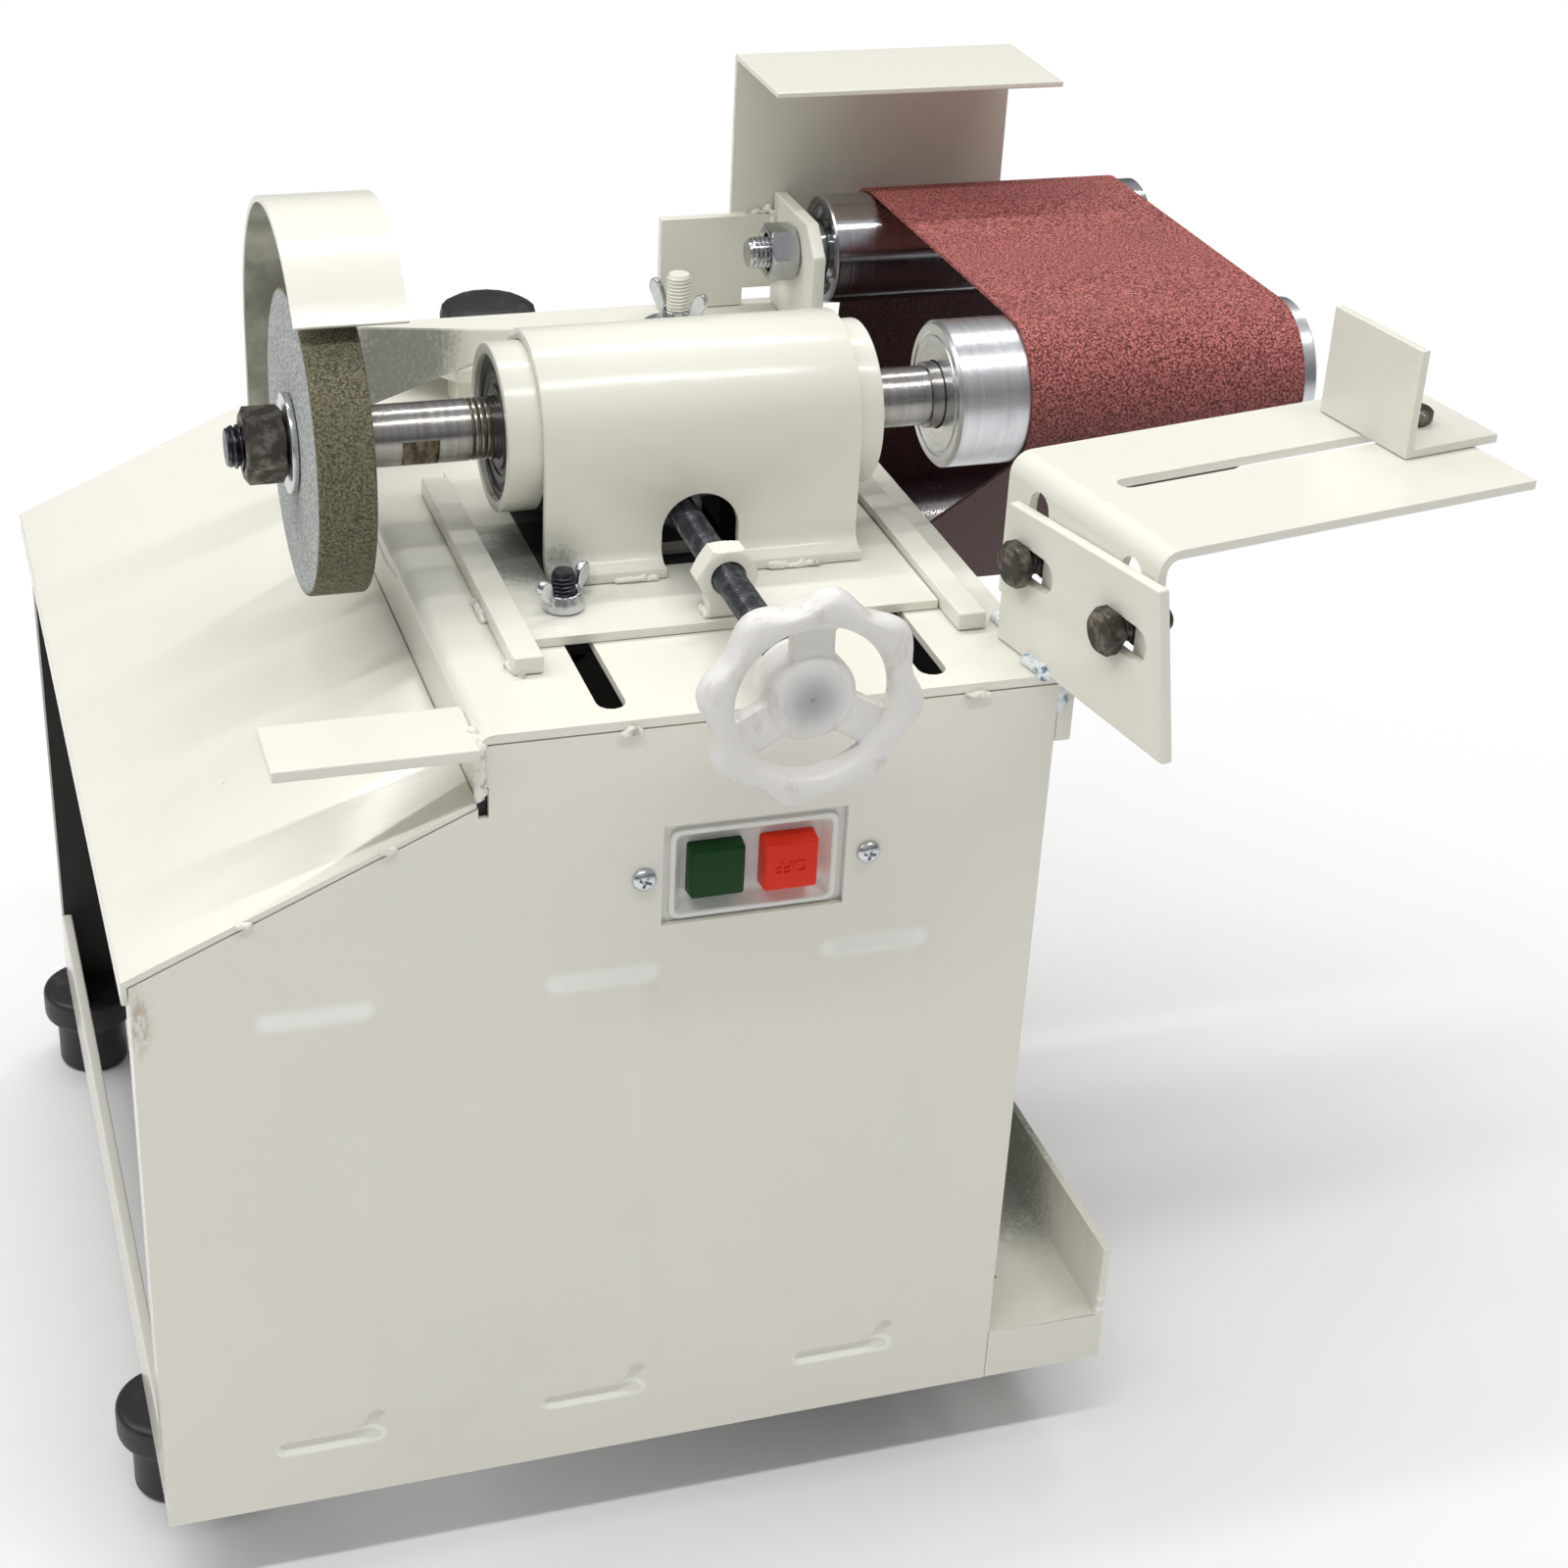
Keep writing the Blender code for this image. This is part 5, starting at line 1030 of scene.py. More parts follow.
# %% Front panel
def stops(edges, bands):
    """Grid lines that hit every edge given, close together inside the bands."""
    marks = sorted({*edges, *(end for band in bands for end in band)})
    lines = [marks[0]]
    for a, b in zip(marks, marks[1:]):
        inside = any(low < (a + b) / 2 < high for low, high in bands)
        count = max(1, round((b - a) / (FINE if inside else COARSE)))
        lines += [a + (b - a) * (i + 1) / count for i in range(count)]
    return lines


shape = bmesh.new()
centres = [LEFT + BEAD_FIRST + column * BEAD_PITCH for column in range(3)]
columns = stops((LEFT, FOLD, SWITCH_X0 - SEAT, SWITCH_X1 + SEAT, RIGHT),
                [(c - BEAD_HALF - 0.005, c + BEAD_HALF + 0.005) for c in centres])
rows = stops((BASE, SWITCH_Z0 - SEAT, SWITCH_Z1 + SEAT, panel_top),
             [(BEAD_LOW - 0.005, BEAD_LOW + HOOK + 0.006), (BEAD_HIGH - 0.007, BEAD_HIGH + 0.007)])
corner = {}


def grid_point(i, k):
    if (i, k) not in corner:
        x, z = columns[i], rows[k]
        corner[i, k] = shape.verts.new((x, FRONT - pressed(x, z), z))
    return corner[i, k]


for i in range(len(columns) - 1):
    for k in range(len(rows) - 1):
        x = (columns[i] + columns[i + 1]) / 2
        z = (rows[k] + rows[k + 1]) / 2
        if SWITCH_X0 < x < SWITCH_X1 and SWITCH_Z0 < z < SWITCH_Z1:
            continue
        if x < FOLD and rows[k] > COVER_LEFT + COVER_RISE + COARSE:
            continue
        around = ((i, k), (i + 1, k), (i + 1, k + 1), (i, k + 1))
        shape.faces.new([grid_point(*place) for place in around])
slope_normal = Vector((-COVER_RISE, 0, FOLD - LEFT)).normalized()
near = with_edges(face for face in shape.faces if face.calc_center_median().x < FOLD)
bmesh.ops.bisect_plane(shape, geom=near, plane_co=(LEFT, FRONT, COVER_LEFT), plane_no=slope_normal,
                       clear_outer=True, dist=WELD_DISTANCE)
bmesh.ops.recalc_face_normals(shape, faces=shape.faces)
if sum(f.normal.y for f in shape.faces) > 0:
    bmesh.ops.reverse_faces(shape, faces=shape.faces)
panel = finished(to_mesh(shape), ("SOLIDIFY", {"thickness": PANEL_T, "offset": -1.0}))
return_top = (LEFT + PANEL_T, FRONT + RETURN_DEPTH, COVER_LEFT - 0.006)
turn_in = ease(block((LEFT, FRONT + PANEL_T, BASE), return_top), SHEET_EDGE)
dress("front_panel", join(to_shape(panel), turn_in), CREAM)

# %% [markdown]
# ## Spindle saddle
#
# The arch is one bent sheet, so its feet roll outwards in a wide bend and its mouth for the screw is a
# rounded cut. The rings at its ends are turned, with a broken edge.

# %% Arch
ARCH_T = ARCH_HI.z - SPINDLE.z - ARCH_IN
ARCH_OUT = ARCH_IN + ARCH_T
BEND = 0.0085
ARC_STEPS = 48
ROLL_STEPS = 8
QUARTER = math.pi / 2


def rolled_foot(wall, floor_at, radius, turns):
    """A quarter round that leaves a wall and lands on a floor."""
    return [(wall + radius - radius * math.cos(a), floor_at + radius - radius * math.sin(a)) for a in turns]


def arch_outline():
    """Half of the arch in the YZ plane, from the spindle's axis, then the other half in mirror."""
    foot = ARCH_HI.y - SPINDLE.y
    low = ARCH_LO.z - SPINDLE.z
    roll = [QUARTER * i / ROLL_STEPS for i in range(ROLL_STEPS + 1)]
    half = arc(ARCH_OUT, QUARTER, 0, ARC_STEPS)
    half += rolled_foot(ARCH_OUT, low + ARCH_T, BEND - ARCH_T, roll)
    half += [(foot, low + ARCH_T), (foot, low)]
    half += rolled_foot(ARCH_IN, low, BEND, reversed(roll))
    half += arc(ARCH_IN, 0, QUARTER, ARC_STEPS)
    mirror = [(-u, v) for u, v in reversed(half)]
    return half[:-1] + mirror[:-1]


KEYHOLE_R = 0.0128
KEYHOLE_DEEP = 0.030
keyhole_x = SCREW.x + 0.0022
keyhole_z = SCREW.z - 0.001
below = ARCH_LO.z - 0.01
mouth = [(keyhole_x + u, keyhole_z + v) for u, v in arc(KEYHOLE_R, 0, math.pi, 32)]
mouth += [(keyhole_x - KEYHOLE_R, below), (keyhole_x + KEYHOLE_R, below)]
tool = upright(slab(mouth, KEYHOLE_DEEP), ARCH_LO.y - 0.002)
lying = Matrix(((0, 0, 1, ARCH_LO.x), (1, 0, 0, SPINDLE.y), (0, 1, 0, SPINDLE.z), (0, 0, 0, 1)))
arch = moved(slab(arch_outline(), ARCH_HI.x - ARCH_LO.x), lying)
bmesh.ops.recalc_face_normals(arch, faces=arch.faces)
arch = ease(to_shape(carved(to_mesh(arch), tool)), SHEET_EDGE)
dress("arch_saddle", arch, CREAM)

# %% Rings
RING_WALL = 0.0037
RING_EDGE = 0.0009
for side in ("left", "right"):
    lo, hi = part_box(f"bearing_ring_{side}")
    profile = collar(RING_R - RING_WALL, RING_R, hi.x - lo.x, RING_EDGE)
    ring = stand(lathe(profile), on_axis(SPINDLE, lo.x), ALONG_X)
    dress(f"bearing_ring_{side}", ring, CREAM)

# %% [markdown]
# ## Bearings
#
# A sealed ball bearing shows a steel outer race, a black seal with pressed steps, and a steel inner
# race. One profile holds them all, and each stretch of it names its finish.

# %% Bearings
BEARING_BORE = 0.0103
ON_STEEL = [1, 1, 0, 0, 0, 0, 0, 1, 1]
for side in ("left", "right"):
    lo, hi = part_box(f"bearing_{side}")
    deep = hi.x - lo.x
    inner_race = [(BEARING_BORE, 0.0), (0.0133, 0.0)]
    seal = [(0.0136, 0.0009), (0.0152, 0.0009), (0.0156, 0.0003), (0.0184, 0.0003), (0.0188, 0.0008),
            (0.0202, 0.0008)]
    outer_race = [(0.0206, 0.0), (hi.z - SPINDLE.z, 0.0)]
    face = inner_race + seal + outer_race
    back = [(r, deep - h) for r, h in reversed(face)]
    marks = ON_STEEL + [1] + ON_STEEL[::-1] + [1]
    shape = stand(lathe(face + back, marks=marks), on_axis(SPINDLE, lo.x), ALONG_X)
    dress(f"bearing_{side}", shape, SEAL, STEEL)

# %% [markdown]
# ## Threads, nuts and bolts
#
# A thread is a cylinder whose radius rises and falls along a helix, so a grid with that rule gives it
# without sweeping anything. A nut is a hexagon cut by a shallow cone at both ends, which leaves the
# curved chamfers that every real nut has; taking the smaller of the two radii at each angle does the
# same.

# %% Threads, nuts and bolts
ROWS_PER_TURN = 7
CREST_FLAT = 1.35
RUN_IN = 1.2
END_CUT = 1.1
CONE_SHARE = 0.478
CONE_SLOPE = 0.577
MOUTH_SHARE = 1.12
MOUTH_DEEP = 0.0012


def threaded(radius, pitch, length, depth, steps=40):
    """A threaded bar along +Z with chamfered ends."""

    def flank(a, z):
        phase = (z / pitch - a / (2 * math.pi)) % 1.0
        crest = min(1.0, CREST_FLAT * abs(2 * phase - 1))
        ease_in = min(1.0, min(z, length - z) / (RUN_IN * pitch))
        return min(radius - depth * (1 - crest), radius - END_CUT * depth * (1 - ease_in))

    shape = bmesh.new()
    count = max(8, round(length / pitch * ROWS_PER_TURN))
    heights = [length * k / count for k in range(count + 1)]
    rings = [circle(shape, steps, z, lambda a: flank(a, z)) for z in heights]
    for low, high in zip(rings, rings[1:]):
        bridge(shape, low, high)
    shape.faces.new(list(reversed(rings[0])))
    shape.faces.new(rings[-1])
    return shape


def hexagonal(across, length, bore=0.0, chamfer=(True, True), steps=96):
    """A nut, or a head where there is no bore, along +Z."""
    cone = CONE_SHARE * across
    drop = (across / math.sqrt(3) - cone) * CONE_SLOPE

    def reach(a, room):
        flat = (a + math.pi / 6) % (math.pi / 3) - math.pi / 6
        return min(across / 2 / math.cos(flat), cone + room / CONE_SLOPE)

    levels = [0, 0.25, 0.5, 0.75, 1.0]
    heights = [(drop * t, drop * t if chamfer[0] else drop) for t in levels]
    heights += [(length - drop * t, drop * t if chamfer[1] else drop) for t in reversed(levels)]
    shape = bmesh.new()
    rings = [circle(shape, steps, z, lambda a: reach(a, room)) for z, room in heights]
    if bore:
        mouth = bore * MOUTH_SHARE
        sunk = [(bore, MOUTH_DEEP), (mouth, 0.0), (mouth, length), (bore, length - MOUTH_DEEP)]
        holes = [circle(shape, steps, z, lambda a: r) for r, z in sunk]
        rings = holes[:2] + rings + holes[2:]
    for low, high in zip(rings, rings[1:]):
        bridge(shape, low, high)
    if bore:
        bridge(shape, rings[-1], rings[0])
    else:
        shape.faces.new(list(reversed(rings[0])))
        shape.faces.new(rings[-1])
    bmesh.ops.recalc_face_normals(shape, faces=shape.faces)
    return shape


# %% Nuts of the spindle and the idler
WHEEL_AF = 0.0215
IDLER_AF = 0.0190
IDLER_SHORT = 0.002
STUD_R = 0.007
STUD_BORE = STUD_R + SEAT
wheel_nut_lo, wheel_nut_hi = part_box("wheel_nut")
nut = hexagonal(WHEEL_AF, wheel_nut_hi.x - wheel_nut_lo.x, STUD_BORE)
nut = stand(nut, on_axis(SPINDLE, wheel_nut_lo.x), ALONG_X)
dress("wheel_nut", nut, OXIDE)
lo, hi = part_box("idler_nut")
nut = hexagonal(IDLER_AF, hi.x - lo.x - IDLER_SHORT, STUD_BORE)
nut = stand(nut, on_axis(REAR, lo.x + IDLER_SHORT), ALONG_X)
dress("idler_nut", nut, REAR_STEEL)

# %% Bolts of the work rest and the fence
REST_AF = 0.013
REST_HEAD = 0.0045
REST_NUT = 0.008
REST_GRIP = 0.0079
REST_BACK = 0.0122
REST_R = 0.0042
REST_PITCH = 0.0015
REST_SHANK = 0.0202
THREAD_DEEP = 0.0008
for end in ("back", "front"):
    start = middle(f"rest_bolt_{end}") - REST_BACK * REST_X
    head = stand(hexagonal(REST_AF, REST_HEAD, 0.0, (True, False)), start, REST_X)
    shank = threaded(REST_R, REST_PITCH, REST_SHANK, THREAD_DEEP)
    shank = stand(shank, start + (REST_HEAD - SEAT) * REST_X, REST_X)
    nut = hexagonal(REST_AF, REST_NUT, REST_R - THREAD_DEEP / 2)
    nut = stand(nut, start + (REST_HEAD + REST_GRIP) * REST_X, REST_X)
    dress(f"rest_bolt_{end}", join(head, shank, nut), OXIDE)

FENCE_AF = 0.010
FENCE_HEAD = 0.0045
FENCE_R = 0.003
FENCE_PITCH = 0.001
FENCE_DEEP = 0.0005
lo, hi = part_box("fence_bolt")
at = middle("fence_bolt")
shank_z = lo.z + 0.0002
head = stand(hexagonal(FENCE_AF, FENCE_HEAD), (at.x, at.y, hi.z - FENCE_HEAD), ALONG_Z)
shank = threaded(FENCE_R, FENCE_PITCH, hi.z - lo.z - FENCE_HEAD - 0.0001, FENCE_DEEP)
shank = stand(shank, (at.x, at.y, shank_z), ALONG_Z)
nut = stand(hexagonal(FENCE_AF, FENCE_HEAD, FENCE_R - SEAT), (at.x, at.y, lo.z), ALONG_Z)
dress("fence_bolt", join(head, shank, nut), OXIDE)

# %% Feed nut and clamp bolt
FEED_AF = 0.018
FEED_BORE = 0.0052
FOOT_HALF = 0.006
FOOT_IN = 0.0004
FOOT_TOP = SCREW.z - 0.0065
feed_lo, feed_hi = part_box("feed_nut")
nut = stand(hexagonal(FEED_AF, feed_hi.y - feed_lo.y, FEED_BORE), (SCREW.x, feed_lo.y, SCREW.z), ALONG_Y)
foot = block((SCREW.x - FOOT_HALF, feed_lo.y + FOOT_IN, feed_lo.z),
             (SCREW.x + FOOT_HALF, feed_hi.y - FOOT_IN, FOOT_TOP))
dress("feed_nut", join(nut, ease(foot, BAR_EDGE)), CREAM)

CLAMP_AF = 0.013
CLAMP_HEAD = 0.005
CLAMP_R = 0.004
FINE_PITCH = 0.00135
lo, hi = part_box("clamp_bolt")
at = middle("clamp_bolt")
shank_z = lo.z + CLAMP_HEAD - 0.0002
head = stand(hexagonal(CLAMP_AF, CLAMP_HEAD), (at.x, at.y, lo.z), ALONG_Z)
shank = stand(threaded(CLAMP_R, FINE_PITCH, hi.z - shank_z, THREAD_DEEP), (at.x, at.y, shank_z), ALONG_Z)
dress("clamp_bolt", join(head, shank), BLACK)

# %% [markdown]
# ## Spindle
#
# The shaft is turned bar with a threaded left end, wrench flats and grooves beside the bearing. It is
# one profile, cut by two boxes for the flats, and its thread is a piece of its own.

# %% Spindle
shaft_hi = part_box("spindle_shaft")[1]
wheel_lo, wheel_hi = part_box("grinding_wheel")
ring_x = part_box("bearing_ring_left")[0].x
roller_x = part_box("drive_roller")[0].x
shoulder_x = wheel_hi.x + SEAT
groove_x = ring_x - 0.0075
step_x = roller_x - 0.0045
GROOVES = 4
GROOVE_STEP = 0.0019
CUT_R = SHAFT_R - 0.0006
STEP_R = SHAFT_R + 0.0011
END_BREAK = 0.0008
outline = [(0, shoulder_x), (STUD_R, shoulder_x), (CUT_R, shoulder_x), (SHAFT_R, shoulder_x + 0.0006)]
for k in range(GROOVES):
    at = groove_x + GROOVE_STEP * k
    outline += [(SHAFT_R, at), (CUT_R, at + 0.0003), (CUT_R, at + 0.0009), (SHAFT_R, at + 0.0012)]
outline += [(SHAFT_R, step_x), (STEP_R, step_x + 0.0003)]
outline += [(STEP_R, roller_x - SEAT), (SHAFT_R, roller_x - SEAT)]
outline += [(SHAFT_R, shaft_hi.x - END_BREAK), (SHAFT_R - END_BREAK, shaft_hi.x), (0, shaft_hi.x)]
shaft = to_mesh(stand(lathe(outline), on_axis(SPINDLE, 0), ALONG_X))
FLAT = SHAFT_R - 0.0020
FLAT_TURN = math.radians(28)
FLAT_REACH = 0.02
for side in (0, math.pi):
    tool = block((ring_x - 0.030, -FLAT_REACH, -FLAT_REACH), (ring_x - 0.018, -FLAT, FLAT_REACH))
    turned_to = Matrix.Translation(on_axis(SPINDLE, 0)) @ Matrix.Rotation(FLAT_TURN + side, 4, "X")
    shaft = carved(shaft, moved(tool, turned_to))
dress("spindle_shaft", shaft, STEEL)

STUD_OUT = 0.0050
STUD_PITCH = 0.002
STUD_DEEP = 0.0011
stud_x = wheel_nut_lo.x - STUD_OUT
stud = threaded(STUD_R, STUD_PITCH, shoulder_x - stud_x, STUD_DEEP)
stud = stand(stud, on_axis(SPINDLE, stud_x), ALONG_X)
piece("spindle_thread", to_mesh(stud), [BLACK], "spindle")

# %% Grinding wheel and drive roller
WASHER_EDGE = 0.0006
WHEEL_EDGE = 0.0011
lo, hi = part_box("wheel_washer")
profile = collar(STUD_BORE, hi.z - SPINDLE.z, hi.x - lo.x, WASHER_EDGE)
washer = stand(lathe(profile), on_axis(SPINDLE, lo.x), ALONG_X)
dress("wheel_washer", washer, ZINC)

profile = collar(STUD_BORE, WHEEL_R, wheel_hi.x - wheel_lo.x, WHEEL_EDGE, 4)
wheel = stand(lathe(profile, 192), on_axis(SPINDLE, wheel_lo.x), ALONG_X)
dress("grinding_wheel", wheel, STONE)

ROLLER_BORE = 0.0115
ROLLER_EDGE = 0.0013
ROLLER_END = 0.0011
drive_lo, drive_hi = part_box("drive_roller")
drive_r = drive_hi.z - SPINDLE.z
drive_l = drive_hi.x - drive_lo.x
turned_groove = [(0.0195, 0.0), (0.0199, 0.0004), (0.0206, 0.0004), (0.0210, 0.0)]
outline = [(ROLLER_BORE, 0.0), *turned_groove, (drive_r - ROLLER_EDGE, 0.0), (drive_r, ROLLER_END)]
outline += [(drive_r, drive_l - ROLLER_END), (drive_r - ROLLER_EDGE, drive_l), (ROLLER_BORE, drive_l)]
roller = stand(lathe(outline, 128), on_axis(SPINDLE, drive_lo.x), ALONG_X)
dress("drive_roller", roller, ALUMINIUM)
PULLEY_EDGE = 0.0003
eased("spindle_pulley", STEEL, PULLEY_EDGE)
eased("motor_pulley", LOWER_STEEL, PULLEY_EDGE)

# %% [markdown]
# ## Idlers
#
# Each idler is a ground tube on two bearings. Its end shows a thin wall, then a recess with a black
# seal, then the axle. The recess is part of the turned profile.

# %% Idlers
ON_SEAL = [1, 1, 1, 1, 1, 1, 0, 0, 0]
for node, axis, finish in (("rear_idler", REAR, REAR_STEEL), ("lower_idler", LOWER, LOWER_STEEL)):
    lo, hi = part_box(node)
    r = hi.z - axis.z
    length = hi.x - lo.x
    hub = [(STUD_BORE, 0.0030), (0.0105, 0.0030)]
    seal = [(0.0110, 0.0036), (0.0150, 0.0036), (0.0156, 0.0026), (0.0166, 0.0026)]
    wall = [(0.0166, 0.0004), (0.0170, 0.0), (r - 0.0007, 0.0), (r, 0.0007)]
    face = hub + seal + wall
    back = [(radius, length - h) for radius, h in reversed(face)]
    marks = ON_SEAL + [0] + ON_SEAL[::-1] + [0]
    roller = stand(lathe(face + back, 128, marks=marks), on_axis(axis, lo.x), ALONG_X)
    dress(node, roller, finish, SEAL)

AXLE_COLLAR = 0.0115
AXLE_STUD_R = 0.0060
AXLE_PITCH = 0.00175
AXLE_DEEP = 0.0010
axle_lo, axle_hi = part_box("idler_axle")
bracket_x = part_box("idler_bracket")[1].x
start_x = bracket_x - 0.006
near_x = bracket_x + SEAT
far_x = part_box("rear_idler")[0].x - SEAT
outline = [(0, start_x), (STUD_R, start_x), (STUD_R, near_x), (AXLE_COLLAR, near_x), (AXLE_COLLAR, far_x)]
outline += [(STUD_R, far_x), (STUD_R, axle_hi.x), (0, axle_hi.x)]
axle = stand(lathe(outline, 64), on_axis(REAR, 0), ALONG_X)
stud = threaded(AXLE_STUD_R, AXLE_PITCH, start_x + 0.0005 - axle_lo.x, AXLE_DEEP)
stud = stand(stud, on_axis(REAR, axle_lo.x), ALONG_X)
dress("idler_axle", join(axle, stud), REAR_STEEL)
eased("lower_axle", LOWER_STEEL, PULLEY_EDGE)

# %% [markdown]
# ## Sanding belt
#
# The belt runs in straight lines between rollers and in arcs round them. Walking that path gives one
# row of points for the outside and one for the inside. The grit, the cloth and the pale cut edge each
# have a finish.

# %% Path of the belt
belt_lo, belt_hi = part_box("sanding_belt")
BELT_T = 0.0012
BELT_STEP = 0.002
ACROSS = 26


def belt_path(rollers):
    """Points and outward directions of a closed belt about (y, z, radius) rollers, anticlockwise."""
    count = len(rollers)
    normals = []
    for i in range(count):
        u0, v0, r0 = rollers[i]
        u1, v1, r1 = rollers[(i + 1) % count]
        span = math.hypot(u1 - u0, v1 - v0)
        along = ((u1 - u0) / span, (v1 - v0) / span)
        lean = (r0 - r1) / span
        side = math.sqrt(1 - lean * lean)
        normals.append(math.atan2(along[1] * lean - along[0] * side, along[0] * lean + along[1] * side))
    path = []
    for i in range(count):
        u, v, r = rollers[i]
        start, stop = normals[i - 1], normals[i]
        while stop < start:
            stop += 2 * math.pi
        bends = max(6, round((stop - start) * r / BELT_STEP))
        for k in range(bends + 1):
            a = start + (stop - start) * k / bends
            path.append((u + r * math.cos(a), v + r * math.sin(a), a))
        u1, v1, r1 = rollers[(i + 1) % count]
        first = Vector((u + r * math.cos(stop), v + r * math.sin(stop)))
        last = Vector((u1 + r1 * math.cos(stop), v1 + r1 * math.sin(stop)))
        runs = max(2, round((last - first).length / BELT_STEP))
        for k in range(1, runs):
            point = first.lerp(last, k / runs)
            path.append((point.x, point.y, stop))
    return path


# %% Sanding belt
rear_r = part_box("rear_idler")[1].z - REAR.z
lower_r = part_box("lower_idler")[1].z - LOWER.z
rollers = ((SPINDLE, drive_r), (LOWER, lower_r), (REAR, rear_r))
path = belt_path([(axis.y, axis.z, r + SEAT) for axis, r in rollers])
columns = [belt_lo.x + (belt_hi.x - belt_lo.x) * i / ACROSS for i in range(ACROSS + 1)]
shape = bmesh.new()
skins = []
for lift in (BELT_T, 0.0):
    rows = []
    for u, v, a in path:
        y, z = u + lift * math.cos(a), v + lift * math.sin(a)
        rows.append([shape.verts.new((x, y, z)) for x in columns])
    skins.append(rows)
for k in range(len(path)):
    n = (k + 1) % len(path)
    for mark, rows in enumerate(skins):
        for i in range(ACROSS):
            shape.faces.new((rows[k][i], rows[k][i + 1], rows[n][i + 1], rows[n][i])).material_index = mark
    for i in (0, ACROSS):
        shape.faces.new((skins[0][k][i], skins[0][n][i], skins[1][n][i], skins[1][k][i])).material_index = 2
bmesh.ops.recalc_face_normals(shape, faces=shape.faces)
dress("sanding_belt", shape, GRIT, CLOTH, CUT_EDGE)

# %% [markdown]
# ## Feed screw and handwheel
#
# The handwheel is an injection moulding: a fat rim with eight finger lobes, three broad spokes and a
# domed hub with a sprue dimple. Separate shapes would leave hard seams, so they are melted into one
# skin with a voxel remesh and smoothed, as a mould maker's fillets would.

# %% Handwheel
screw_lo, screw_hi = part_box("feed_screw")
HAND_Y = screw_lo.y + 0.0035
HAND_AT = Vector((SCREW.x, HAND_Y, SCREW.z))
HAND_R = 0.0286
LOBE = 0.0021
LOBES = 8
LOBE_TURN = 1.2
RIM_IN = 0.0053
RIM_OUT = 0.0043
RIM_DEEP = 0.0060
HUB_R = 0.0140
HUB_FRONT = 0.0022
HUB_BACK = -0.0160
SPOKE_W = 0.0128
SPOKE_BACK = -0.0050
SPOKE_FRONT = 0.0006
SPOKES = 3
MOULD_VOXEL = 0.00062


def rim():
    """A tube about Z that swells outwards at each lobe and stays round inside."""
    shape = bmesh.new()
    around, section = 192, 24
    rings = []
    for i in range(around):
        a = 2 * math.pi * i / around
        out = RIM_OUT + LOBE * math.cos(LOBES * a + LOBE_TURN)
        ring = []
        for k in range(section):
            b = 2 * math.pi * k / section
            r = HAND_R + math.cos(b) * (out if math.cos(b) > 0 else RIM_IN)
            ring.append(shape.verts.new((r * math.cos(a), r * math.sin(a), RIM_DEEP * math.sin(b))))
        rings.append(ring)
    for i, ring in enumerate(rings):
        after = rings[(i + 1) % around]
        for k in range(section):
            n = (k + 1) % section
            shape.faces.new((ring[k], after[k], after[n], ring[n]))
    bmesh.ops.recalc_face_normals(shape, faces=shape.faces)
    return shape


def spoke(angle):
    shape = block((HUB_R - 0.006, -SPOKE_W / 2, SPOKE_BACK), (HAND_R, SPOKE_W / 2, SPOKE_FRONT))
    return moved(shape, Matrix.Rotation(angle, 4, "Z"))


sprue = [(0, HUB_FRONT - 0.0012), (0.0006, HUB_FRONT - 0.0012), (0.0010, HUB_FRONT)]
dome = [(0.0090, HUB_FRONT - 0.0003), (HUB_R - 0.0014, HUB_FRONT - 0.0010), (HUB_R, HUB_FRONT - 0.0028)]
skirt = [(HUB_R - 0.0006, HUB_BACK + 0.003), (HUB_R - 0.0020, HUB_BACK), (0, HUB_BACK)]
hub = lathe(sprue + dome + skirt)
rough = join(rim(), hub, *(spoke(QUARTER + 2 * math.pi * i / SPOKES) for i in range(SPOKES)))
moulding = to_shape(fused(to_mesh(rough), MOULD_VOXEL, 5))
stand_front = Matrix.Translation(HAND_AT) @ Matrix.Rotation(QUARTER, 4, "X")
dress("handwheel", moved(moulding, stand_front), NYLON)

# %% Feed screw
SCREW_PITCH = 0.0015
STOP_L = 0.004
STOP_R = 0.0078
STOP_BORE = 0.0035
STOP_EDGE = 0.0005
ANCHOR_T = 0.010
thread_y = HAND_Y + 0.002
thread = threaded(SCREW_R, SCREW_PITCH, screw_hi.y - thread_y, SCREW_DEEP)
thread = stand(thread, (SCREW.x, thread_y, SCREW.z), ALONG_Y)
anchor_y = SPINDLE.y - ANCHOR_T
screw_stops = []
for y in (anchor_y - SEAT - STOP_L, anchor_y + ANCHOR_T + SEAT):
    ring = lathe(collar(STOP_BORE, STOP_R, STOP_L, STOP_EDGE), 48)
    screw_stops.append(stand(ring, (SCREW.x, y, SCREW.z), ALONG_Y))
dress("feed_screw", join(thread, *screw_stops), FEED)

# %% [markdown]
# ## Wing nuts
#
# A wing nut is a cone with two ears that lean out and end in a round tip. The ears are slabs with a
# rounded outline; fused with the cone they lose their seams, as cast metal does.

# %% Wing nuts
EAR_T = 0.0024
CONE_TOP = 0.0058
WING_VOXEL = 0.00035


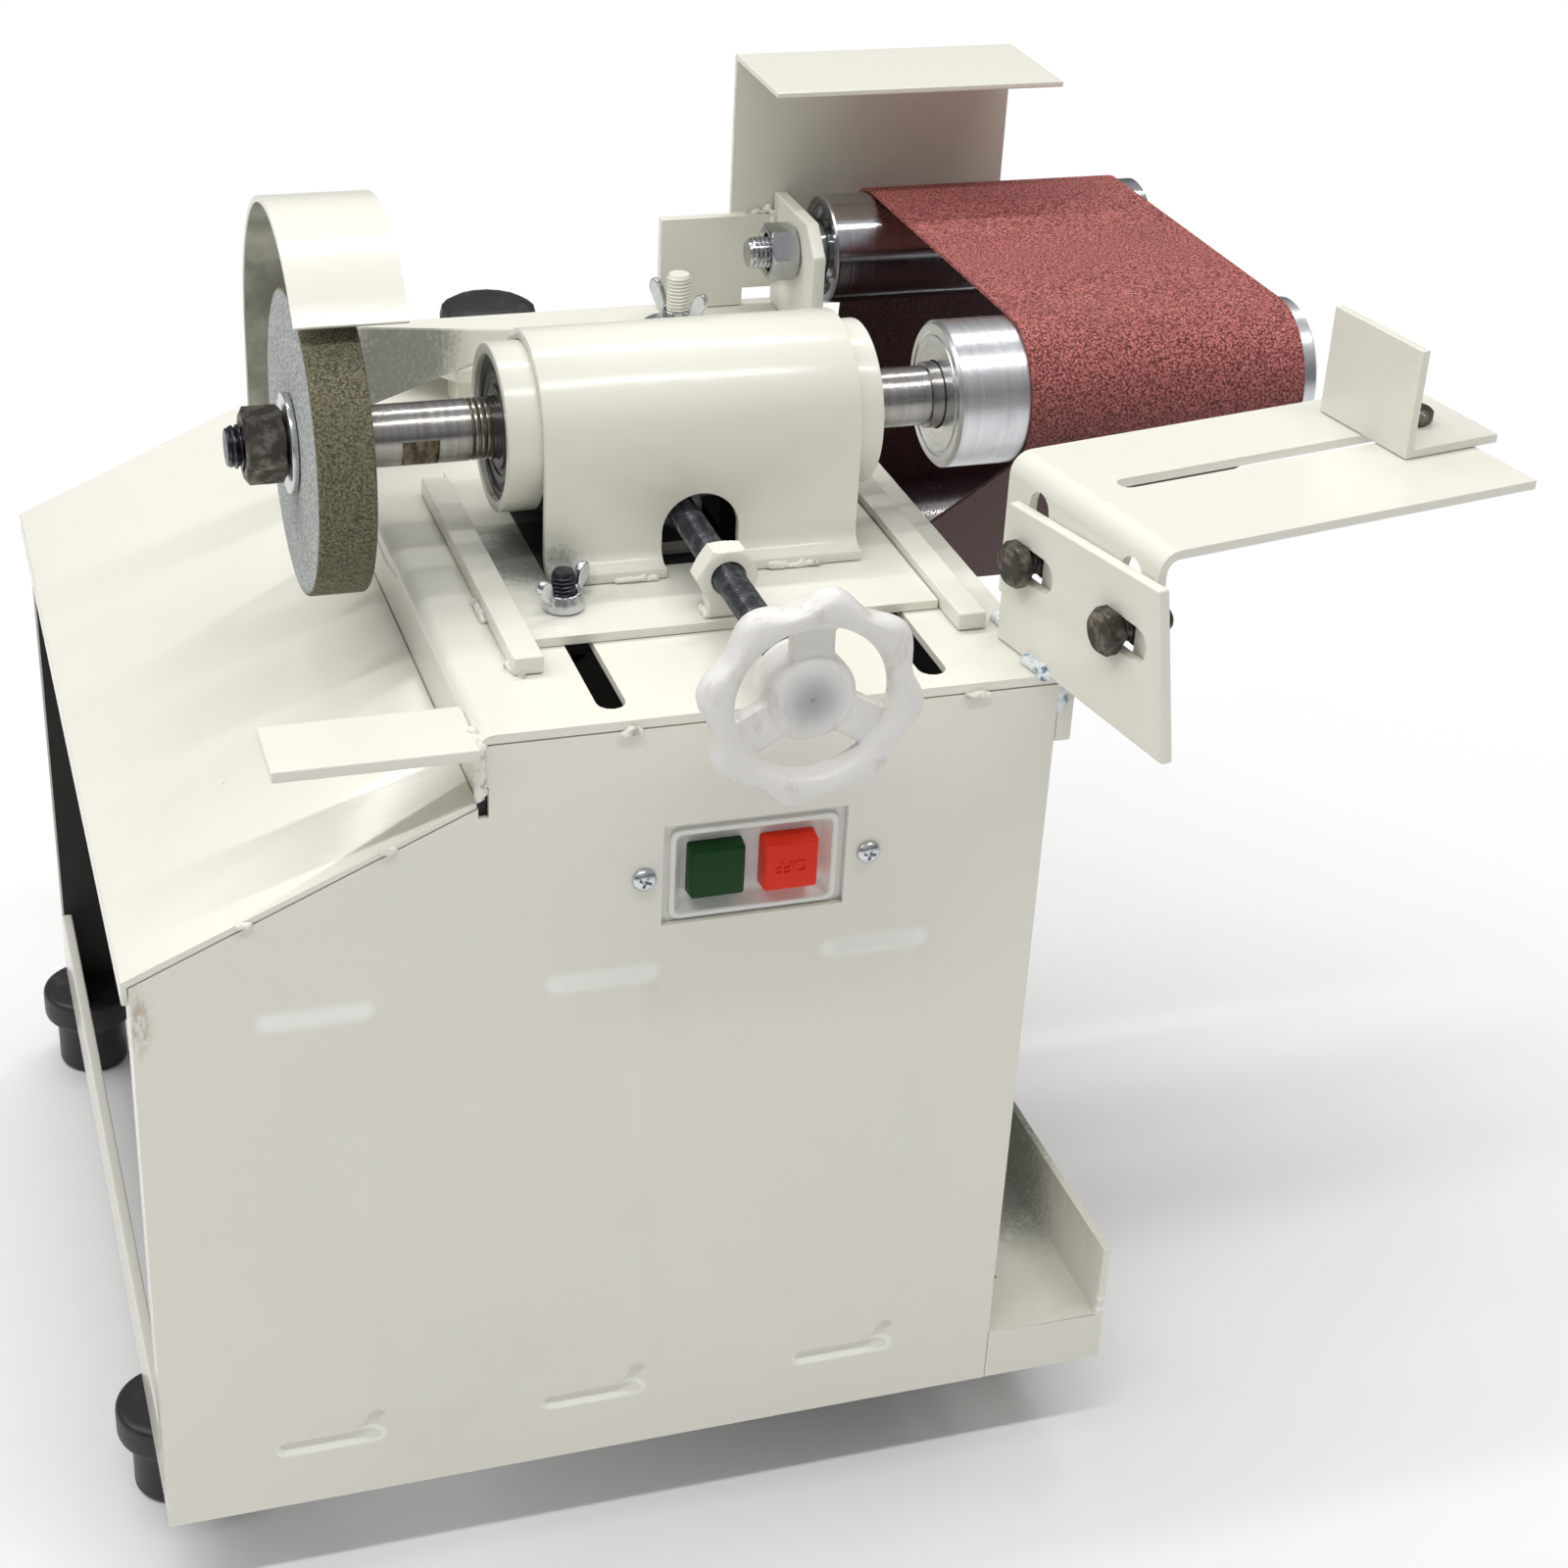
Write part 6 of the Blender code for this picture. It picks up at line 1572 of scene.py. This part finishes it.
def wing_nut(node, bore, span, top, turned_by):
    """A nut whose ears reach out to a span and up to a top."""
    at = middle(node)
    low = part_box(node)[0].z
    cone = lathe([(bore, 0.0), (0.0064, 0.0), (0.0068, 0.0006), (0.0066, 0.0030), (CONE_TOP, CONE_TOP),
                  (bore, CONE_TOP)], 64)
    tip = [(span - 0.0040, 0.0040), (span, top - 0.0040), (span - 0.0016, top), (span - 0.0052, top - 0.0016)]
    outline = fillet([(0.0050, 0.0014), *tip, (0.0056, 0.0054)], 0.0022, 5)
    ears = []
    for sign in (1, -1):
        ears.append(upright(slab([(sign * u, v) for u, v in outline], EAR_T), -EAR_T / 2))
    nut = to_shape(fused(to_mesh(join(cone, *ears)), WING_VOXEL, 3))
    placed = Matrix.Translation((at.x, at.y, low)) @ Matrix.Rotation(math.radians(turned_by), 4, "Z")
    dress(node, moved(nut, placed), ZINC)


CLAMP_NUT_BORE = CLAMP_R + SEAT
ARM_BORE = 0.0053
wing_nut("clamp_wing_nut", CLAMP_NUT_BORE, 0.0122, 0.0130, 37)
wing_nut("arm_wing_nut", ARM_BORE, 0.0144, 0.0152, -58)
lo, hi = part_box("arm_washer")
profile = collar(ARM_BORE, hi.x - stud_at.x, hi.z - lo.z, WASHER_EDGE)
washer = stand(lathe(profile), (stud_at.x, stud_at.y, lo.z), ALONG_Z)
dress("arm_washer", washer, ZINC)
stud = threaded(ARM_STUD_R, FINE_PITCH, stud_high - stud_low, THREAD_DEEP)
stud = stand(stud, (stud_at.x, stud_at.y, stud_low), ALONG_Z)
piece("arm_stud_thread", to_mesh(stud), [CREAM], "base")

# %% [markdown]
# ## Feet and knob
#
# The feet are moulded rubber bumpers with a wide head and a narrower body. The knob behind the arch has
# a fluted rim, which is a ripple on the turned radius.

# %% Feet
FOOT_R = 0.0140
FOOT_HEAD = 0.0128
FOOT_NECK = 0.0146
FOOT_EDGE = 0.0030
ROUND_STEPS = 5
for side in ("left", "right"):
    for end in ("front", "rear"):
        node = f"foot_{side}_{end}"
        lo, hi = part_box(node)
        at = middle(node)
        head = hi.x - at.x
        tall = hi.z - lo.z
        corners = [(head, tall), (head, tall - FOOT_HEAD), (FOOT_R, tall - FOOT_NECK), (FOOT_R, 0.0)]
        rounded = fillet(corners + [(0.0, 0.0), (0.0, tall)], FOOT_EDGE, ROUND_STEPS)
        rounded = rounded[:len(corners) * (ROUND_STEPS + 1)]
        foot = lathe([(0.0, tall), *rounded, (0.0, 0.0)], 64)
        dress(node, stand(foot, (at.x, at.y, lo.z), ALONG_Z), RUBBER)

# %% Knob
FLUTES = (18, 0.00012)
KNOB_STEM_R = 0.004
KNOB_PITCH = 0.00125
KNOB_DEEP = 0.0007
lo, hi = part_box("hanger_knob")
at = middle("hanger_knob")
crown = TOP + SEAT
tall = hi.z - crown
r = hi.x - at.x
upper = [(0.0, tall), (0.55 * r, tall), (r - 0.0045, tall - 0.0010), (r - 0.0012, tall - 0.0030)]
rim_side = [(r - 0.0004, tall - 0.0060), (r - 0.0004, 0.0040)]
under = [(r - 0.0020, 0.0012), (r - 0.0040, 0.0), (0.0, 0.0)]
grip = stand(lathe(upper + rim_side + under, 144, FLUTES), (at.x, at.y, crown), ALONG_Z)
stem = threaded(KNOB_STEM_R, KNOB_PITCH, crown - lo.z, KNOB_DEEP)
stem = stand(stem, (at.x, at.y, lo.z), ALONG_Z)
dress("hanger_knob", join(grip, stem), RUBBER)

# %% [markdown]
# ## Switch
#
# The switch sits behind a rectangular cut in the panel. Its white frame has round corners and a sloped
# well, and the keys stand in that well. Nested outlines, each at its own depth, give the frame in one
# skin.

# %% Switch
CORNER = 0.0032
GAP_X = 0.0021
GAP_Z = 0.0014
DROP = 0.0007
WELL = 0.0052


def rounded_loop(inset, radius, steps=6):
    """Points of a rounded rectangle, drawn in from the rim of the frame by an inset."""
    x0, x1 = SWITCH_X0 + GAP_X + inset, SWITCH_X1 - GAP_X - inset
    z0, z1 = SWITCH_Z0 + GAP_Z - DROP + inset, SWITCH_Z1 - GAP_Z - DROP - inset
    centres = ((x1 - radius, z0 + radius, -90), (x1 - radius, z1 - radius, 0),
               (x0 + radius, z1 - radius, 90), (x0 + radius, z0 + radius, 180))
    points = []
    for x, z, start in centres:
        for k in range(steps + 1):
            a = math.radians(start + 90 * k / steps)
            points.append((x + radius * math.cos(a), z + radius * math.sin(a)))
    return points


# Each row says how far in the outline lies, how much tighter its corners are and how deep it sits.
LEVELS = [(0.0, 0.0, 0.0415), (0.0, 0.0, 0.0016), (0.0003, 0.0002, 0.0010), (0.0008, 0.0004, 0.0008),
          (0.0016, 0.0008, 0.0008), (0.0020, 0.0010, 0.0011), (0.0023, 0.0012, 0.0019),
          (0.0042, 0.0016, WELL - 0.0005), (0.0050, 0.0018, WELL)]
shape = bmesh.new()
loops = []
for inset, tighter, depth in LEVELS:
    outline = rounded_loop(inset, CORNER - tighter)
    loops.append([shape.verts.new((x, FRONT + depth, z)) for x, z in outline])
for near, far in zip(loops, loops[1:]):
    bridge(shape, near, far)
shape.faces.new(loops[0])
shape.faces.new(loops[-1])
bmesh.ops.recalc_face_normals(shape, faces=shape.faces)
CARRIER_EDGE = 0.0004
carrier = block((SWITCH_X0 - 0.0125, FRONT + PANEL_T + SEAT, SWITCH_Z0 - 0.003),
                (SWITCH_X1 + 0.0145, FRONT + PANEL_T + 0.003, SWITCH_Z1 + 0.003))
window = block((SWITCH_X0 + GAP_X + 0.001, FRONT, SWITCH_Z0 + GAP_Z),
               (SWITCH_X1 - GAP_X - 0.001, FRONT + 0.02, SWITCH_Z1 - GAP_Z - 0.001))
carrier = carved(to_mesh(ease(carrier, CARRIER_EDGE)), window)
dress("switch_bezel", join(shape, to_shape(carrier)), BEZEL)

# %% [markdown]
# ## Keys
#
# Each key is a square block with soft edges that narrows a little towards its face. The red one carries
# a raised word, set upside down as on the machine.

# %% Keys
KEY_W = 0.0182
KEY_H = 0.0184
KEY_TAPER = 0.94
KEY_EDGE = 0.0010
KEY_FRONT = {"on_key": FRONT - 0.0006, "off_key": FRONT - 0.0015}
for node, finish in (("on_key", GREEN), ("off_key", RED)):
    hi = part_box(node)[1]
    centre = middle(node) - DROP * ALONG_Z
    key = block((centre.x - KEY_W / 2, KEY_FRONT[node], centre.z - KEY_H / 2),
                (centre.x + KEY_W / 2, hi.y, centre.z + KEY_H / 2))
    for vert in key.verts:
        if vert.co.y < centre.y:
            vert.co.x = centre.x + (vert.co.x - centre.x) * KEY_TAPER
            vert.co.z = centre.z + (vert.co.z - centre.z) * KEY_TAPER
    bmesh.ops.bevel(key, geom=list(key.edges), offset=KEY_EDGE, segments=4, profile=0.5, affect="EDGES",
                    clamp_overlap=True)
    dress(node, key, finish)

# %% Word on the red key
words = bpy.data.curves.new("off_word", "FONT")
words.body = "OFF"
words.size = 0.0058
words.extrude = 0.00030
words.bevel_depth = 0.00008
words.align_x = "CENTER"
words.align_y = "CENTER"
letters = bpy.data.objects.new("off_word", words)
bpy.context.scene.collection.objects.link(letters)
word = plain(letters)
at = middle("off_key")
word_at = Matrix.Translation((at.x, KEY_FRONT["off_key"] - 0.00005, at.z - 1.5 * DROP))
word.transform(word_at @ Matrix.Rotation(QUARTER, 4, "X") @ Matrix.Rotation(math.pi, 4, "Z"))
piece("off_key_word", word, [RED], "off_key")

# %% [markdown]
# ## Switch screws
#
# Each screw has a domed head with a cross recess. Two thin boxes are cut out of the turned head.

# %% Switch screws
HEAD_T = 0.0020
SHANK_R = 0.0015
CROSS_HALF = 0.00052
CROSS_REACH = 0.0021
CROSS_DEEP = 0.0013
for side, turned_by in (("left", 22), ("right", 8)):
    node = f"switch_screw_{side}"
    lo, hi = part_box(node)
    at = middle(node)
    start = (at.x, lo.y, at.z)
    r = hi.x - at.x
    dome = [(0, 0.0), (0.45 * r, 0.00010), (0.75 * r, 0.00045), (0.94 * r, 0.0011), (r, 0.0017), (r, HEAD_T)]
    shank = [(SHANK_R, HEAD_T), (SHANK_R, hi.y - lo.y), (0, hi.y - lo.y)]
    screw = to_mesh(stand(lathe(dome + shank, 64), start, ALONG_Y))
    for further in (0, QUARTER):
        arm = block((-CROSS_HALF, -0.0005, -CROSS_REACH), (CROSS_HALF, CROSS_DEEP, CROSS_REACH))
        turn = Matrix.Rotation(math.radians(turned_by) + further, 4, "Y")
        screw = carved(screw, moved(arm, Matrix.Translation(start) @ turn))
    dress(node, screw, ZINC)

# %% [markdown]
# ## Motor
#
# Behind the open left side hangs a small fan-cooled motor. Its ribs are one thin plate set many times
# round a circle, which Geometry Nodes do with a few named sizes; the end bells and fan cover are
# turned.

# %% Node trees
def new_tree(name, *sizes):
    """A geometry node tree with named inputs; returns it, its inputs' identifiers and their wires."""
    made = bpy.data.node_groups.new(name, "GeometryNodeTree")
    made.interface.new_socket("Geometry", in_out="INPUT", socket_type="NodeSocketGeometry")
    names = {}
    for label, kind in sizes:
        names[label] = made.interface.new_socket(label, in_out="INPUT", socket_type=kind).identifier
    made.interface.new_socket("Geometry", in_out="OUTPUT", socket_type="NodeSocketGeometry")
    start = made.nodes.new("NodeGroupInput")
    wires = {label: Wire(start.outputs[label]) for label in ("Geometry", *names)}
    return made, names, wires


def close_tree(made, wire, material):
    """End a tree with real geometry and a material."""
    real = wire.node("GeometryNodeRealizeInstances", Geometry=wire)
    painted = real.node("GeometryNodeSetMaterial", Geometry=real, Material=material)
    end = made.nodes.new("NodeGroupOutput")
    made.links.new(painted.socket, end.inputs[0])


def grown(tree, names, source, **values):
    """Run a tree on an object and return the plain mesh; the object is removed."""
    bpy.context.scene.collection.objects.link(source)
    modifier = source.modifiers.new("grow", "NODES")
    modifier.node_group = tree
    for label, value in values.items():
        modifier[names[label]] = value
    return plain(source)


# %% Motor ribs
FLOAT = "NodeSocketFloat"
INT = "NodeSocketInt"
motor_lo, motor_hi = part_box("motor")
motor = middle("motor")
MOTOR_R = motor_hi.z - motor.z
MOTOR_CORE = MOTOR_R - 0.0045
RIBS = 40
RIB_T = 0.0016
RIB_DEPTH = 0.0052
RIB_LENGTH = 0.074
RIB_START = 0.036
rib_sizes = (("Count", INT), ("Reach", FLOAT), ("Length", FLOAT), ("Depth", FLOAT))
rib_tree, rib_names, w = new_tree("motor_ribs", *rib_sizes)
spots = w["Reach"].node("GeometryNodeMeshCircle", Vertices=w["Count"], Radius=w["Reach"])
size = w["Reach"].node("ShaderNodeCombineXYZ", X=w["Depth"], Y=RIB_T, Z=w["Length"])
plate = size.node("GeometryNodeMeshCube", Size=size)
outward = w["Reach"].node("GeometryNodeInputPosition")
facing = outward.node("FunctionNodeAlignRotationToVector", {"axis": "X"}, Vector=outward)
ribs = spots.node("GeometryNodeInstanceOnPoints", Points=spots, Instance=plate, Rotation=facing)
close_tree(rib_tree, ribs, MOTOR.material)
source = bpy.data.objects.new("rib_source", bpy.data.meshes.new("rib_source"))
ribs = to_shape(grown(rib_tree, rib_names, source, Count=RIBS, Reach=MOTOR_CORE + 0.0018, Length=RIB_LENGTH,
                      Depth=RIB_DEPTH))

# %% Motor body
BELL_R = MOTOR_R - 0.003
BELL_END = 0.034
length = motor_hi.x - motor_lo.x
cover = length - 0.022
socket_end = length - 0.01
end_bell = [(0, 0.001), (0.012, 0.001), (0.014, 0), (MOTOR_R - 0.013, 0), (MOTOR_R - 0.006, 0.003)]
end_bell += [(BELL_R, 0.010), (BELL_R, BELL_END)]
core = [(MOTOR_CORE, BELL_END), (MOTOR_CORE, cover)]
fan_cover = [(MOTOR_R - 0.0025, cover), (BELL_R, length - 0.006), (MOTOR_R - 0.009, length)]
shaft_hole = [(0.0075, length), (0.0075, socket_end), (0, socket_end)]
body = lathe(end_bell + core + fan_cover + shaft_hole)
ribs = moved(ribs, Matrix.Translation((0, 0, RIB_START + RIB_LENGTH / 2)))
motor_shape = stand(join(body, ribs), on_axis(motor, motor_lo.x), ALONG_X)
dress("motor", motor_shape, MOTOR)

# %% [markdown]
# ## Weld beads
#
# The sheets are joined by short arc welds, painted over. A weld is a row of overlapping drops, so a
# tree sets drops of uneven size along a line, and a remesh then melts each row into one bead. The rows
# on the cabinet, the mount, the saddle and the arm are one piece each.

# %% Weld beads
SHAKE = 0.0005
SMALLEST = (0.7, 0.7, 0.6)
LARGEST = (1.25, 1.25, 1.1)
VECTORS = {"data_type": "FLOAT_VECTOR"}
bead_tree, bead_names, w = new_tree("weld_bead", ("Spacing", FLOAT), ("Drop", FLOAT), ("Seed", INT))
by_length = {"mode": "LENGTH"}
points = w["Geometry"].node("GeometryNodeResampleCurve", by_length, Curve=w["Geometry"], Length=w["Spacing"])
drop = points.node("GeometryNodeMeshIcoSphere", Radius=w["Drop"], Subdivisions=2)
uneven = points.node("FunctionNodeRandomValue", VECTORS, in_0=SMALLEST, in_1=LARGEST, Seed=w["Seed"])
drift = points.node("FunctionNodeRandomValue", VECTORS, in_0=(-SHAKE,) * 3, in_1=(SHAKE,) * 3, Seed=w["Seed"])
shaken = points.node("GeometryNodeSetPosition", Geometry=points, Offset=drift)
beads = shaken.node("GeometryNodeInstanceOnPoints", Points=shaken, Instance=drop, Scale=uneven)
close_tree(bead_tree, beads, WELD.material)

# %% Rows of beads
OVERLAP = 0.8
FIRST_SEED = 11
BEAD_VOXEL = 0.0005


def weld_line(points, drop, seed):
    """A row of drops along straight stretches."""
    curve = bpy.data.curves.new("weld_line", "CURVE")
    curve.dimensions = "3D"
    spline = curve.splines.new("POLY")
    spline.points.add(len(points) - 1)
    for place, point in zip(spline.points, points):
        place.co = (*point, 1)
    source = bpy.data.objects.new("weld_line", curve)
    return to_shape(grown(bead_tree, bead_names, source, Spacing=drop * OVERLAP, Drop=drop, Seed=seed))


def welds(name, body, rows, finish=WELD):
    """Several rows as one piece; each row holds the size of its drops and its points."""
    beads = join(*(weld_line(points, drop, FIRST_SEED + i) for i, (drop, points) in enumerate(rows)))
    piece(name, fused(to_mesh(beads), BEAD_VOXEL, 2), [finish], body)


def along_x(x0, x1, y, z):
    return [(x0, y, z), (x1, y, z)]


def along_y(x, y0, y1, z):
    return [(x, y0, z), (x, y1, z)]


def tack(x, y, z, run=0.003):
    """A short weld along X about a place."""
    return along_x(x - run / 2, x + run / 2, y, z)


def on_slope(share):
    """A place on the upper edge of the front, between its left side and the fold."""
    return (LEFT + (FOLD - LEFT) * share, FRONT - 0.0002, COVER_LEFT + COVER_RISE * share + 0.0016)


# %% Beads of the cabinet
left_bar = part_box("guide_bar_left")[0]
right_bar, right_bar_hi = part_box("guide_bar_right")
tool_lo, tool_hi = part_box("tool_rest")
base_rows = [
    (0.0016, tack(*on_slope(0.33))),
    (0.0016, tack(*on_slope(0.74))),
    (0.0020, tack(FOLD + 0.046, FRONT - 0.0002, TOP - 0.0036, 0.004)),
    (0.0018, tack(FOLD + 0.156, FRONT - 0.0002, TOP - 0.0036, 0.006)),
    (0.0021, [(FOLD + 0.0010, FRONT - 0.0004, TOP - 0.0070), (FOLD + 0.0004, FRONT - 0.0004, TOP - 0.0200)]),
    (0.0023, [(FOLD - 0.0002, tool_lo.y + 0.004, tool_hi.z - 0.0030),
              (FOLD - 0.0002, tool_lo.y + 0.012, tool_hi.z - 0.0006)]),
    (0.0018, along_y(FOLD - 0.0003, FRONT + 0.008, FRONT + 0.020, tool_lo.z - 0.0003)),
    (0.0015, along_y(left_bar.x - 0.0006, left_bar.y + 0.038, left_bar.y + 0.052, TOP + 0.0008)),
    (0.0015, [(left_bar.x - 0.0004, left_bar.y + 0.006, TOP + 0.0006),
              (left_bar.x + 0.003, left_bar.y - 0.0002, TOP + 0.0006)]),
    (0.0015, along_y(right_bar_hi.x + 0.0005, right_bar.y + 0.004, right_bar.y + 0.010, TOP + 0.0006)),
]
welds("welds_on_cabinet", "base", base_rows)
mount_lo, mount_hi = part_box("mount_plate")


def mount_x(back):
    """Left face of the mount, at a distance behind the front of the cabinet."""
    return mount_lo.x + (mount_hi.y - FRONT - back) * math.tan(REST_YAW) - 0.0008


mount_rows = [
    (0.0026, [(mount_x(0.0085), FRONT + 0.0085, TOP + 0.0014),
              (mount_x(0.0010), FRONT + 0.0010, TOP + 0.0018),
              (mount_x(-0.0010), FRONT - 0.0010, TOP + 0.0010)]),
    (0.0022, [(RIGHT + 0.0012, FRONT + 0.0004, TOP - 0.0030),
              (RIGHT + 0.0018, FRONT + 0.0008, TOP - 0.0130)]),
    (0.0024, [(RIGHT - 0.0060, FRONT + 0.0400, TOP + 0.0012),
              (RIGHT - 0.0050, FRONT + 0.0340, TOP + 0.0014)]),
]
welds("welds_on_mount", "base", mount_rows, BLUED)

# %% Beads of the saddle and the arm
foot_y = ARCH_LO.y - 0.0002
seam = SADDLE_TOP + 0.0012
saddle_rows = [
    (0.0014, along_x(ARCH_LO.x + 0.022, keyhole_x - KEYHOLE_R - 0.004, foot_y, seam)),
    (0.0014, along_x(keyhole_x + KEYHOLE_R + 0.009, ARCH_HI.x - 0.016, foot_y, seam)),
    (0.0016, [(SCREW.x - 0.0065, feed_lo.y + 0.002, seam), (SCREW.x - 0.0062, feed_hi.y - 0.001, seam)]),
]
welds("welds_on_saddle", "saddle", saddle_rows)

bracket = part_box("idler_bracket")[0]
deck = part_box("arm_plate")[1].z
tab_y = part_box("back_guard")[1].y - 0.0055
arm_rows = [
    (0.0017, [(bracket.x - 0.0008, tab_y, deck + 0.022), (bracket.x - 0.0008, tab_y, deck + 0.037)]),
    (0.0015, along_y(bracket.x - 0.0006, bracket.y + 0.006, bracket.y + 0.022, deck + 0.0004)),
    (0.0015, along_x(bracket.x - 0.042, bracket.x - 0.030, tab_y, deck + 0.0004)),
    (0.0016, [(bracket.x - 0.010, tab_y + 0.002, deck + 0.0365),
              (bracket.x - 0.002, tab_y + 0.002, deck + 0.0375)]),
]
welds("welds_on_arm", "arm", arm_rows)

# %% [markdown]
# ## Small tab
#
# A short end of flat bar hangs under the top plate's front right corner. It is a single bar with
# rounded edges.

# %% Small tab
TAB_EDGE = 0.0006
tab = block((RIGHT + SEAT, FRONT + 0.0002, TOP - 0.0240), (RIGHT + 0.0058, FRONT + 0.0042, TOP - 0.0034))
piece("corner_tab", to_mesh(ease(tab, TAB_EDGE)), [CREAM], "base")

# %% [markdown]
# ## Solids still shown
#
# Every solid that no finer piece stands for is still shown, and their names are printed.

# %% Solids still shown
left_over = sorted(name for name, made in nodes.items() if not made.hide_render)
print("solids still shown:", left_over)
